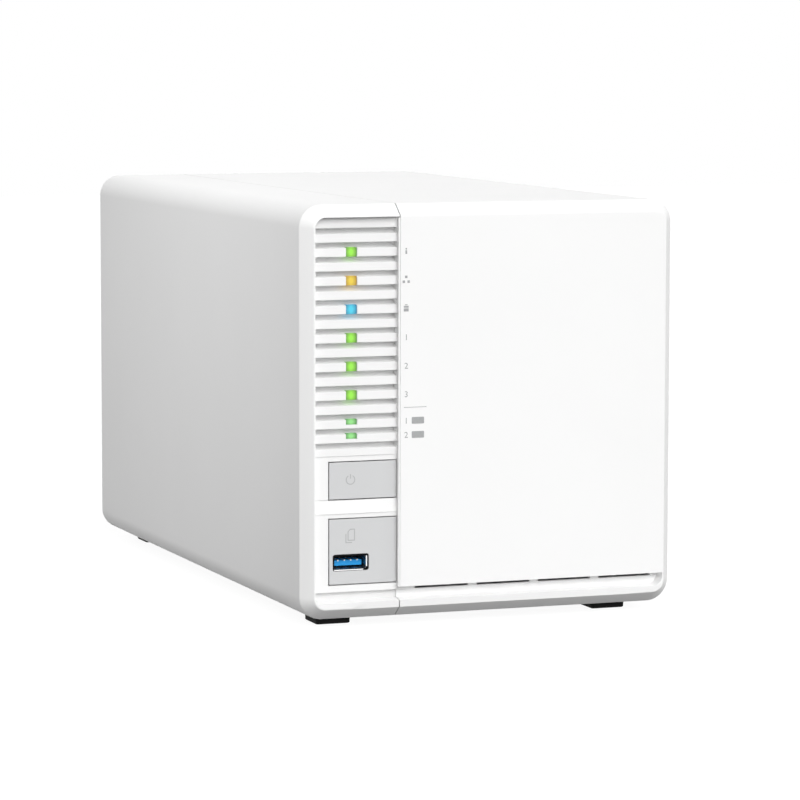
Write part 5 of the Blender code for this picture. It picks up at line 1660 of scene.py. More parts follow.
@dataclass
class Ports:
    """The connectors on the main board whose mouths come through the back.

    Attributes:
        skin: Thickness of the steel shells.
        wall: Wall between two mouths in one shell.
        set_in: How far a dark liner lies behind its shell's mouth.
        fit: Gap between pieces that fit into each other.
        inlet_bore, inlet_floor, inlet_pin, inlet_sleeve: Radius of the inlet's bore, thickness of its floor,
            radius of its pin and thickness of its sleeve.
        network_mouth, network_depth, network_keys: The network socket's mouth, and the steps beside it.
        network_wires, wire_pitch: Number and spacing of its wires.
        wire, wire_root, wire_path: Half a wire's width and height, and its places from the mouth's edges.
        window: Outer and inner edge, depth, half the height and place of the small windows.
        inlet_flare, pin_tip: Width and depth of the inlet's flare, and shares of the pin's radius at its tip.
        skin_radii, mouth_radius: Corner radii of a shell, and of a flat socket's mouth.
        tongue, tongue_set, contact_count: The flat sockets' tongues, their place and their contacts.
        contact_span, contact_rise, contact_half: Ends, depth and height, and half the width of those.
        video_pad: Half the thickness and width, and the ends, of the video socket's contacts.
        reset_foot, reset_head: Shares of the reset pin's radius, and heights, at its two ends.
        video_slope, video_tongue, video_contacts: The video socket's corners, its tongue and its contacts.
    """

    skin: float = 0.0004
    wall: float = 0.0009
    set_in: float = 0.0003
    fit: float = 0.00005
    inlet_bore: float = 0.0032
    inlet_floor: float = 0.002
    inlet_pin: float = 0.001
    inlet_sleeve: float = 0.0003
    network_mouth: Point = (0.0086, 0.0118)
    network_depth: float = 0.013
    network_keys: tuple[Point, ...] = ((0.0013, 0.0031), (0.0024, 0.0016))
    network_wires: int = 8
    wire_pitch: float = 0.00102
    tongue: Point = (0.0019, 0.0108)
    tongue_set: float = 0.0025
    contact_count: int = 4
    video_slope: float = 0.0016
    video_tongue: Point = (0.0015, 0.0118)
    video_contacts: int = 10
    inlet_flare: Point = (0.0007, 0.0006)
    pin_tip: tuple[Point, ...] = ((1, 0.7), (0.8, 0.3), (0.4, 0))
    skin_radii: Point = (0.0006, 0.0003)
    mouth_radius: float = 0.0004
    wire: Point = (0.00015, 0.0002)
    wire_root: float = 0.0026
    wire_path: tuple[Point, ...] = ((0.0028, 0.009), (0.0006, 0.003))
    window: tuple[float, ...] = (0.0018, 0.0005, 0.002, 0.0011, 0.0012)
    contact_span: Point = (0.0065, 0.0006)
    contact_rise: Point = (0.0002, 0.00012)
    contact_half: float = 0.0005
    video_pad: tuple[float, ...] = (0.0001, 0.0002, 0.006, 0.0005)
    reset_foot: tuple[Point, ...] = ((0.9, 0), (1, 0.0002))
    reset_head: tuple[Point, ...] = ((1, 0.0003), (0.85, 0.0001), (0.5, 0))

    def build(self) -> None:
        """Make every connector."""
        self.build_inlet()
        self.build_network()
        self.build_twin()
        self.build_video()
        self.build_reset()

    def build_inlet(self) -> None:
        """Make the round power inlet with its sleeve and pin."""
        low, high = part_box("power_inlet")
        spot = (low + high) / 2
        floor, bore = low.y + self.inlet_floor, self.inlet_bore
        flare, deep = self.inlet_flare
        hole = [(bore, floor), (bore, high.y - deep), (bore + flare, high.y), (bore + flare, high.y + REACH)]
        body = carved(block(low, high, 0.0006, Axis.Y), (Work.CUT, turned(hole, Axis.Y, spot.x, spot.z)))
        piece("inlet_body", body, Finishes.BLACK, stands_for=["power_inlet"], soften=SMALL_EDGE)
        rings = [disc(spot.x, spot.z, bore - self.fit), disc(spot.x, spot.z, bore - self.inlet_sleeve)]
        sleeve = prism(rings, Axis.Y, floor - OVERLAP, high.y - 2 * self.inlet_floor)
        piece("inlet_sleeve", sleeve, Finishes.NICKEL)
        tip, pin = high.y - self.inlet_floor, self.inlet_pin
        profile = [(pin, floor - OVERLAP)]
        profile += [(pin * wide, tip - deep * pin) for wide, deep in self.pin_tip]
        piece("inlet_pin", turned(profile, Axis.Y, spot.x, spot.z, 20), Finishes.NICKEL)

    def skin_loops(self, node: str) -> list[Loop]:
        """Return the outer and inner outline of a steel shell round a node's box.

        Args:
            node: The connector's node.

        Returns:
            The two outlines.
        """
        low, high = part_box(node)
        skin = self.skin
        around, within = self.skin_radii
        outer = oblong(low.x, low.z, high.x, high.z, around)
        return [outer, oblong(low.x + skin, low.z + skin, high.x - skin, high.z - skin, within)]

    def build_network(self) -> None:
        """Make the network socket: shell, keyed dark liner, wires and two small windows."""
        low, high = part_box("network_port")
        spot = (low + high) / 2
        shell = prism(self.skin_loops("network_port"), Axis.Y, low.y, high.y)
        piece("network_shell", shell, Finishes.NICKEL, stands_for=["network_port"], soften=FINE_EDGE)
        inset = self.skin + self.fit
        face = high.y - self.set_in
        half_x, half_z = (size / 2 for size in self.network_mouth)
        left = spot.x - half_x
        mouth = [
            (spot.x + half_x, spot.z - half_z), (spot.x + half_x, spot.z + half_z), (left, spot.z + half_z)
        ]
        steps = []
        edge = left
        for deep, half in self.network_keys:
            steps += [(edge, half), (left - deep, half)]
            edge = left - deep
        mouth += [(u, spot.z + v) for u, v in steps] + [(u, spot.z - v) for u, v in steps[::-1]]
        mouth.append((left, spot.z - half_z))
        core = block((low.x + inset, low.y + inset, low.z + inset), (high.x - inset, face, high.z - inset))
        liner = carved(core, (Work.CUT, prism([mouth], Axis.Y, face - self.network_depth, high.y + REACH)))
        piece("network_liner", liner, Finishes.BLACK, soften=FINE_EDGE)
        wires = []
        path = [(self.wire_root, face - self.network_depth - OVERLAP)]
        path += [(x, face - deep) for x, deep in self.wire_path]
        wide, tall = self.wire
        for i in range(self.network_wires):
            z = spot.z + (i - (self.network_wires - 1) / 2) * self.wire_pitch
            rings = []
            for x, y in path:
                middle = spot.x + half_x - x
                rings.append([(middle + u, y, z + v) for u, v in oblong(-wide, -tall, wide, tall)])
            wires.append(loft(rings))
        piece("network_wires", merged(wires), Finishes.GOLD)
        lights = []
        outer, inner, deep, half, place = self.window
        for side in (-1, 1):
            z = spot.z + side * (half_z - place)
            near = (left - outer, face - deep, z - half)
            lights.append(block(near, (left - inner, high.y - self.fit, z + half), SMALL_EDGE, Axis.Y))
        piece("network_windows", merged(lights), Finishes.CLEAR)

    def build_twin(self) -> None:
        """Make the pair of flat sockets in one shell."""
        low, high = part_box("usb_ports")
        wall = self.wall
        mouth = (high.x - low.x - 3 * wall) / 2
        lefts = (high.x - wall - mouth, high.x - 2 * wall - 2 * mouth)
        openings = [
            oblong(left, low.z + wall, left + mouth, high.z - wall, self.mouth_radius) for left in lefts
        ]
        shell = prism([self.skin_loops("usb_ports")[0], *openings], Axis.Y, low.y, high.y)
        piece("twin_shell", shell, Finishes.NICKEL, stands_for=["usb_ports"], soften=FINE_EDGE)
        floors = [prism([loop], Axis.Y, low.y + self.skin, low.y + 2 * wall) for loop in openings]
        piece("twin_floors", merged(floors), Finishes.BLACK)
        spot = (low.z + high.z) / 2
        for i, left in enumerate(lefts):
            self.build_tongue(f"twin_tongue_{i + 1}", left + mouth / 2, spot, low.y, high.y - self.tongue_set)

    def build_tongue(self, name: str, x: float, z: float, near: float, far: float) -> None:
        """Make one tongue with its contacts.

        Args:
            name: Name of the tongue.
            x, z: Its middle seen from behind.
            near, far: Where it starts and ends in Y.
        """
        thick, wide = self.tongue
        tongue = block(
            (x - thick / 2, near + self.wall, z - wide / 2), (x + thick / 2, far, z + wide / 2), MOULD_EDGE,
            Axis.Y,
        )
        piece(name, tongue, Finishes.BLUE, soften=SMALL_EDGE)
        pads = []
        (start, end), (root, rise), half = self.contact_span, self.contact_rise, self.contact_half
        for i in range(self.contact_count):
            middle = z + ((i + 0.5) / self.contact_count - 0.5) * wide
            low = (x + thick / 2 - root, far - start, middle - half)
            pads.append(block(low, (x + thick / 2 + rise, far - end, middle + half)))
        piece(f"{name}_contacts", merged(pads), Finishes.GOLD)

    def build_video(self) -> None:
        """Make the video socket with its sloping corners and its tongue."""
        low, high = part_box("video_port")
        spot = (low + high) / 2
        slope = self.video_slope
        loops = []
        for inset in (0, self.skin):
            left, right, down, up = low.x + inset, high.x - inset, low.z + inset, high.z - inset
            loops.append([
                (right, down), (right, up), (left + slope, up), (left, up - slope), (left, down + slope),
                (left + slope, down),
            ])
        shell = prism(loops, Axis.Y, low.y, high.y)
        piece("video_shell", shell, Finishes.NICKEL, stands_for=["video_port"], soften=FINE_EDGE)
        floor = prism([loops[1]], Axis.Y, low.y + self.skin, low.y + 2 * self.wall)
        piece("video_floor", floor, Finishes.BLACK)
        thick, wide = self.video_tongue
        far = high.y - self.tongue_set / 2
        near = (spot.x - thick / 2, low.y + self.wall, spot.z - wide / 2)
        tongue = block(near, (spot.x + thick / 2, far, spot.z + wide / 2), MOULD_EDGE, Axis.Y)
        piece("video_tongue", tongue, Finishes.BLACK, soften=FINE_EDGE)
        pads = []
        thin, half, start, end = self.video_pad
        for i in range(self.video_contacts):
            z = spot.z + ((i + 0.5) / self.video_contacts - 0.5) * wide
            for side in (-1, 1):
                x = spot.x + side * thick / 2
                pads.append(block((x - thin, far - start, z - half), (x + thin, far - end, z + half)))
        piece("video_contacts", merged(pads), Finishes.GOLD)

    def build_reset(self) -> None:
        """Make the reset switch and the pin that presses it."""
        low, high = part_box("reset_switch")
        pin_low, pin_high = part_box("reset_button")
        spot = (pin_low + pin_high) / 2
        radius = (pin_high.x - pin_low.x) / 2
        bore = prism(
            [disc(spot.x, spot.z, radius + 3 * self.fit)], Axis.Y, pin_low.y - self.wall, high.y + REACH
        )
        body = carved(block(low, high, 0.0004, Axis.Y), (Work.CUT, bore))
        piece("reset_switch_body", body, Finishes.BLACK, stands_for=["reset_switch"], soften=SMALL_EDGE)
        profile = [(radius * wide, pin_low.y + up) for wide, up in self.reset_foot]
        profile += [(radius * wide, pin_high.y - down) for wide, down in self.reset_head]
        pin = turned(profile, Axis.Y, spot.x, spot.z, 24)
        piece("reset_pin", pin, Finishes.GREY, "reset_key", stands_for=["reset_button"])


@dataclass
class Fan:
    """The fan behind the back: open frame, hub struts and rotor.

    Attributes:
        wall: Wall between the frame's side and its bore.
        flange, duct: Thickness of the end flanges and of the round duct between them.
        corner: Corner radius of the flanges.
        post, hole: Radius of the screw posts and of the holes in them.
        hub, base: Radius of the hub and thickness of the struts that carry it.
        strut, struts: Width and number of the struts.
        blades, sweep, half_depth: Number of blades, and half the angle and the depth that one covers.
        camber, blade: Bow and thickness of a blade.
        tip_gap: Room between blade tips and bore.
        hub_ease, label_inset: Rounding of the rotor's hub, and the label's place inside the hub base.
        round_steps, blade_rings, blade_points: Steps round the bore, and rings and points of a blade.
    """

    wall: float = 0.0015
    flange: float = 0.0035
    duct: float = 0.0012
    corner: float = 0.004
    post: float = 0.0036
    hole: float = SCREW_BORE
    hub: float = 0.0195
    base: float = 0.004
    strut: float = 0.004
    struts: int = 4
    blades: int = 7
    sweep: float = 0.36
    half_depth: float = 0.0055
    camber: float = 0.0016
    blade: float = 0.0016
    tip_gap: float = 0.0013
    hub_ease: float = 0.0012
    label_inset: float = 0.002
    round_steps: int = 96
    blade_rings: int = 6
    blade_points: int = 9

    def __post_init__(self) -> None:
        """Take the frame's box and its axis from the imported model."""
        self.low, self.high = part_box("fan_frame")
        self.middle = (self.low + self.high) / 2
        self.bore = (self.high.x - self.low.x) / 2 - self.wall

    def build(self) -> None:
        """Make the frame and the rotor."""
        self.build_frame()
        self.build_rotor()

    def spider(self) -> Loop:
        """Return the outline of the hub base with its struts.

        Returns:
            The outline.
        """
        turn = 360 / self.struts
        reach = self.bore + OVERLAP
        near = math.degrees(math.asin(self.strut / 2 / self.hub))
        far = math.degrees(math.asin(self.strut / 2 / reach))
        points = []
        for i in range(self.struts):
            angle = turn * (i + 0.5)
            points += arc(self.middle.x, self.middle.z, reach, angle - far, 2 * far, 1)
            points += arc(self.middle.x, self.middle.z, self.hub, angle + near, turn - 2 * near, 14)
        return points

    def build_frame(self) -> None:
        """Make the frame: two flanges, the duct, four screw posts and the struts."""
        low, high, x, z = self.low, self.high, self.middle.x, self.middle.z
        outline = oblong(low.x, low.z, high.x, high.z, self.corner, 10)
        loops = [outline, disc(x, z, self.bore + self.duct / 2, self.round_steps)]
        flanges = [prism(loops, Axis.Y, y, y + self.flange) for y in (low.y, high.y - self.flange)]
        rings = [disc(x, z, self.bore + self.duct, self.round_steps), disc(x, z, self.bore, self.round_steps)]
        duct = prism(rings, Axis.Y, low.y + OVERLAP / 2, high.y - OVERLAP / 2)
        spots = [centre(f"fan_screw_{i}") for i in range(1, 5)]
        inner = (low.y + self.flange / 2, high.y - self.flange / 2)
        posts = [prism([disc(spot.x, spot.z, self.post)], Axis.Y, *inner) for spot in spots]
        holes = [
            prism([disc(spot.x, spot.z, self.hole, 20)], Axis.Y, low.y - REACH, high.y + REACH)
            for spot in spots
        ]
        frame_solid = carved(
            flanges[0],
            (Work.JOIN, flanges[1]),
            (Work.JOIN, duct),
            (Work.JOIN, merged(posts)),
            (Work.JOIN, prism([self.spider()], Axis.Y, high.y - self.base, high.y - OVERLAP)),
            (Work.CUT, merged(holes)),
        )
        piece("fan_housing", frame_solid, Finishes.BLACK, stands_for=["fan_frame"], soften=MOULD_EDGE)
        radius = self.hub - self.label_inset
        label = turned([(radius, high.y - 2 * OVERLAP), (radius, high.y - OVERLAP / 2)], Axis.Y, x, z, 64)
        piece("fan_label", label, Finishes.PAPER, soften=FINE_EDGE)

    def build_rotor(self) -> None:
        """Make the hub and its blades."""
        low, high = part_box("fan_rotor")
        ease = self.hub_ease
        profile = [(self.hub * 0.6, low.y), (self.hub - ease, low.y), (self.hub - ease / 4, low.y + ease / 4)]
        profile += [(self.hub, low.y + ease), (self.hub, high.y)]
        hub = turned(profile, Axis.Y, self.middle.x, self.middle.z, self.round_steps)
        depth = (low.y + high.y) / 2
        blades = [self.blade_solid(2 * math.pi * i / self.blades, depth) for i in range(self.blades)]
        rotor = carved(hub, (Work.JOIN, merged(blades)))
        piece("fan_wheel", rotor, Finishes.BLACK, "rotor", stands_for=["fan_rotor"], soften=0.00025)

    def blade_solid(self, angle: float, depth: float) -> Solid:
        """Return one curved blade.

        Args:
            angle: Where its root starts round the hub, in radians.
            depth: Middle of its depth in Y.

        Returns:
            The blade, its root inside the hub.
        """
        rings = []
        inner, outer = self.hub - 2 * OVERLAP, self.bore - self.tip_gap
        for ring in range(self.blade_rings):
            share = ring / (self.blade_rings - 1)
            radius = inner + (outer - inner) * share
            sweep = self.sweep * (1 - share / 4)
            near, far = [], []
            for i in range(self.blade_points):
                side = 2 * i / (self.blade_points - 1) - 1
                bend = angle + side * sweep + share * self.sweep / 2
                spot = (self.middle.x + radius * math.cos(bend), self.middle.z + radius * math.sin(bend))
                y = depth + side * self.half_depth + (1 - side**2) * self.camber
                thick = self.blade * (1 - 0.6 * side**2) / 2
                near.append((spot[0], y - thick, spot[1]))
                far.append((spot[0], y + thick, spot[1]))
            rings.append(near + far[::-1])
        return loft(rings)


@dataclass
class Cage:
    """The steel drive cage, the plates between its bays and the board behind the drives.

    Attributes:
        sheet, clearance: Thickness of the steel, and its gap to the trays.
        leg_inset: Distance of the right leg from the floor's edge.
        slot: Length and height of an air slot.
        slot_columns, slot_rows: Number of air slots along and up a side.
        slot_round: Corner radius of an air slot as a share of its height.
        hole, hole_inset: Radius of the board's screw holes, and their place from its edges.
        vent, vent_rise, vent_radius: Size, height above the lower edge and corners of the board's air holes.
        can_size, can_spot: Radius and height of its capacitors, and their place from a bay's middle.
        chip, chip_edges: Height of its chips, and their edges from a bay's middle.
        socket_radius, socket_spans, socket_slot: A drive socket's corners, its two slots and their size.
        contact_pitch, contact: Spacing and edges of the contacts in them.
        bays: Number of drive bays.
    """

    sheet: float = 0.001
    clearance: float = 0.0003
    leg_inset: float = 0.006
    slot: Point = (0.022, 0.005)
    slot_columns: int = 5
    slot_rows: int = 8
    slot_round: float = 0.49
    hole: float = 0.0022
    hole_inset: float = 0.006
    vent: Point = (0.018, 0.034)
    vent_rise: float = 0.060
    vent_radius: float = 0.002
    can_size: Point = (0.0032, 0.008)
    can_spot: Point = (0.008, 0.016)
    chip: float = 0.0012
    chip_edges: tuple[float, ...] = (-0.008, 0.030, -0.001, 0.037)
    socket_radius: float = 0.0006
    socket_spans: tuple[Point, ...] = ((0.06, 0.36), (0.42, 0.94))
    socket_slot: Point = (0.0013, 0.005)
    contact_pitch: float = 0.00127
    contact: tuple[float, ...] = (0.0014, 0.0010, 0.0008, 0.0052, 0.0003)
    bays: int = 3

    def build(self) -> None:
        """Make the cage, its plates, the board behind it and the sockets on that."""
        self.build_cage()
        self.build_dividers()
        self.build_backplane()
        for bay in range(1, self.bays + 1):
            self.build_socket(bay)

    def slots(self, start: float, end: float, low: float, high: float) -> list[Loop]:
        """Return rows of air slots on a side seen from the right.

        Args:
            start, end: The side's ends in Y.
            low, high: Its lower and upper edge.

        Returns:
            The slots' outlines.
        """
        length, height = self.slot
        loops = []
        for column in range(self.slot_columns):
            y = start + (end - start) * (column + 0.5) / self.slot_columns
            for row in range(self.slot_rows):
                z = low + (high - low) * (row + 0.5) / self.slot_rows
                corners = (y - length / 2, z - height / 2, y + length / 2, z + height / 2)
                loops.append(oblong(*corners, height * self.slot_round, 4))
        return loops

    def build_cage(self) -> None:
        """Make the folded cage on its two legs."""
        low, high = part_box("cage")
        sheet = self.sheet
        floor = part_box("tray_1")[0].z - self.clearance - sheet
        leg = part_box("left_shell")[1].x - self.leg_inset
        outer = [(low.x, low.z), (low.x + sheet, low.z), (low.x + sheet, floor), (leg, floor), (leg, low.z)]
        outer += [
            (leg + sheet, low.z), (leg + sheet, floor), (high.x, floor), (high.x, high.z), (low.x, high.z)
        ]
        inner = oblong(low.x + sheet, floor + sheet, high.x - sheet, high.z - sheet)
        side_slots = self.slots(low.y, high.y, floor, high.z)
        across = [prism([loop], Axis.X, low.x - REACH, high.x + REACH) for loop in side_slots]
        length, height = self.slot
        upright = []
        for column in range(self.slot_columns):
            y = low.y + (high.y - low.y) * (column + 0.5) / self.slot_columns
            for bay in range(1, self.bays + 1):
                x = centre(f"tray_{bay}").x
                corners = (x - height / 2, y - length / 2, x + height / 2, y + length / 2)
                upright.append(
                    prism(
                        [oblong(*corners, height * self.slot_round, 4)], Axis.Z, floor - REACH, high.z + REACH
                    )
                )
        solid = carved(
            prism([outer, inner], Axis.Y, low.y, high.y), (Work.CUT, merged(across)),
            (Work.CUT, merged(upright)),
        )
        piece("drive_cage", solid, Finishes.STEEL, stands_for=["cage"], soften=0.00015)

    def build_dividers(self) -> None:
        """Make the slotted plates between the bays."""
        for i in (1, 2):
            low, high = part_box(f"divider_{i}")
            outline = oblong(low.y, low.z, high.y, high.z)
            loops = [outline, *self.slots(low.y, high.y, low.z, high.z)]
            plate = prism(loops, Axis.X, low.x, high.x)
            piece(f"bay_divider_{i}", plate, Finishes.STEEL, stands_for=[f"divider_{i}"], soften=0.00012)

    def build_backplane(self) -> None:
        """Make the board behind the drives with its air holes and parts."""
        low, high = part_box("backplane")
        width, height = self.vent
        loops = [oblong(low.x, low.z, high.x, high.z)]
        chips, cans = [], []
        for bay in range(1, self.bays + 1):
            x = centre(f"tray_{bay}").x
            start = low.z + self.vent_rise
            loops.append(oblong(x - width / 2, start, x + width / 2, start + height, self.vent_radius))
            for z in (low.z + self.hole_inset, high.z - self.hole_inset):
                loops.append(disc(x, z, self.hole, 20))
            can = Boards.can_profile(*self.can_size, high.y)
            cans.append(turned(can, Axis.Y, x + self.can_spot[0], low.z + self.can_spot[1], 24))
            left, bottom, right, top = self.chip_edges
            near = (x + left, high.y - OVERLAP, low.z + bottom)
            chips.append(block(near, (x + right, high.y + self.chip, low.z + top), MOULD_EDGE, Axis.Y))
        board = prism(loops, Axis.Y, low.y, high.y)
        piece("drive_board_back", board, Finishes.BOARD, stands_for=["backplane"], soften=FINE_EDGE)
        piece("drive_board_cans", merged(cans), Finishes.ALUMINIUM)
        piece("drive_board_chips", merged(chips), Finishes.CHIP, soften=SMALL_EDGE)

    def build_socket(self, bay: int) -> None:
        """Make one drive socket with its two keyed slots and contacts.

        Args:
            bay: Number of its bay.
        """
        node = f"drive_socket_{bay}"
        low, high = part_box(node)
        x = (low.x + high.x) / 2
        length = high.z - low.z
        wide, deep = self.socket_slot
        left, right, front, back, half = self.contact
        slots, pads = [], []
        for start, end in self.socket_spans:
            near, far = low.z + length * start, low.z + length * end
            slots.append(block((x - wide, low.y - REACH, near), (x + wide, low.y + deep, far)))
            count = int((far - near) / self.contact_pitch) - 1
            for i in range(count):
                z = near + (far - near) * (i + 0.5) / count
                pads.append(block((x - left, low.y + front, z - half), (x - right, low.y + back, z + half)))
        body = carved(block(low, high, self.socket_radius, Axis.Y), (Work.CUT, merged(slots)))
        piece(f"drive_socket_body_{bay}", body, Finishes.BLACK, stands_for=[node], soften=SMALL_EDGE)
        piece(f"drive_socket_contacts_{bay}", merged(pads), Finishes.GOLD)


@dataclass
class Carrier:
    """One drive tray with its lever, pin and drive.

    Attributes:
        bay: Number of the bay, 1 to 3 from the left.
        rail, front: Thickness of the tray's rails and of its front bar.
        vent, vent_pitch, vent_rows: Size, spacing and number of the front's air slots.
        vent_side, vent_low: Their place beside the lever and above the tray's lower edge.
        tray_holes: Places of the rails' screw holes along the tray, as shares.
        ear, ear_height: Thickness and height of the two ears that hold the pin.
        hook, hook_half, hook_rise: Reach and height of the catch's points, half its width, and its place.
        play, pin_play: Room beside the lever and round the pin.
        lever_head: How far the lever ends below the tray's top.
        grip, grip_depth: Length of the finger grip and how far it stands out.
        lever_ease: Rounding of the lever's upper end.
        ribs, rib: Number of the grip's grooves, and half their height and their depth.
        field: Inset, lower and upper place, depth and corners of the sunk field in the lever.
        number, number_shift: Height of the bay's number, and half its width as a share of it.
        lid, board, chip: Thickness of the drive's lid, of the board opposite and of the chips on that.
        case_radius: Corner radius of the drive.
        case_holes, case_hole: Its screw holes' places as shares, and their radius, depth and place across.
        circuit_start, circuit_chips: Where the board opposite the lid starts, and its chips.
        motor, motor_place: Profile of the motor's hub, and its place along the drive.
        lid_edge, lid_radius, lid_set: The lid's inset and corners, and its place below the raised field.
        dome, dome_steps: Insets and radius of that field, and the inset and drop of each step of its edge.
        lid_screws: Places of the lid's screws from its ends, along it as a share, and from its sides.
        screw_sink, screw_head, screw_star: Radius and depth of their sinks, radius and depths of their heads,
            and the two radii of the star in them.
        label, label_set: Size of the blank label, and where the field for it starts and what it leaves free.
    """

    bay: int
    rail: float = 0.005
    front: float = 0.006
    vent: Point = (0.0052, 0.0026)
    vent_pitch: float = 0.0046
    vent_side: float = 0.0108
    vent_low: float = 0.017
    vent_rows: int = 18
    tray_holes: Place = (0.18, 0.5, 0.82)
    ear: float = 0.002
    ear_height: float = 0.007
    hook: tuple[Point, ...] = (
        (-OVERLAP, 0), (0.003, 0), (0.0035, 0.0006), (0.0015, 0.003), (-OVERLAP, 0.003)
    )
    hook_half: float = 0.004
    hook_rise: float = 0.0008
    play: float = 0.0003
    pin_play: float = 0.00015
    lever_head: float = 0.009
    grip: float = 0.009
    grip_depth: float = 0.002
    lever_ease: float = 0.0008
    ribs: int = 4
    rib: Point = (0.0004, 0.0005)
    field: tuple[float, ...] = (0.0025, 0.012, 0.030, 0.0008, 0.002)
    number: float = 0.0052
    number_shift: float = 0.3
    lid: float = 0.0016
    board: float = 0.001
    chip: float = 0.0009
    case_radius: float = 0.003
    case_holes: Place = (0.2, 0.5, 0.84)
    case_hole: Place = (0.0016, 0.004, 0.0066)
    circuit_start: float = 0.050
    circuit_chips: tuple[Place, ...] = (
        (0.018, 0.030, 0.014), (0.044, 0.062, 0.010), (0.012, 0.060, 0.008), (0.062, 0.078, 0.006),
    )
    motor: tuple[Point, ...] = ((0.013, 0.0006), (0.0115, 0.0002), (0.004, 0.0002))
    motor_place: float = 0.036
    lid_edge: float = 0.0014
    lid_radius: float = 0.004
    lid_set: float = 0.0007
    dome: tuple[float, ...] = (0.012, 0.008, 0.030, 0.018)
    dome_steps: tuple[Point, ...] = ((0, 0.0009), (0, 0.0006), (0.0012, 0.0001), (0.0022, 0))
    lid_screws: Place = (0.0065, 0.42, 0.0048)
    screw_sink: Point = (0.0026, 0.0013)
    screw_head: Place = (0.0021, 0.0014, 0.0005)
    screw_star: Point = (0.0011, 0.00075)
    label: Point = (0.086, 0.064)
    label_set: Point = (0.014, 0.046)

    def __post_init__(self) -> None:
        """Take the places of the tray, lever, pin and drive from the frame."""
        self.tray_low, self.tray_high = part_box(f"tray_{self.bay}")
        self.lever_low, self.lever_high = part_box(f"lever_{self.bay}")
        self.pin_low, self.pin_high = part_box(f"lever_pin_{self.bay}")
        self.drive_low, self.drive_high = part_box(f"drive_{self.bay}")
        self.x = centre(f"tray_{self.bay}").x
        self.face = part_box("cage")[0].y
        self.pin = (self.pin_low + self.pin_high) / 2
        self.pin_radius = (self.pin_high.z - self.pin_low.z) / 2
        self.body = f"carrier_{self.bay}"

    def build(self) -> None:
        """Make the tray, the lever, its pin and the drive."""
        self.build_tray()
        self.build_lever()
        self.build_case()
        self.build_lid()
        self.build_underside()

    def build_tray(self) -> None:
        """Make the tray: front bar with air slots, grooved rails and the ears."""
        low, high, face = self.tray_low, self.tray_high, self.face
        inside = face + self.front
        profile = [(face, low.z), (high.y, low.z), (high.y, low.z + self.rail), (inside, low.z + self.rail)]
        profile += [
            (inside, high.z - self.rail), (high.y, high.z - self.rail), (high.y, high.z), (face, high.z)
        ]
        width, height = self.vent
        vents = []
        for side in (-1, 1):
            x = self.x + side * self.vent_side
            for row in range(self.vent_rows):
                z = low.z + self.vent_low + row * self.vent_pitch
                loop = oblong(x - width / 2, z - height / 2, x + width / 2, z + height / 2, height * 0.45, 4)
                vents.append(prism([loop], Axis.Y, face - REACH, inside + REACH))
        grooves = []
        for side_x in (low.x, high.x):
            for z in (low.z + self.rail / 2, high.z - self.rail / 2):
                near = (side_x - self.ear / 2, inside, z - self.rail / 6)
                grooves.append(block(near, (side_x + self.ear / 2, high.y + REACH, z + self.rail / 6)))
        screw_holes = [
            prism(
                [disc(self.x, inside + (high.y - inside) * share, SCREW_BORE, 20)], Axis.Z, low.z - REACH,
                high.z + REACH,
            )
            for share in self.tray_holes
        ]
        ears = []
        half = (self.lever_high.x - self.lever_low.x) / 2 + self.play
        top, down = self.pin.z + self.ear_height / 2, self.pin.z - self.ear_height / 2
        outline = [(face + OVERLAP, down), (face + OVERLAP, top)]
        outline += arc(self.pin.y + 0.001, self.pin.z, self.ear_height / 2, 90, 180, 14)
        outline = [(max(y, low.y), z) for y, z in outline]
        hole = disc(self.pin.y, self.pin.z, self.pin_radius + self.pin_play, 24)
        for start in (self.x + half, self.x - half - self.ear):
            ears.append(prism([outline, hole], Axis.X, start, start + self.ear))
        hook_low = high.z - self.lever_head + self.hook_rise
        hook = [(face - out, hook_low + up) for out, up in self.hook]
        catch = prism([hook], Axis.X, self.x - self.hook_half, self.x + self.hook_half)
        tray = carved(
            prism([profile], Axis.X, low.x, high.x),
            (Work.CUT, merged(vents)),
            (Work.CUT, merged(grooves)),
            (Work.CUT, merged(screw_holes)),
            (Work.JOIN, merged(ears)),
            (Work.JOIN, catch),
        )
        piece(
            f"drive_tray_{self.bay}", tray, Finishes.TRAY, self.body, stands_for=[f"tray_{self.bay}"],
            soften=MOULD_EDGE,
        )

    def build_lever(self) -> None:
        """Make the lever with its ribbed grip and bay number, and the pin it turns on."""
        low, high, pin = self.lever_low, self.lever_high, self.pin
        half = high.y - pin.y
        front = pin.y - half
        top = high.z
        ease = self.lever_ease
        path = [(high.y, top - ease), (high.y, top), (low.y, top), (low.y, top - self.grip)]
        path += [(front, top - self.grip - self.grip_depth), (front, pin.z + half)]
        outline = eased(path, ease, 4) + arc(pin.y, pin.z, half, 180, 180, 18)
        hole = disc(pin.y, pin.z, self.pin_radius + self.pin_play, 24)
        ribs = []
        thin, deep = self.rib
        for i in range(self.ribs):
            z = top - self.grip * (i + 1) / (self.ribs + 1)
            near = (low.x - REACH, low.y - REACH, z - thin)
            ribs.append(block(near, (high.x + REACH, low.y + deep, z + thin)))
        inset, bottom, head, deep, radius = self.field
        near = (low.x + inset, front - REACH, pin.z + bottom)
        window = block(near, (high.x - inset, front + deep, top - head), radius, Axis.Y)
        lever = carved(
            prism([outline, hole], Axis.X, low.x, high.x), (Work.CUT, merged(ribs)), (Work.CUT, window)
        )
        handle = f"handle_{self.bay}"
        piece(
            f"tray_lever_{self.bay}", lever, Finishes.LEVER, handle, stands_for=[f"lever_{self.bay}"],
            soften=0.0004,
        )
        spot = (self.x - self.number * self.number_shift, front, top - 0.024)
        piece(
            f"lever_number_{self.bay}", lettered(str(self.bay), self.number, spot, 0.0001), Finishes.PRINT,
            handle,
        )
        radius = self.pin_radius
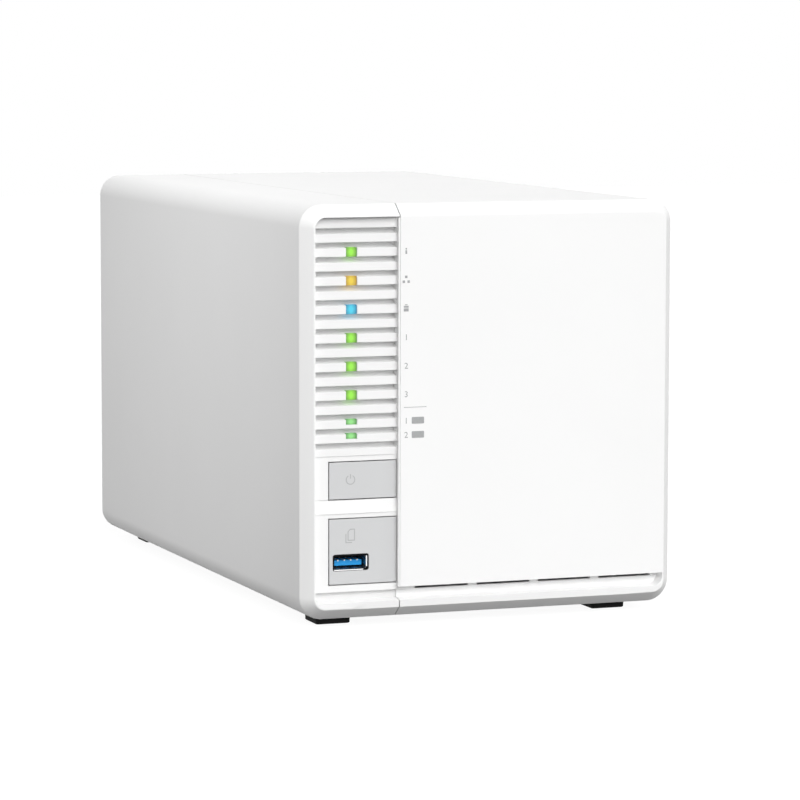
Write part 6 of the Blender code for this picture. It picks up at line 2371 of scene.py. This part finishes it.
        profile = [(radius * 0.7, self.pin_low.x), (radius, self.pin_low.x + 0.0003)]
        profile += [(radius, self.pin_high.x - 0.0003), (radius * 0.7, self.pin_high.x)]
        steel = turned(profile, Axis.X, pin.y, pin.z, 28)
        piece(
            f"lever_axle_{self.bay}", steel, Finishes.NICKEL, self.body, stands_for=[f"lever_pin_{self.bay}"]
        )

    def build_case(self) -> None:
        """Make the drive's cast case with its screw holes and the notch for the socket."""
        low, high = self.drive_low, self.drive_high
        outline = oblong(low.y, low.z, high.y, high.z, self.case_radius)
        case = prism([outline], Axis.X, low.x + self.board + self.chip, high.x - self.lid)
        holes = []
        radius, deep, across = self.case_hole
        for share in self.case_holes:
            y = low.y + (high.y - low.y) * share
            for near, far in ((low.z - REACH, low.z + deep), (high.z - deep, high.z + REACH)):
                holes.append(prism([disc(low.x + across, y, radius, 18)], Axis.Z, near, far))
        socket_low, socket_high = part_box(f"drive_socket_{self.bay}")
        gap = self.play
        notch = block(
            (low.x - REACH, socket_low.y - gap, socket_low.z - gap),
            (socket_high.x + gap, high.y + REACH, socket_high.z + gap),
        )
        sides = []
        for z in (low.z, high.z):
            sides.append(
                block(
                    (low.x + 0.0105, low.y + 0.020, z - 0.0008),
                    (high.x - 0.0055, high.y - 0.020, z + 0.0008), 0.002, Axis.Z,
                )
            )
        case = carved(case, (Work.CUT, merged(holes)), (Work.CUT, notch), (Work.CUT, merged(sides)))
        node = f"drive_{self.bay}"
        piece(f"drive_case_{self.bay}", case, Finishes.CAST, self.body, stands_for=[node], soften=0.0004)

    def build_lid(self) -> None:
        """Make the pressed lid with its screws and a blank label."""
        low, high = self.drive_low, self.drive_high
        base = high.x - self.lid
        edge = self.lid_edge
        outline = oblong(low.y + edge, low.z + edge, high.y - edge, high.z - edge, self.lid_radius, 8)
        plate = prism([outline], Axis.X, base - OVERLAP, high.x - self.lid_set)
        front, side, back, radius = self.dome
        rings = []
        for inset, drop in self.dome_steps:
            sides = (
                low.y + front + inset, low.z + side + inset, high.y - back - inset, high.z - side - inset
            )
            rings.append([Axis.X.at(u, v, high.x - drop) for u, v in oblong(*sides, radius - inset, 14)])
        along, share, across = self.lid_screws
        spots = [
            (y, z)
            for y in (low.y + along, low.y + (high.y - low.y) * share, high.y - along)
            for z in (low.z + across, high.z - across)
        ]
        wide, deep = self.screw_sink
        sinks = [prism([disc(y, z, wide, 24)], Axis.X, high.x - deep, high.x + REACH) for y, z in spots]
        lid = carved(plate, (Work.JOIN, loft(rings)), (Work.CUT, merged(sinks)))
        piece(f"drive_lid_{self.bay}", lid, Finishes.LID, self.body, soften=SMALL_EDGE)
        heads = []
        wide, root, drop = self.screw_head
        for y, z in spots:
            star = [
                (y + radius * math.cos(math.pi * i / 6), z + radius * math.sin(math.pi * i / 6))
                for i, radius in enumerate(self.screw_star * 6)
            ]
            heads.append(prism([disc(y, z, wide, 24), star], Axis.X, high.x - root, high.x - drop))
        piece(f"drive_lid_screws_{self.bay}", merged(heads), Finishes.NICKEL, self.body, soften=FINE_EDGE)
        length, height = self.label
        start, free = self.label_set
        y, z = low.y + start + (high.y - low.y - free) / 2, (low.z + high.z) / 2
        corners = (y - length / 2, z - height / 2, y + length / 2, z + height / 2)
        label = prism([oblong(*corners, 0.002)], Axis.X, high.x - 0.0002, high.x + 0.00005)
        piece(f"drive_label_{self.bay}", label, Finishes.PAPER, self.body)

    def build_underside(self) -> None:
        """Make the circuit board on the drive's other side, with its chips."""
        low, high = self.drive_low, self.drive_high
        base = low.x + self.chip + self.board
        start = low.y + self.circuit_start
        socket_low, socket_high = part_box(f"drive_socket_{self.bay}")
        gap = 2 * self.play
        outline = [
            (start, low.z + 0.004), (high.y - 0.002, low.z + 0.004), (high.y - 0.002, socket_low.z - gap),
            (socket_low.y - gap, socket_low.z - gap), (socket_low.y - gap, socket_high.z + gap),
            (high.y - 0.002, socket_high.z + gap), (high.y - 0.002, high.z - 0.004),
            (start + 0.030, high.z - 0.004), (start + 0.022, high.z - 0.020), (start, high.z - 0.030),
        ]
        board = prism([outline], Axis.X, low.x + self.chip, base + OVERLAP)
        piece(f"drive_circuit_{self.bay}", board, Finishes.BOARD, self.body, soften=FINE_EDGE)
        chips = []
        for y, z, size in self.circuit_chips:
            far = (low.x + self.chip + OVERLAP, start + y + size, low.z + z + size)
            chips.append(block((low.x, start + y, low.z + z), far, MOULD_EDGE, Axis.X))
        piece(f"drive_chips_{self.bay}", merged(chips), Finishes.CHIP, self.body, soften=SMALL_EDGE)
        motor = [(self.motor[0][0], base + OVERLAP)]
        motor += [(radius, low.x + up) for radius, up in self.motor]
        hub = turned(motor, Axis.X, low.y + self.motor_place, (low.z + high.z) / 2, 48)
        piece(f"drive_motor_{self.bay}", hub, Finishes.LID, self.body)


@dataclass
class Boards:
    """The circuit boards and what stands on them, behind the strip and on the left of the cage.

    Attributes:
        strip: The light strip in front of the front board.
        sheet: Thickness of the plate that carries the main board.
        standoff, standoff_inset: Radius of the posts between plate and board, and their place from its edges.
        clearance: Gap between pieces that don't touch.
        chip, chip_size, chip_pitch: Height of a chip, and size and spacing of those on a card.
        fins, fin_share, sink_base: The heat sink's fins, their share of the pitch, and the base's thickness.
        slot_depth, finger: Depth of a card's socket, and width and length of the card's contacts.
        front_hole, front_inset: Radius of the front board's holes, and their place from its edges.
        lamp: Half the width, height over the board and half the height of the lamps behind the windows.
        front_chips: Its chips: share of its height, and size.
        switch_face, switch_body: Place of a switch's cover behind its plunger's tip, then the body's place
            behind that and its corners.
        switch_cover, plunger: Inset, corners, hole and thickness of the cover, and the plunger's profile.
        plate_vents, plate_rows, plate_vent: Number of air holes along the plate, rows as shares, and radius.
        board_screw: Profile of a board screw's head: radius, and height over the board.
        board_chips: Chips on the main board: shares along and up it, and size.
        can_size, board_cans: Radius and height of its capacitors, and their shares along and up it.
        cell_spot, cell_holder, cell: Place of the coin cell, its holder's radii, and its own profile.
        drum_spot, drum: Place and profile of the buzzer.
    """

    strip: Strip
    sheet: float = 0.001
    standoff: float = 0.0025
    standoff_inset: float = 0.007
    clearance: float = 0.0003
    chip: float = 0.0012
    chip_size: float = 0.013
    chip_pitch: float = 0.017
    fins: int = 8
    fin_share: float = 0.35
    sink_base: float = 0.003
    slot_depth: float = 0.003
    finger: Point = (0.0004, 0.0025)
    front_hole: float = 0.0012
    front_inset: float = 0.003
    lamp: Place = (0.0012, 0.0011, 0.0007)
    front_chips: tuple[Point, ...] = ((0.2, 0.007), (0.55, 0.009), (0.8, 0.006))
    switch_face: float = 0.001
    switch_body: Point = (0.0004, 0.0004)
    switch_cover: tuple[float, ...] = (0.0003, 0.0005, 0.0019, 0.0006)
    plunger: tuple[Point, ...] = ((0.0017, 0.0002), (0.0015, 0))
    plate_vents: int = 6
    plate_rows: Place = (0.32, 0.5, 0.68)
    plate_vent: float = 0.006
    board_screw: tuple[Point, ...] = ((0.0013, 0), (0.0027, 0), (0.0027, 0.0008), (0.0015, 0.0016))
    board_chips: tuple[Place, ...] = (
        (0.30, 0.90, 0.010), (0.62, 0.93, 0.008), (0.72, 0.40, 0.012), (0.84, 0.72, 0.009),
    )
    can_size: Point = (0.0032, 0.0075)
    board_cans: tuple[Point, ...] = (
        (0.70, 0.10), (0.75, 0.10), (0.80, 0.10), (0.70, 0.18), (0.40, 0.94), (0.45, 0.94),
    )
    cell_spot: Point = (0.10, 0.15)
    cell_holder: Point = (0.0118, 0.0102)
    cell: tuple[Point, ...] = (
        (0.0097, 0.0002), (0.0100, 0.0006), (0.0100, 0.0028), (0.0096, 0.0034), (0.006, 0.0034),
    )
    drum_spot: Point = (0.20, 0.93)
    drum: tuple[Point, ...] = (
        (0.0045, -OVERLAP), (0.0045, 0.0042), (0.0040, 0.0048), (0.0013, 0.0048), (0.0011, 0.0040),
    )

    @staticmethod
    def can_profile(radius: float, height: float, base: float, sign: int = 1) -> Loop:
        """Return the profile of a round capacitor.

        Args:
            radius: Its radius.
            height: Its height.
            base: Where it stands along its axis.
            sign: 1 if it stands up along the axis, -1 if against it.

        Returns:
            Pairs of radius and place along the axis.
        """
        shape = [
            (0.98, -0.05), (1, 0), (1, 0.12), (0.93, 0.16), (0.93, 0.2), (1, 0.24), (1, 0.94), (0.92, 1),
            (0.5, 1),
        ]
        return [(radius * wide, base + sign * height * up) for wide, up in shape]

    def build(self) -> None:
        """Make the front board, the plate, the main board and its modules."""
        self.build_front_board()
        for node in ("power_switch", "copy_switch"):
            self.build_switch(node)
        self.build_plate()
        self.build_main_board()
        self.build_parts()
        self.build_sink()
        self.build_module("memory_module", "memory_socket", 4, Axis.Z)
        for i in (1, 2):
            self.build_module(f"storage_module_{i}", f"module_socket_{i}", 3, Axis.Y)

    def build_front_board(self) -> None:
        """Make the board behind the strip with its lights and chips."""
        low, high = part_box("front_board")
        inset = self.front_inset
        holes = [disc(low.x + inset, z, self.front_hole, 16) for z in (low.z + inset, high.z - inset)]
        board = prism([oblong(low.x, low.z, high.x, high.z), *holes], Axis.Y, low.y, high.y)
        piece("strip_board", board, Finishes.BOARD, stands_for=["front_board"], soften=FINE_EDGE)
        lamps = []
        wide, rise, half = self.lamp
        x = self.strip.window_left + self.strip.window_width / 2
        for bottom, top, _ in self.strip.windows():
            z = (bottom + top) / 2
            near = (x - wide, low.y - rise, z - half)
            lamps.append(block(near, (x + wide, low.y + OVERLAP, z + half), MOULD_EDGE, Axis.Y))
        piece("strip_lamps", merged(lamps), Finishes.CLEAR, soften=FINE_EDGE)
        chips = []
        for share, size in self.front_chips:
            z = low.z + (high.z - low.z) * share
            x = (low.x + high.x) / 2
            near = (x - size / 2, high.y - OVERLAP, z - size / 2)
            chips.append(block(near, (x + size / 2, high.y + self.chip, z + size / 2)))
        piece("strip_chips", merged(chips), Finishes.CHIP, soften=SMALL_EDGE)

    def build_switch(self, node: str) -> None:
        """Make one push switch: dark body, steel cover and round plunger.

        Args:
            node: The switch's node.
        """
        low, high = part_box(node)
        spot = (low + high) / 2
        face = low.y + self.switch_face
        behind, corner = self.switch_body
        body = block((low.x, face + behind, low.z), high, corner, Axis.Y)
        piece(f"{node}_body", body, Finishes.BLACK, stands_for=[node], soften=SMALL_EDGE)
        edge, corner, hole, thick = self.switch_cover
        outline = oblong(low.x + edge, low.z + edge, high.x - edge, high.z - edge, corner)
        cover = prism([outline, disc(spot.x, spot.z, hole, 24)], Axis.Y, face, face + thick)
        piece(f"{node}_cover", cover, Finishes.NICKEL, soften=FINE_EDGE)
        profile = [(self.plunger[0][0], face + OVERLAP)]
        profile += [(radius, low.y + up) for radius, up in self.plunger]
        piece(f"{node}_plunger", turned(profile, Axis.Y, spot.x, spot.z, 24), Finishes.CHIP)

    def post_spots(self) -> Loop:
        """Return where the posts under the main board stand.

        Returns:
            Pairs of Y and Z.
        """
        low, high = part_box("main_board")
        inset = self.standoff_inset
        rows = (low.y + inset, (low.y + high.y) / 2, high.y - inset)
        return [(y, z) for y in rows for z in (low.z + inset, high.z - inset)]

    def build_plate(self) -> None:
        """Make the steel plate with its foot, air holes and posts."""
        low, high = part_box("board_tray")
        left = high.x - self.sheet
        outline = [(high.x, low.z), (high.x, high.z), (left, high.z), (left, low.z + self.sheet)]
        outline += [(low.x, low.z + self.sheet), (low.x, low.z)]
        near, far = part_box("main_board")[1].x + self.clearance, left + OVERLAP
        posts = [prism([disc(y, z, self.standoff, 6)], Axis.X, near, far) for y, z in self.post_spots()]
        vents = []
        for i in range(self.plate_vents):
            y = low.y + (high.y - low.y) * (i + 0.5) / self.plate_vents
            for share in self.plate_rows:
                z = low.z + (high.z - low.z) * share
                vents.append(prism([disc(y, z, self.plate_vent, 32)], Axis.X, left - REACH, high.x + REACH))
        plate = carved(
            prism([outline], Axis.Y, low.y, high.y), (Work.CUT, merged(vents)), (Work.JOIN, merged(posts))
        )
        piece("board_plate", plate, Finishes.STEEL, stands_for=["board_tray"], soften=0.00015)

    def build_main_board(self) -> None:
        """Make the main board and the screws that hold it."""
        low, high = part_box("main_board")
        spots = self.post_spots()
        loops = [oblong(low.y, low.z, high.y, high.z, 0.001), *(disc(y, z, 0.0014, 20) for y, z in spots)]
        piece(
            "circuit_board", prism(loops, Axis.X, low.x, high.x), Finishes.BOARD, stands_for=["main_board"],
            soften=FINE_EDGE,
        )
        profile = [(self.board_screw[0][0], high.x + OVERLAP)]
        profile += [(radius, low.x - up) for radius, up in self.board_screw]
        screws = [turned(profile, Axis.X, y, z, 24) for y, z in spots]
        piece("circuit_board_screws", merged(screws), Finishes.NICKEL)

    def build_parts(self) -> None:
        """Make chips, capacitors, the coin cell in its holder and the buzzer."""
        low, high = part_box("main_board")
        face = low.x
        length, height = high.y - low.y, high.z - low.z
        chips = []
        for share_y, share_z, size in self.board_chips:
            y, z = low.y + length * share_y, low.z + height * share_z
            near = (face - self.chip, y - size / 2, z - size / 2)
            chips.append(block(near, (face + OVERLAP, y + size / 2, z + size / 2), MOULD_EDGE, Axis.X))
        piece("circuit_board_chips", merged(chips), Finishes.CHIP, soften=SMALL_EDGE)
        cans = []
        for share_y, share_z in self.board_cans:
            y, z = low.y + length * share_y, low.z + height * share_z
            cans.append(turned(self.can_profile(*self.can_size, face, -1), Axis.X, y, z, 28))
        piece("circuit_board_cans", merged(cans), Finishes.ALUMINIUM)
        y, z = low.y + length * self.cell_spot[0], low.z + height * self.cell_spot[1]
        rings = [disc(y, z, radius, 48) for radius in self.cell_holder]
        piece(
            "coin_cell_holder", prism(rings, Axis.X, face - 0.0045, face + OVERLAP), Finishes.BLACK,
            soften=MOULD_EDGE,
        )
        cell = [(radius, face - up) for radius, up in self.cell]
        piece("coin_cell", turned(cell, Axis.X, y, z, 48), Finishes.NICKEL)
        y, z = low.y + length * self.drum_spot[0], low.z + height * self.drum_spot[1]
        drum = [(radius, face - up) for radius, up in self.drum]
        piece("buzzer", turned(drum, Axis.X, y, z, 40), Finishes.BLACK)

    def build_sink(self) -> None:
        """Make the heat sink's base and fins."""
        low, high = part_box("heat_sink")
        size = high.z - low.z
        step = size / (self.fins - 1 + self.fin_share)
        base = high.x - self.sink_base
        outline = [(high.x, high.z), (high.x, low.z)]
        for i in range(self.fins):
            foot = low.z + i * step
            edge = foot + self.fin_share * step
            taper = self.fin_share * step * 0.15
            outline += [(base, foot), (low.x, foot + taper), (low.x, edge - taper), (base, edge)]
        outline.remove((base, low.z))
        outline.pop()
        outline.append((base, high.z))
        sink = prism([outline], Axis.Y, low.y, high.y)
        piece("fin_block", sink, Finishes.ALUMINIUM, stands_for=["heat_sink"], soften=SMALL_EDGE)

    def build_module(self, node: str, socket: str, chips: int, along: Axis) -> None:
        """Make one plug-in card and the socket it stands in.

        Args:
            node: The card's node.
            socket: The socket's node.
            chips: Number of its chips.
            along: The axis the chips are lined up on.
        """
        low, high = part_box(node)
        left = low.x + self.chip
        card = block((left, low.y, low.z), high, 0.0004, Axis.X)
        piece(f"{node}_card", card, Finishes.BOARD, stands_for=[node], soften=FINE_EDGE)
        spot = (low + high) / 2
        solids = []
        for i in range(chips):
            shift = (i - (chips - 1) / 2) * self.chip_pitch
            y, z = (spot.y + shift, spot.z) if along is Axis.Y else (spot.y, spot.z + shift)
            half = self.chip_size / 2
            solids.append(
                block(
                    (low.x, y - half, z - half), (left + OVERLAP / 2, y + half, z + half), MOULD_EDGE, Axis.X
                )
            )
        piece(f"{node}_chips", merged(solids), Finishes.CHIP, soften=SMALL_EDGE)
        width, length = self.finger
        count = int((high.z - low.z) / (2 * width))
        fingers = []
        for i in range(count):
            z = low.z + (high.z - low.z) * (i + 0.5) / count
            near = (left - 0.00004, low.y + 0.0002, z - width / 2)
            fingers.append(block(near, (left + 0.0001, low.y + self.slot_depth + length / 2, z + width / 2)))
        piece(f"{node}_fingers", merged(fingers), Finishes.GOLD)
        socket_low, socket_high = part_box(socket)
        gap = self.clearance
        slot = block(
            (left - gap, low.y - gap, socket_low.z - REACH),
            (high.x + gap, socket_high.y + REACH, socket_high.z + REACH),
        )
        body = carved(block(socket_low, socket_high), (Work.CUT, slot))
        piece(f"{socket}_body", body, Finishes.BLACK, stands_for=[socket], soften=SMALL_EDGE)


def outward(azimuth: float, elevation: float) -> Vector:
    """Return the direction at an azimuth and an elevation in degrees, with the front at azimuth 0."""
    around, up = math.radians(azimuth), math.radians(elevation)
    return Vector((math.sin(around) * math.cos(up), -math.cos(around) * math.cos(up), math.sin(up)))


@dataclass(frozen=True)
class Softbox:
    """A square lamp that lights the unit without being seen itself.

    Attributes:
        name: The lamp's name.
        place: Where it hangs.
        size: Length of its sides.
        watts: Its power.
    """

    name: str
    place: Place
    size: float
    watts: float

    def hang(self, target: Place) -> None:
        """Hang the lamp and aim it at a point.

        Args:
            target: The point.
        """
        data = bpy.data.lights.new(self.name, "AREA")
        data.energy = self.watts
        data.size = self.size
        lamp = bpy.data.objects.new(self.name, data)
        lamp.location = self.place
        lamp.rotation_euler = (Vector(self.place) - Vector(target)).to_track_quat("Z", "Y").to_euler()
        lamp.visible_camera = False
        lamp.visible_glossy = False
        bpy.context.collection.objects.link(lamp)


@dataclass(frozen=True)
class FarLamp:
    """A broad lamp far away, which lights everything from one direction.

    Attributes:
        name: The lamp's name.
        azimuth, elevation: Direction it shines from, in degrees, with the front at 0.
        spread: How broad it looks, in degrees.
        strength: Its strength.
        mirrored: Whether it shows in reflections.
    """

    name: str
    azimuth: float
    elevation: float
    spread: float
    strength: float
    mirrored: bool = True

    def hang(self) -> None:
        """Hang the lamp."""
        data = bpy.data.lights.new(self.name, "SUN")
        data.energy = self.strength
        data.angle = math.radians(self.spread)
        lamp = bpy.data.objects.new(self.name, data)
        lamp.rotation_euler = outward(self.azimuth, self.elevation).to_track_quat("Z", "Y").to_euler()
        lamp.visible_glossy = self.mirrored
        bpy.context.collection.objects.link(lamp)


@dataclass
class Studio:
    """Floor, light and camera.

    Attributes:
        lens: Focal length in millimetres.
        azimuth, elevation, roll: Direction of the camera in degrees.
        distance: From the camera to its target.
        target: The point it looks at.
        floor_size: Length of the floor's sides.
        floor_drop: How far the floor lies below the feet's soles.
        floor_bounce, floor_shade, floor_glow: How pale the floor is to the light, and its shade and glow
            to the eye.
        ambient: Strength of the even light from all round.
        far_lamps: The broad lamps all round.
        softboxes: The lamps close by.
    """

    lens: float = 167.566
    azimuth: float = -20.326
    elevation: float = 5.869
    roll: float = 0.085
    distance: float = 1.451196
    target: Place = (0.012992, 0.0, 0.066642)
    floor_size: float = 6.0
    floor_drop: float = 0.00002
    floor_bounce: float = 0.12
    floor_shade: float = 0.16
    floor_glow: float = 0.93
    ambient: float = 0.15
    far_lamps: tuple[FarLamp, ...] = (
        FarLamp("front_lamp", 0, 27.5, 44, 2.74),
        FarLamp("upper_lamp", 0, 64, 30, 0.25),
        FarLamp("right_lamp", 55.7, 41.7, 29, 0.68),
        FarLamp("left_fill", -78, 12, 30, 0.485, mirrored=False),
        FarLamp("rear_fill", 180, 6, 10, 0.9, mirrored=False),
        FarLamp("right_fill", 147, 10, 18, 1.3, mirrored=False),
    )
    softboxes: tuple[Softbox, ...] = (
        Softbox("left_lamp", (-0.35, -0.03, 0.25), 0.15, 0.335),
    )

    def build(self) -> None:
        """Set up the floor, the light and the camera."""
        self.build_floor()
        self.build_world()
        for lamp in self.far_lamps:
            lamp.hang()
        for softbox in self.softboxes:
            softbox.hang(self.target)
        self.build_camera()
        bpy.context.scene.view_settings.view_transform = "Standard"

    def seen(self, tree: bpy.types.NodeTree) -> bpy.types.NodeSocket:
        """Return 1 for rays from the camera, a reflection or a clear piece, else 0.

        Args:
            tree: The material's nodes.

        Returns:
            The value's socket.
        """
        rays = tree.nodes.new("ShaderNodeLightPath").outputs
        total = rays["Is Camera Ray"]
        for name in ("Is Glossy Ray", "Is Transmission Ray"):
            add = tree.nodes.new("ShaderNodeMath")
            add.operation = "MAXIMUM"
            tree.links.new(total, add.inputs[0])
            tree.links.new(rays[name], add.inputs[1])
            total = add.outputs[0]
        return total

    def build_floor(self) -> None:
        """Make the pale floor: white to the eye, with the unit's soft shadow."""
        half = self.floor_size / 2
        mesh = bpy.data.meshes.new("floor")
        corners = [(-half, -half), (half, -half), (half, half), (-half, half)]
        mesh.from_pydata([(x, y, -self.floor_drop) for x, y in corners], [], [(0, 1, 2, 3)])
        floor = bpy.data.objects.new("floor", mesh)
        bpy.context.collection.objects.link(floor)
        paint = bpy.data.materials.new("floor_paint")
        paint.use_nodes = True
        tree = paint.node_tree
        tree.nodes.clear()
        pale = tree.nodes.new("ShaderNodeBsdfDiffuse")
        pale.inputs["Color"].default_value = (*(self.floor_bounce,) * 3, 1)
        shown = tree.nodes.new("ShaderNodeBsdfDiffuse")
        shown.inputs["Color"].default_value = (*(self.floor_shade,) * 3, 1)
        light = tree.nodes.new("ShaderNodeEmission")
        light.inputs["Strength"].default_value = self.floor_glow
        both = tree.nodes.new("ShaderNodeAddShader")
        tree.links.new(shown.outputs[0], both.inputs[0])
        tree.links.new(light.outputs[0], both.inputs[1])
        mix = tree.nodes.new("ShaderNodeMixShader")
        tree.links.new(self.seen(tree), mix.inputs[0])
        tree.links.new(pale.outputs[0], mix.inputs[1])
        tree.links.new(both.outputs[0], mix.inputs[2])
        tree.links.new(mix.outputs[0], tree.nodes.new("ShaderNodeOutputMaterial").inputs["Surface"])
        mesh.materials.append(paint)

    def build_world(self) -> None:
        """Fill the room with even white light, seen as plain white."""
        world = bpy.data.worlds.new("studio")
        bpy.context.scene.world = world
        world.use_nodes = True
        tree = world.node_tree
        tree.nodes.clear()
        soft = tree.nodes.new("ShaderNodeBackground")
        soft.inputs["Strength"].default_value = self.ambient
        white = tree.nodes.new("ShaderNodeBackground")
        for node in (soft, white):
            node.inputs["Color"].default_value = (1, 1, 1, 1)
        mix = tree.nodes.new("ShaderNodeMixShader")
        tree.links.new(self.seen(tree), mix.inputs[0])
        tree.links.new(soft.outputs[0], mix.inputs[1])
        tree.links.new(white.outputs[0], mix.inputs[2])
        tree.links.new(mix.outputs[0], tree.nodes.new("ShaderNodeOutputWorld").inputs["Surface"])

    def build_camera(self) -> None:
        """Put the camera where the photograph was taken from."""
        back = outward(self.azimuth, self.elevation)
        right = Vector((0, 0, 1)).cross(back).normalized()
        turn = Matrix((right, back.cross(right), back)).transposed()
        turn = turn @ Matrix.Rotation(math.radians(self.roll), 3, "Z")
        data = bpy.data.cameras.new("camera")
        data.lens = self.lens
        camera = bpy.data.objects.new("camera", data)
        camera.matrix_world = Matrix.Translation(Vector(self.target) + back * self.distance) @ turn.to_4x4()
        bpy.context.collection.objects.link(camera)
        bpy.context.scene.camera = camera


def main() -> None:
    """Build every sub-assembly."""
    logging.basicConfig(level=logging.INFO, format="%(message)s")
    housing = Housing()
    strip = Strip(housing)
    carriers = [Carrier(bay) for bay in range(1, 4)]
    parts = [
        Studio(), housing, strip, Keys(), Prints(housing, strip), Feet(), Back(housing), Ports(), Fan(),
        Cage(),
    ]
    for part in [*parts, *carriers, Boards(strip)]:
        part.build()


if __name__ == "__main__":
    main()
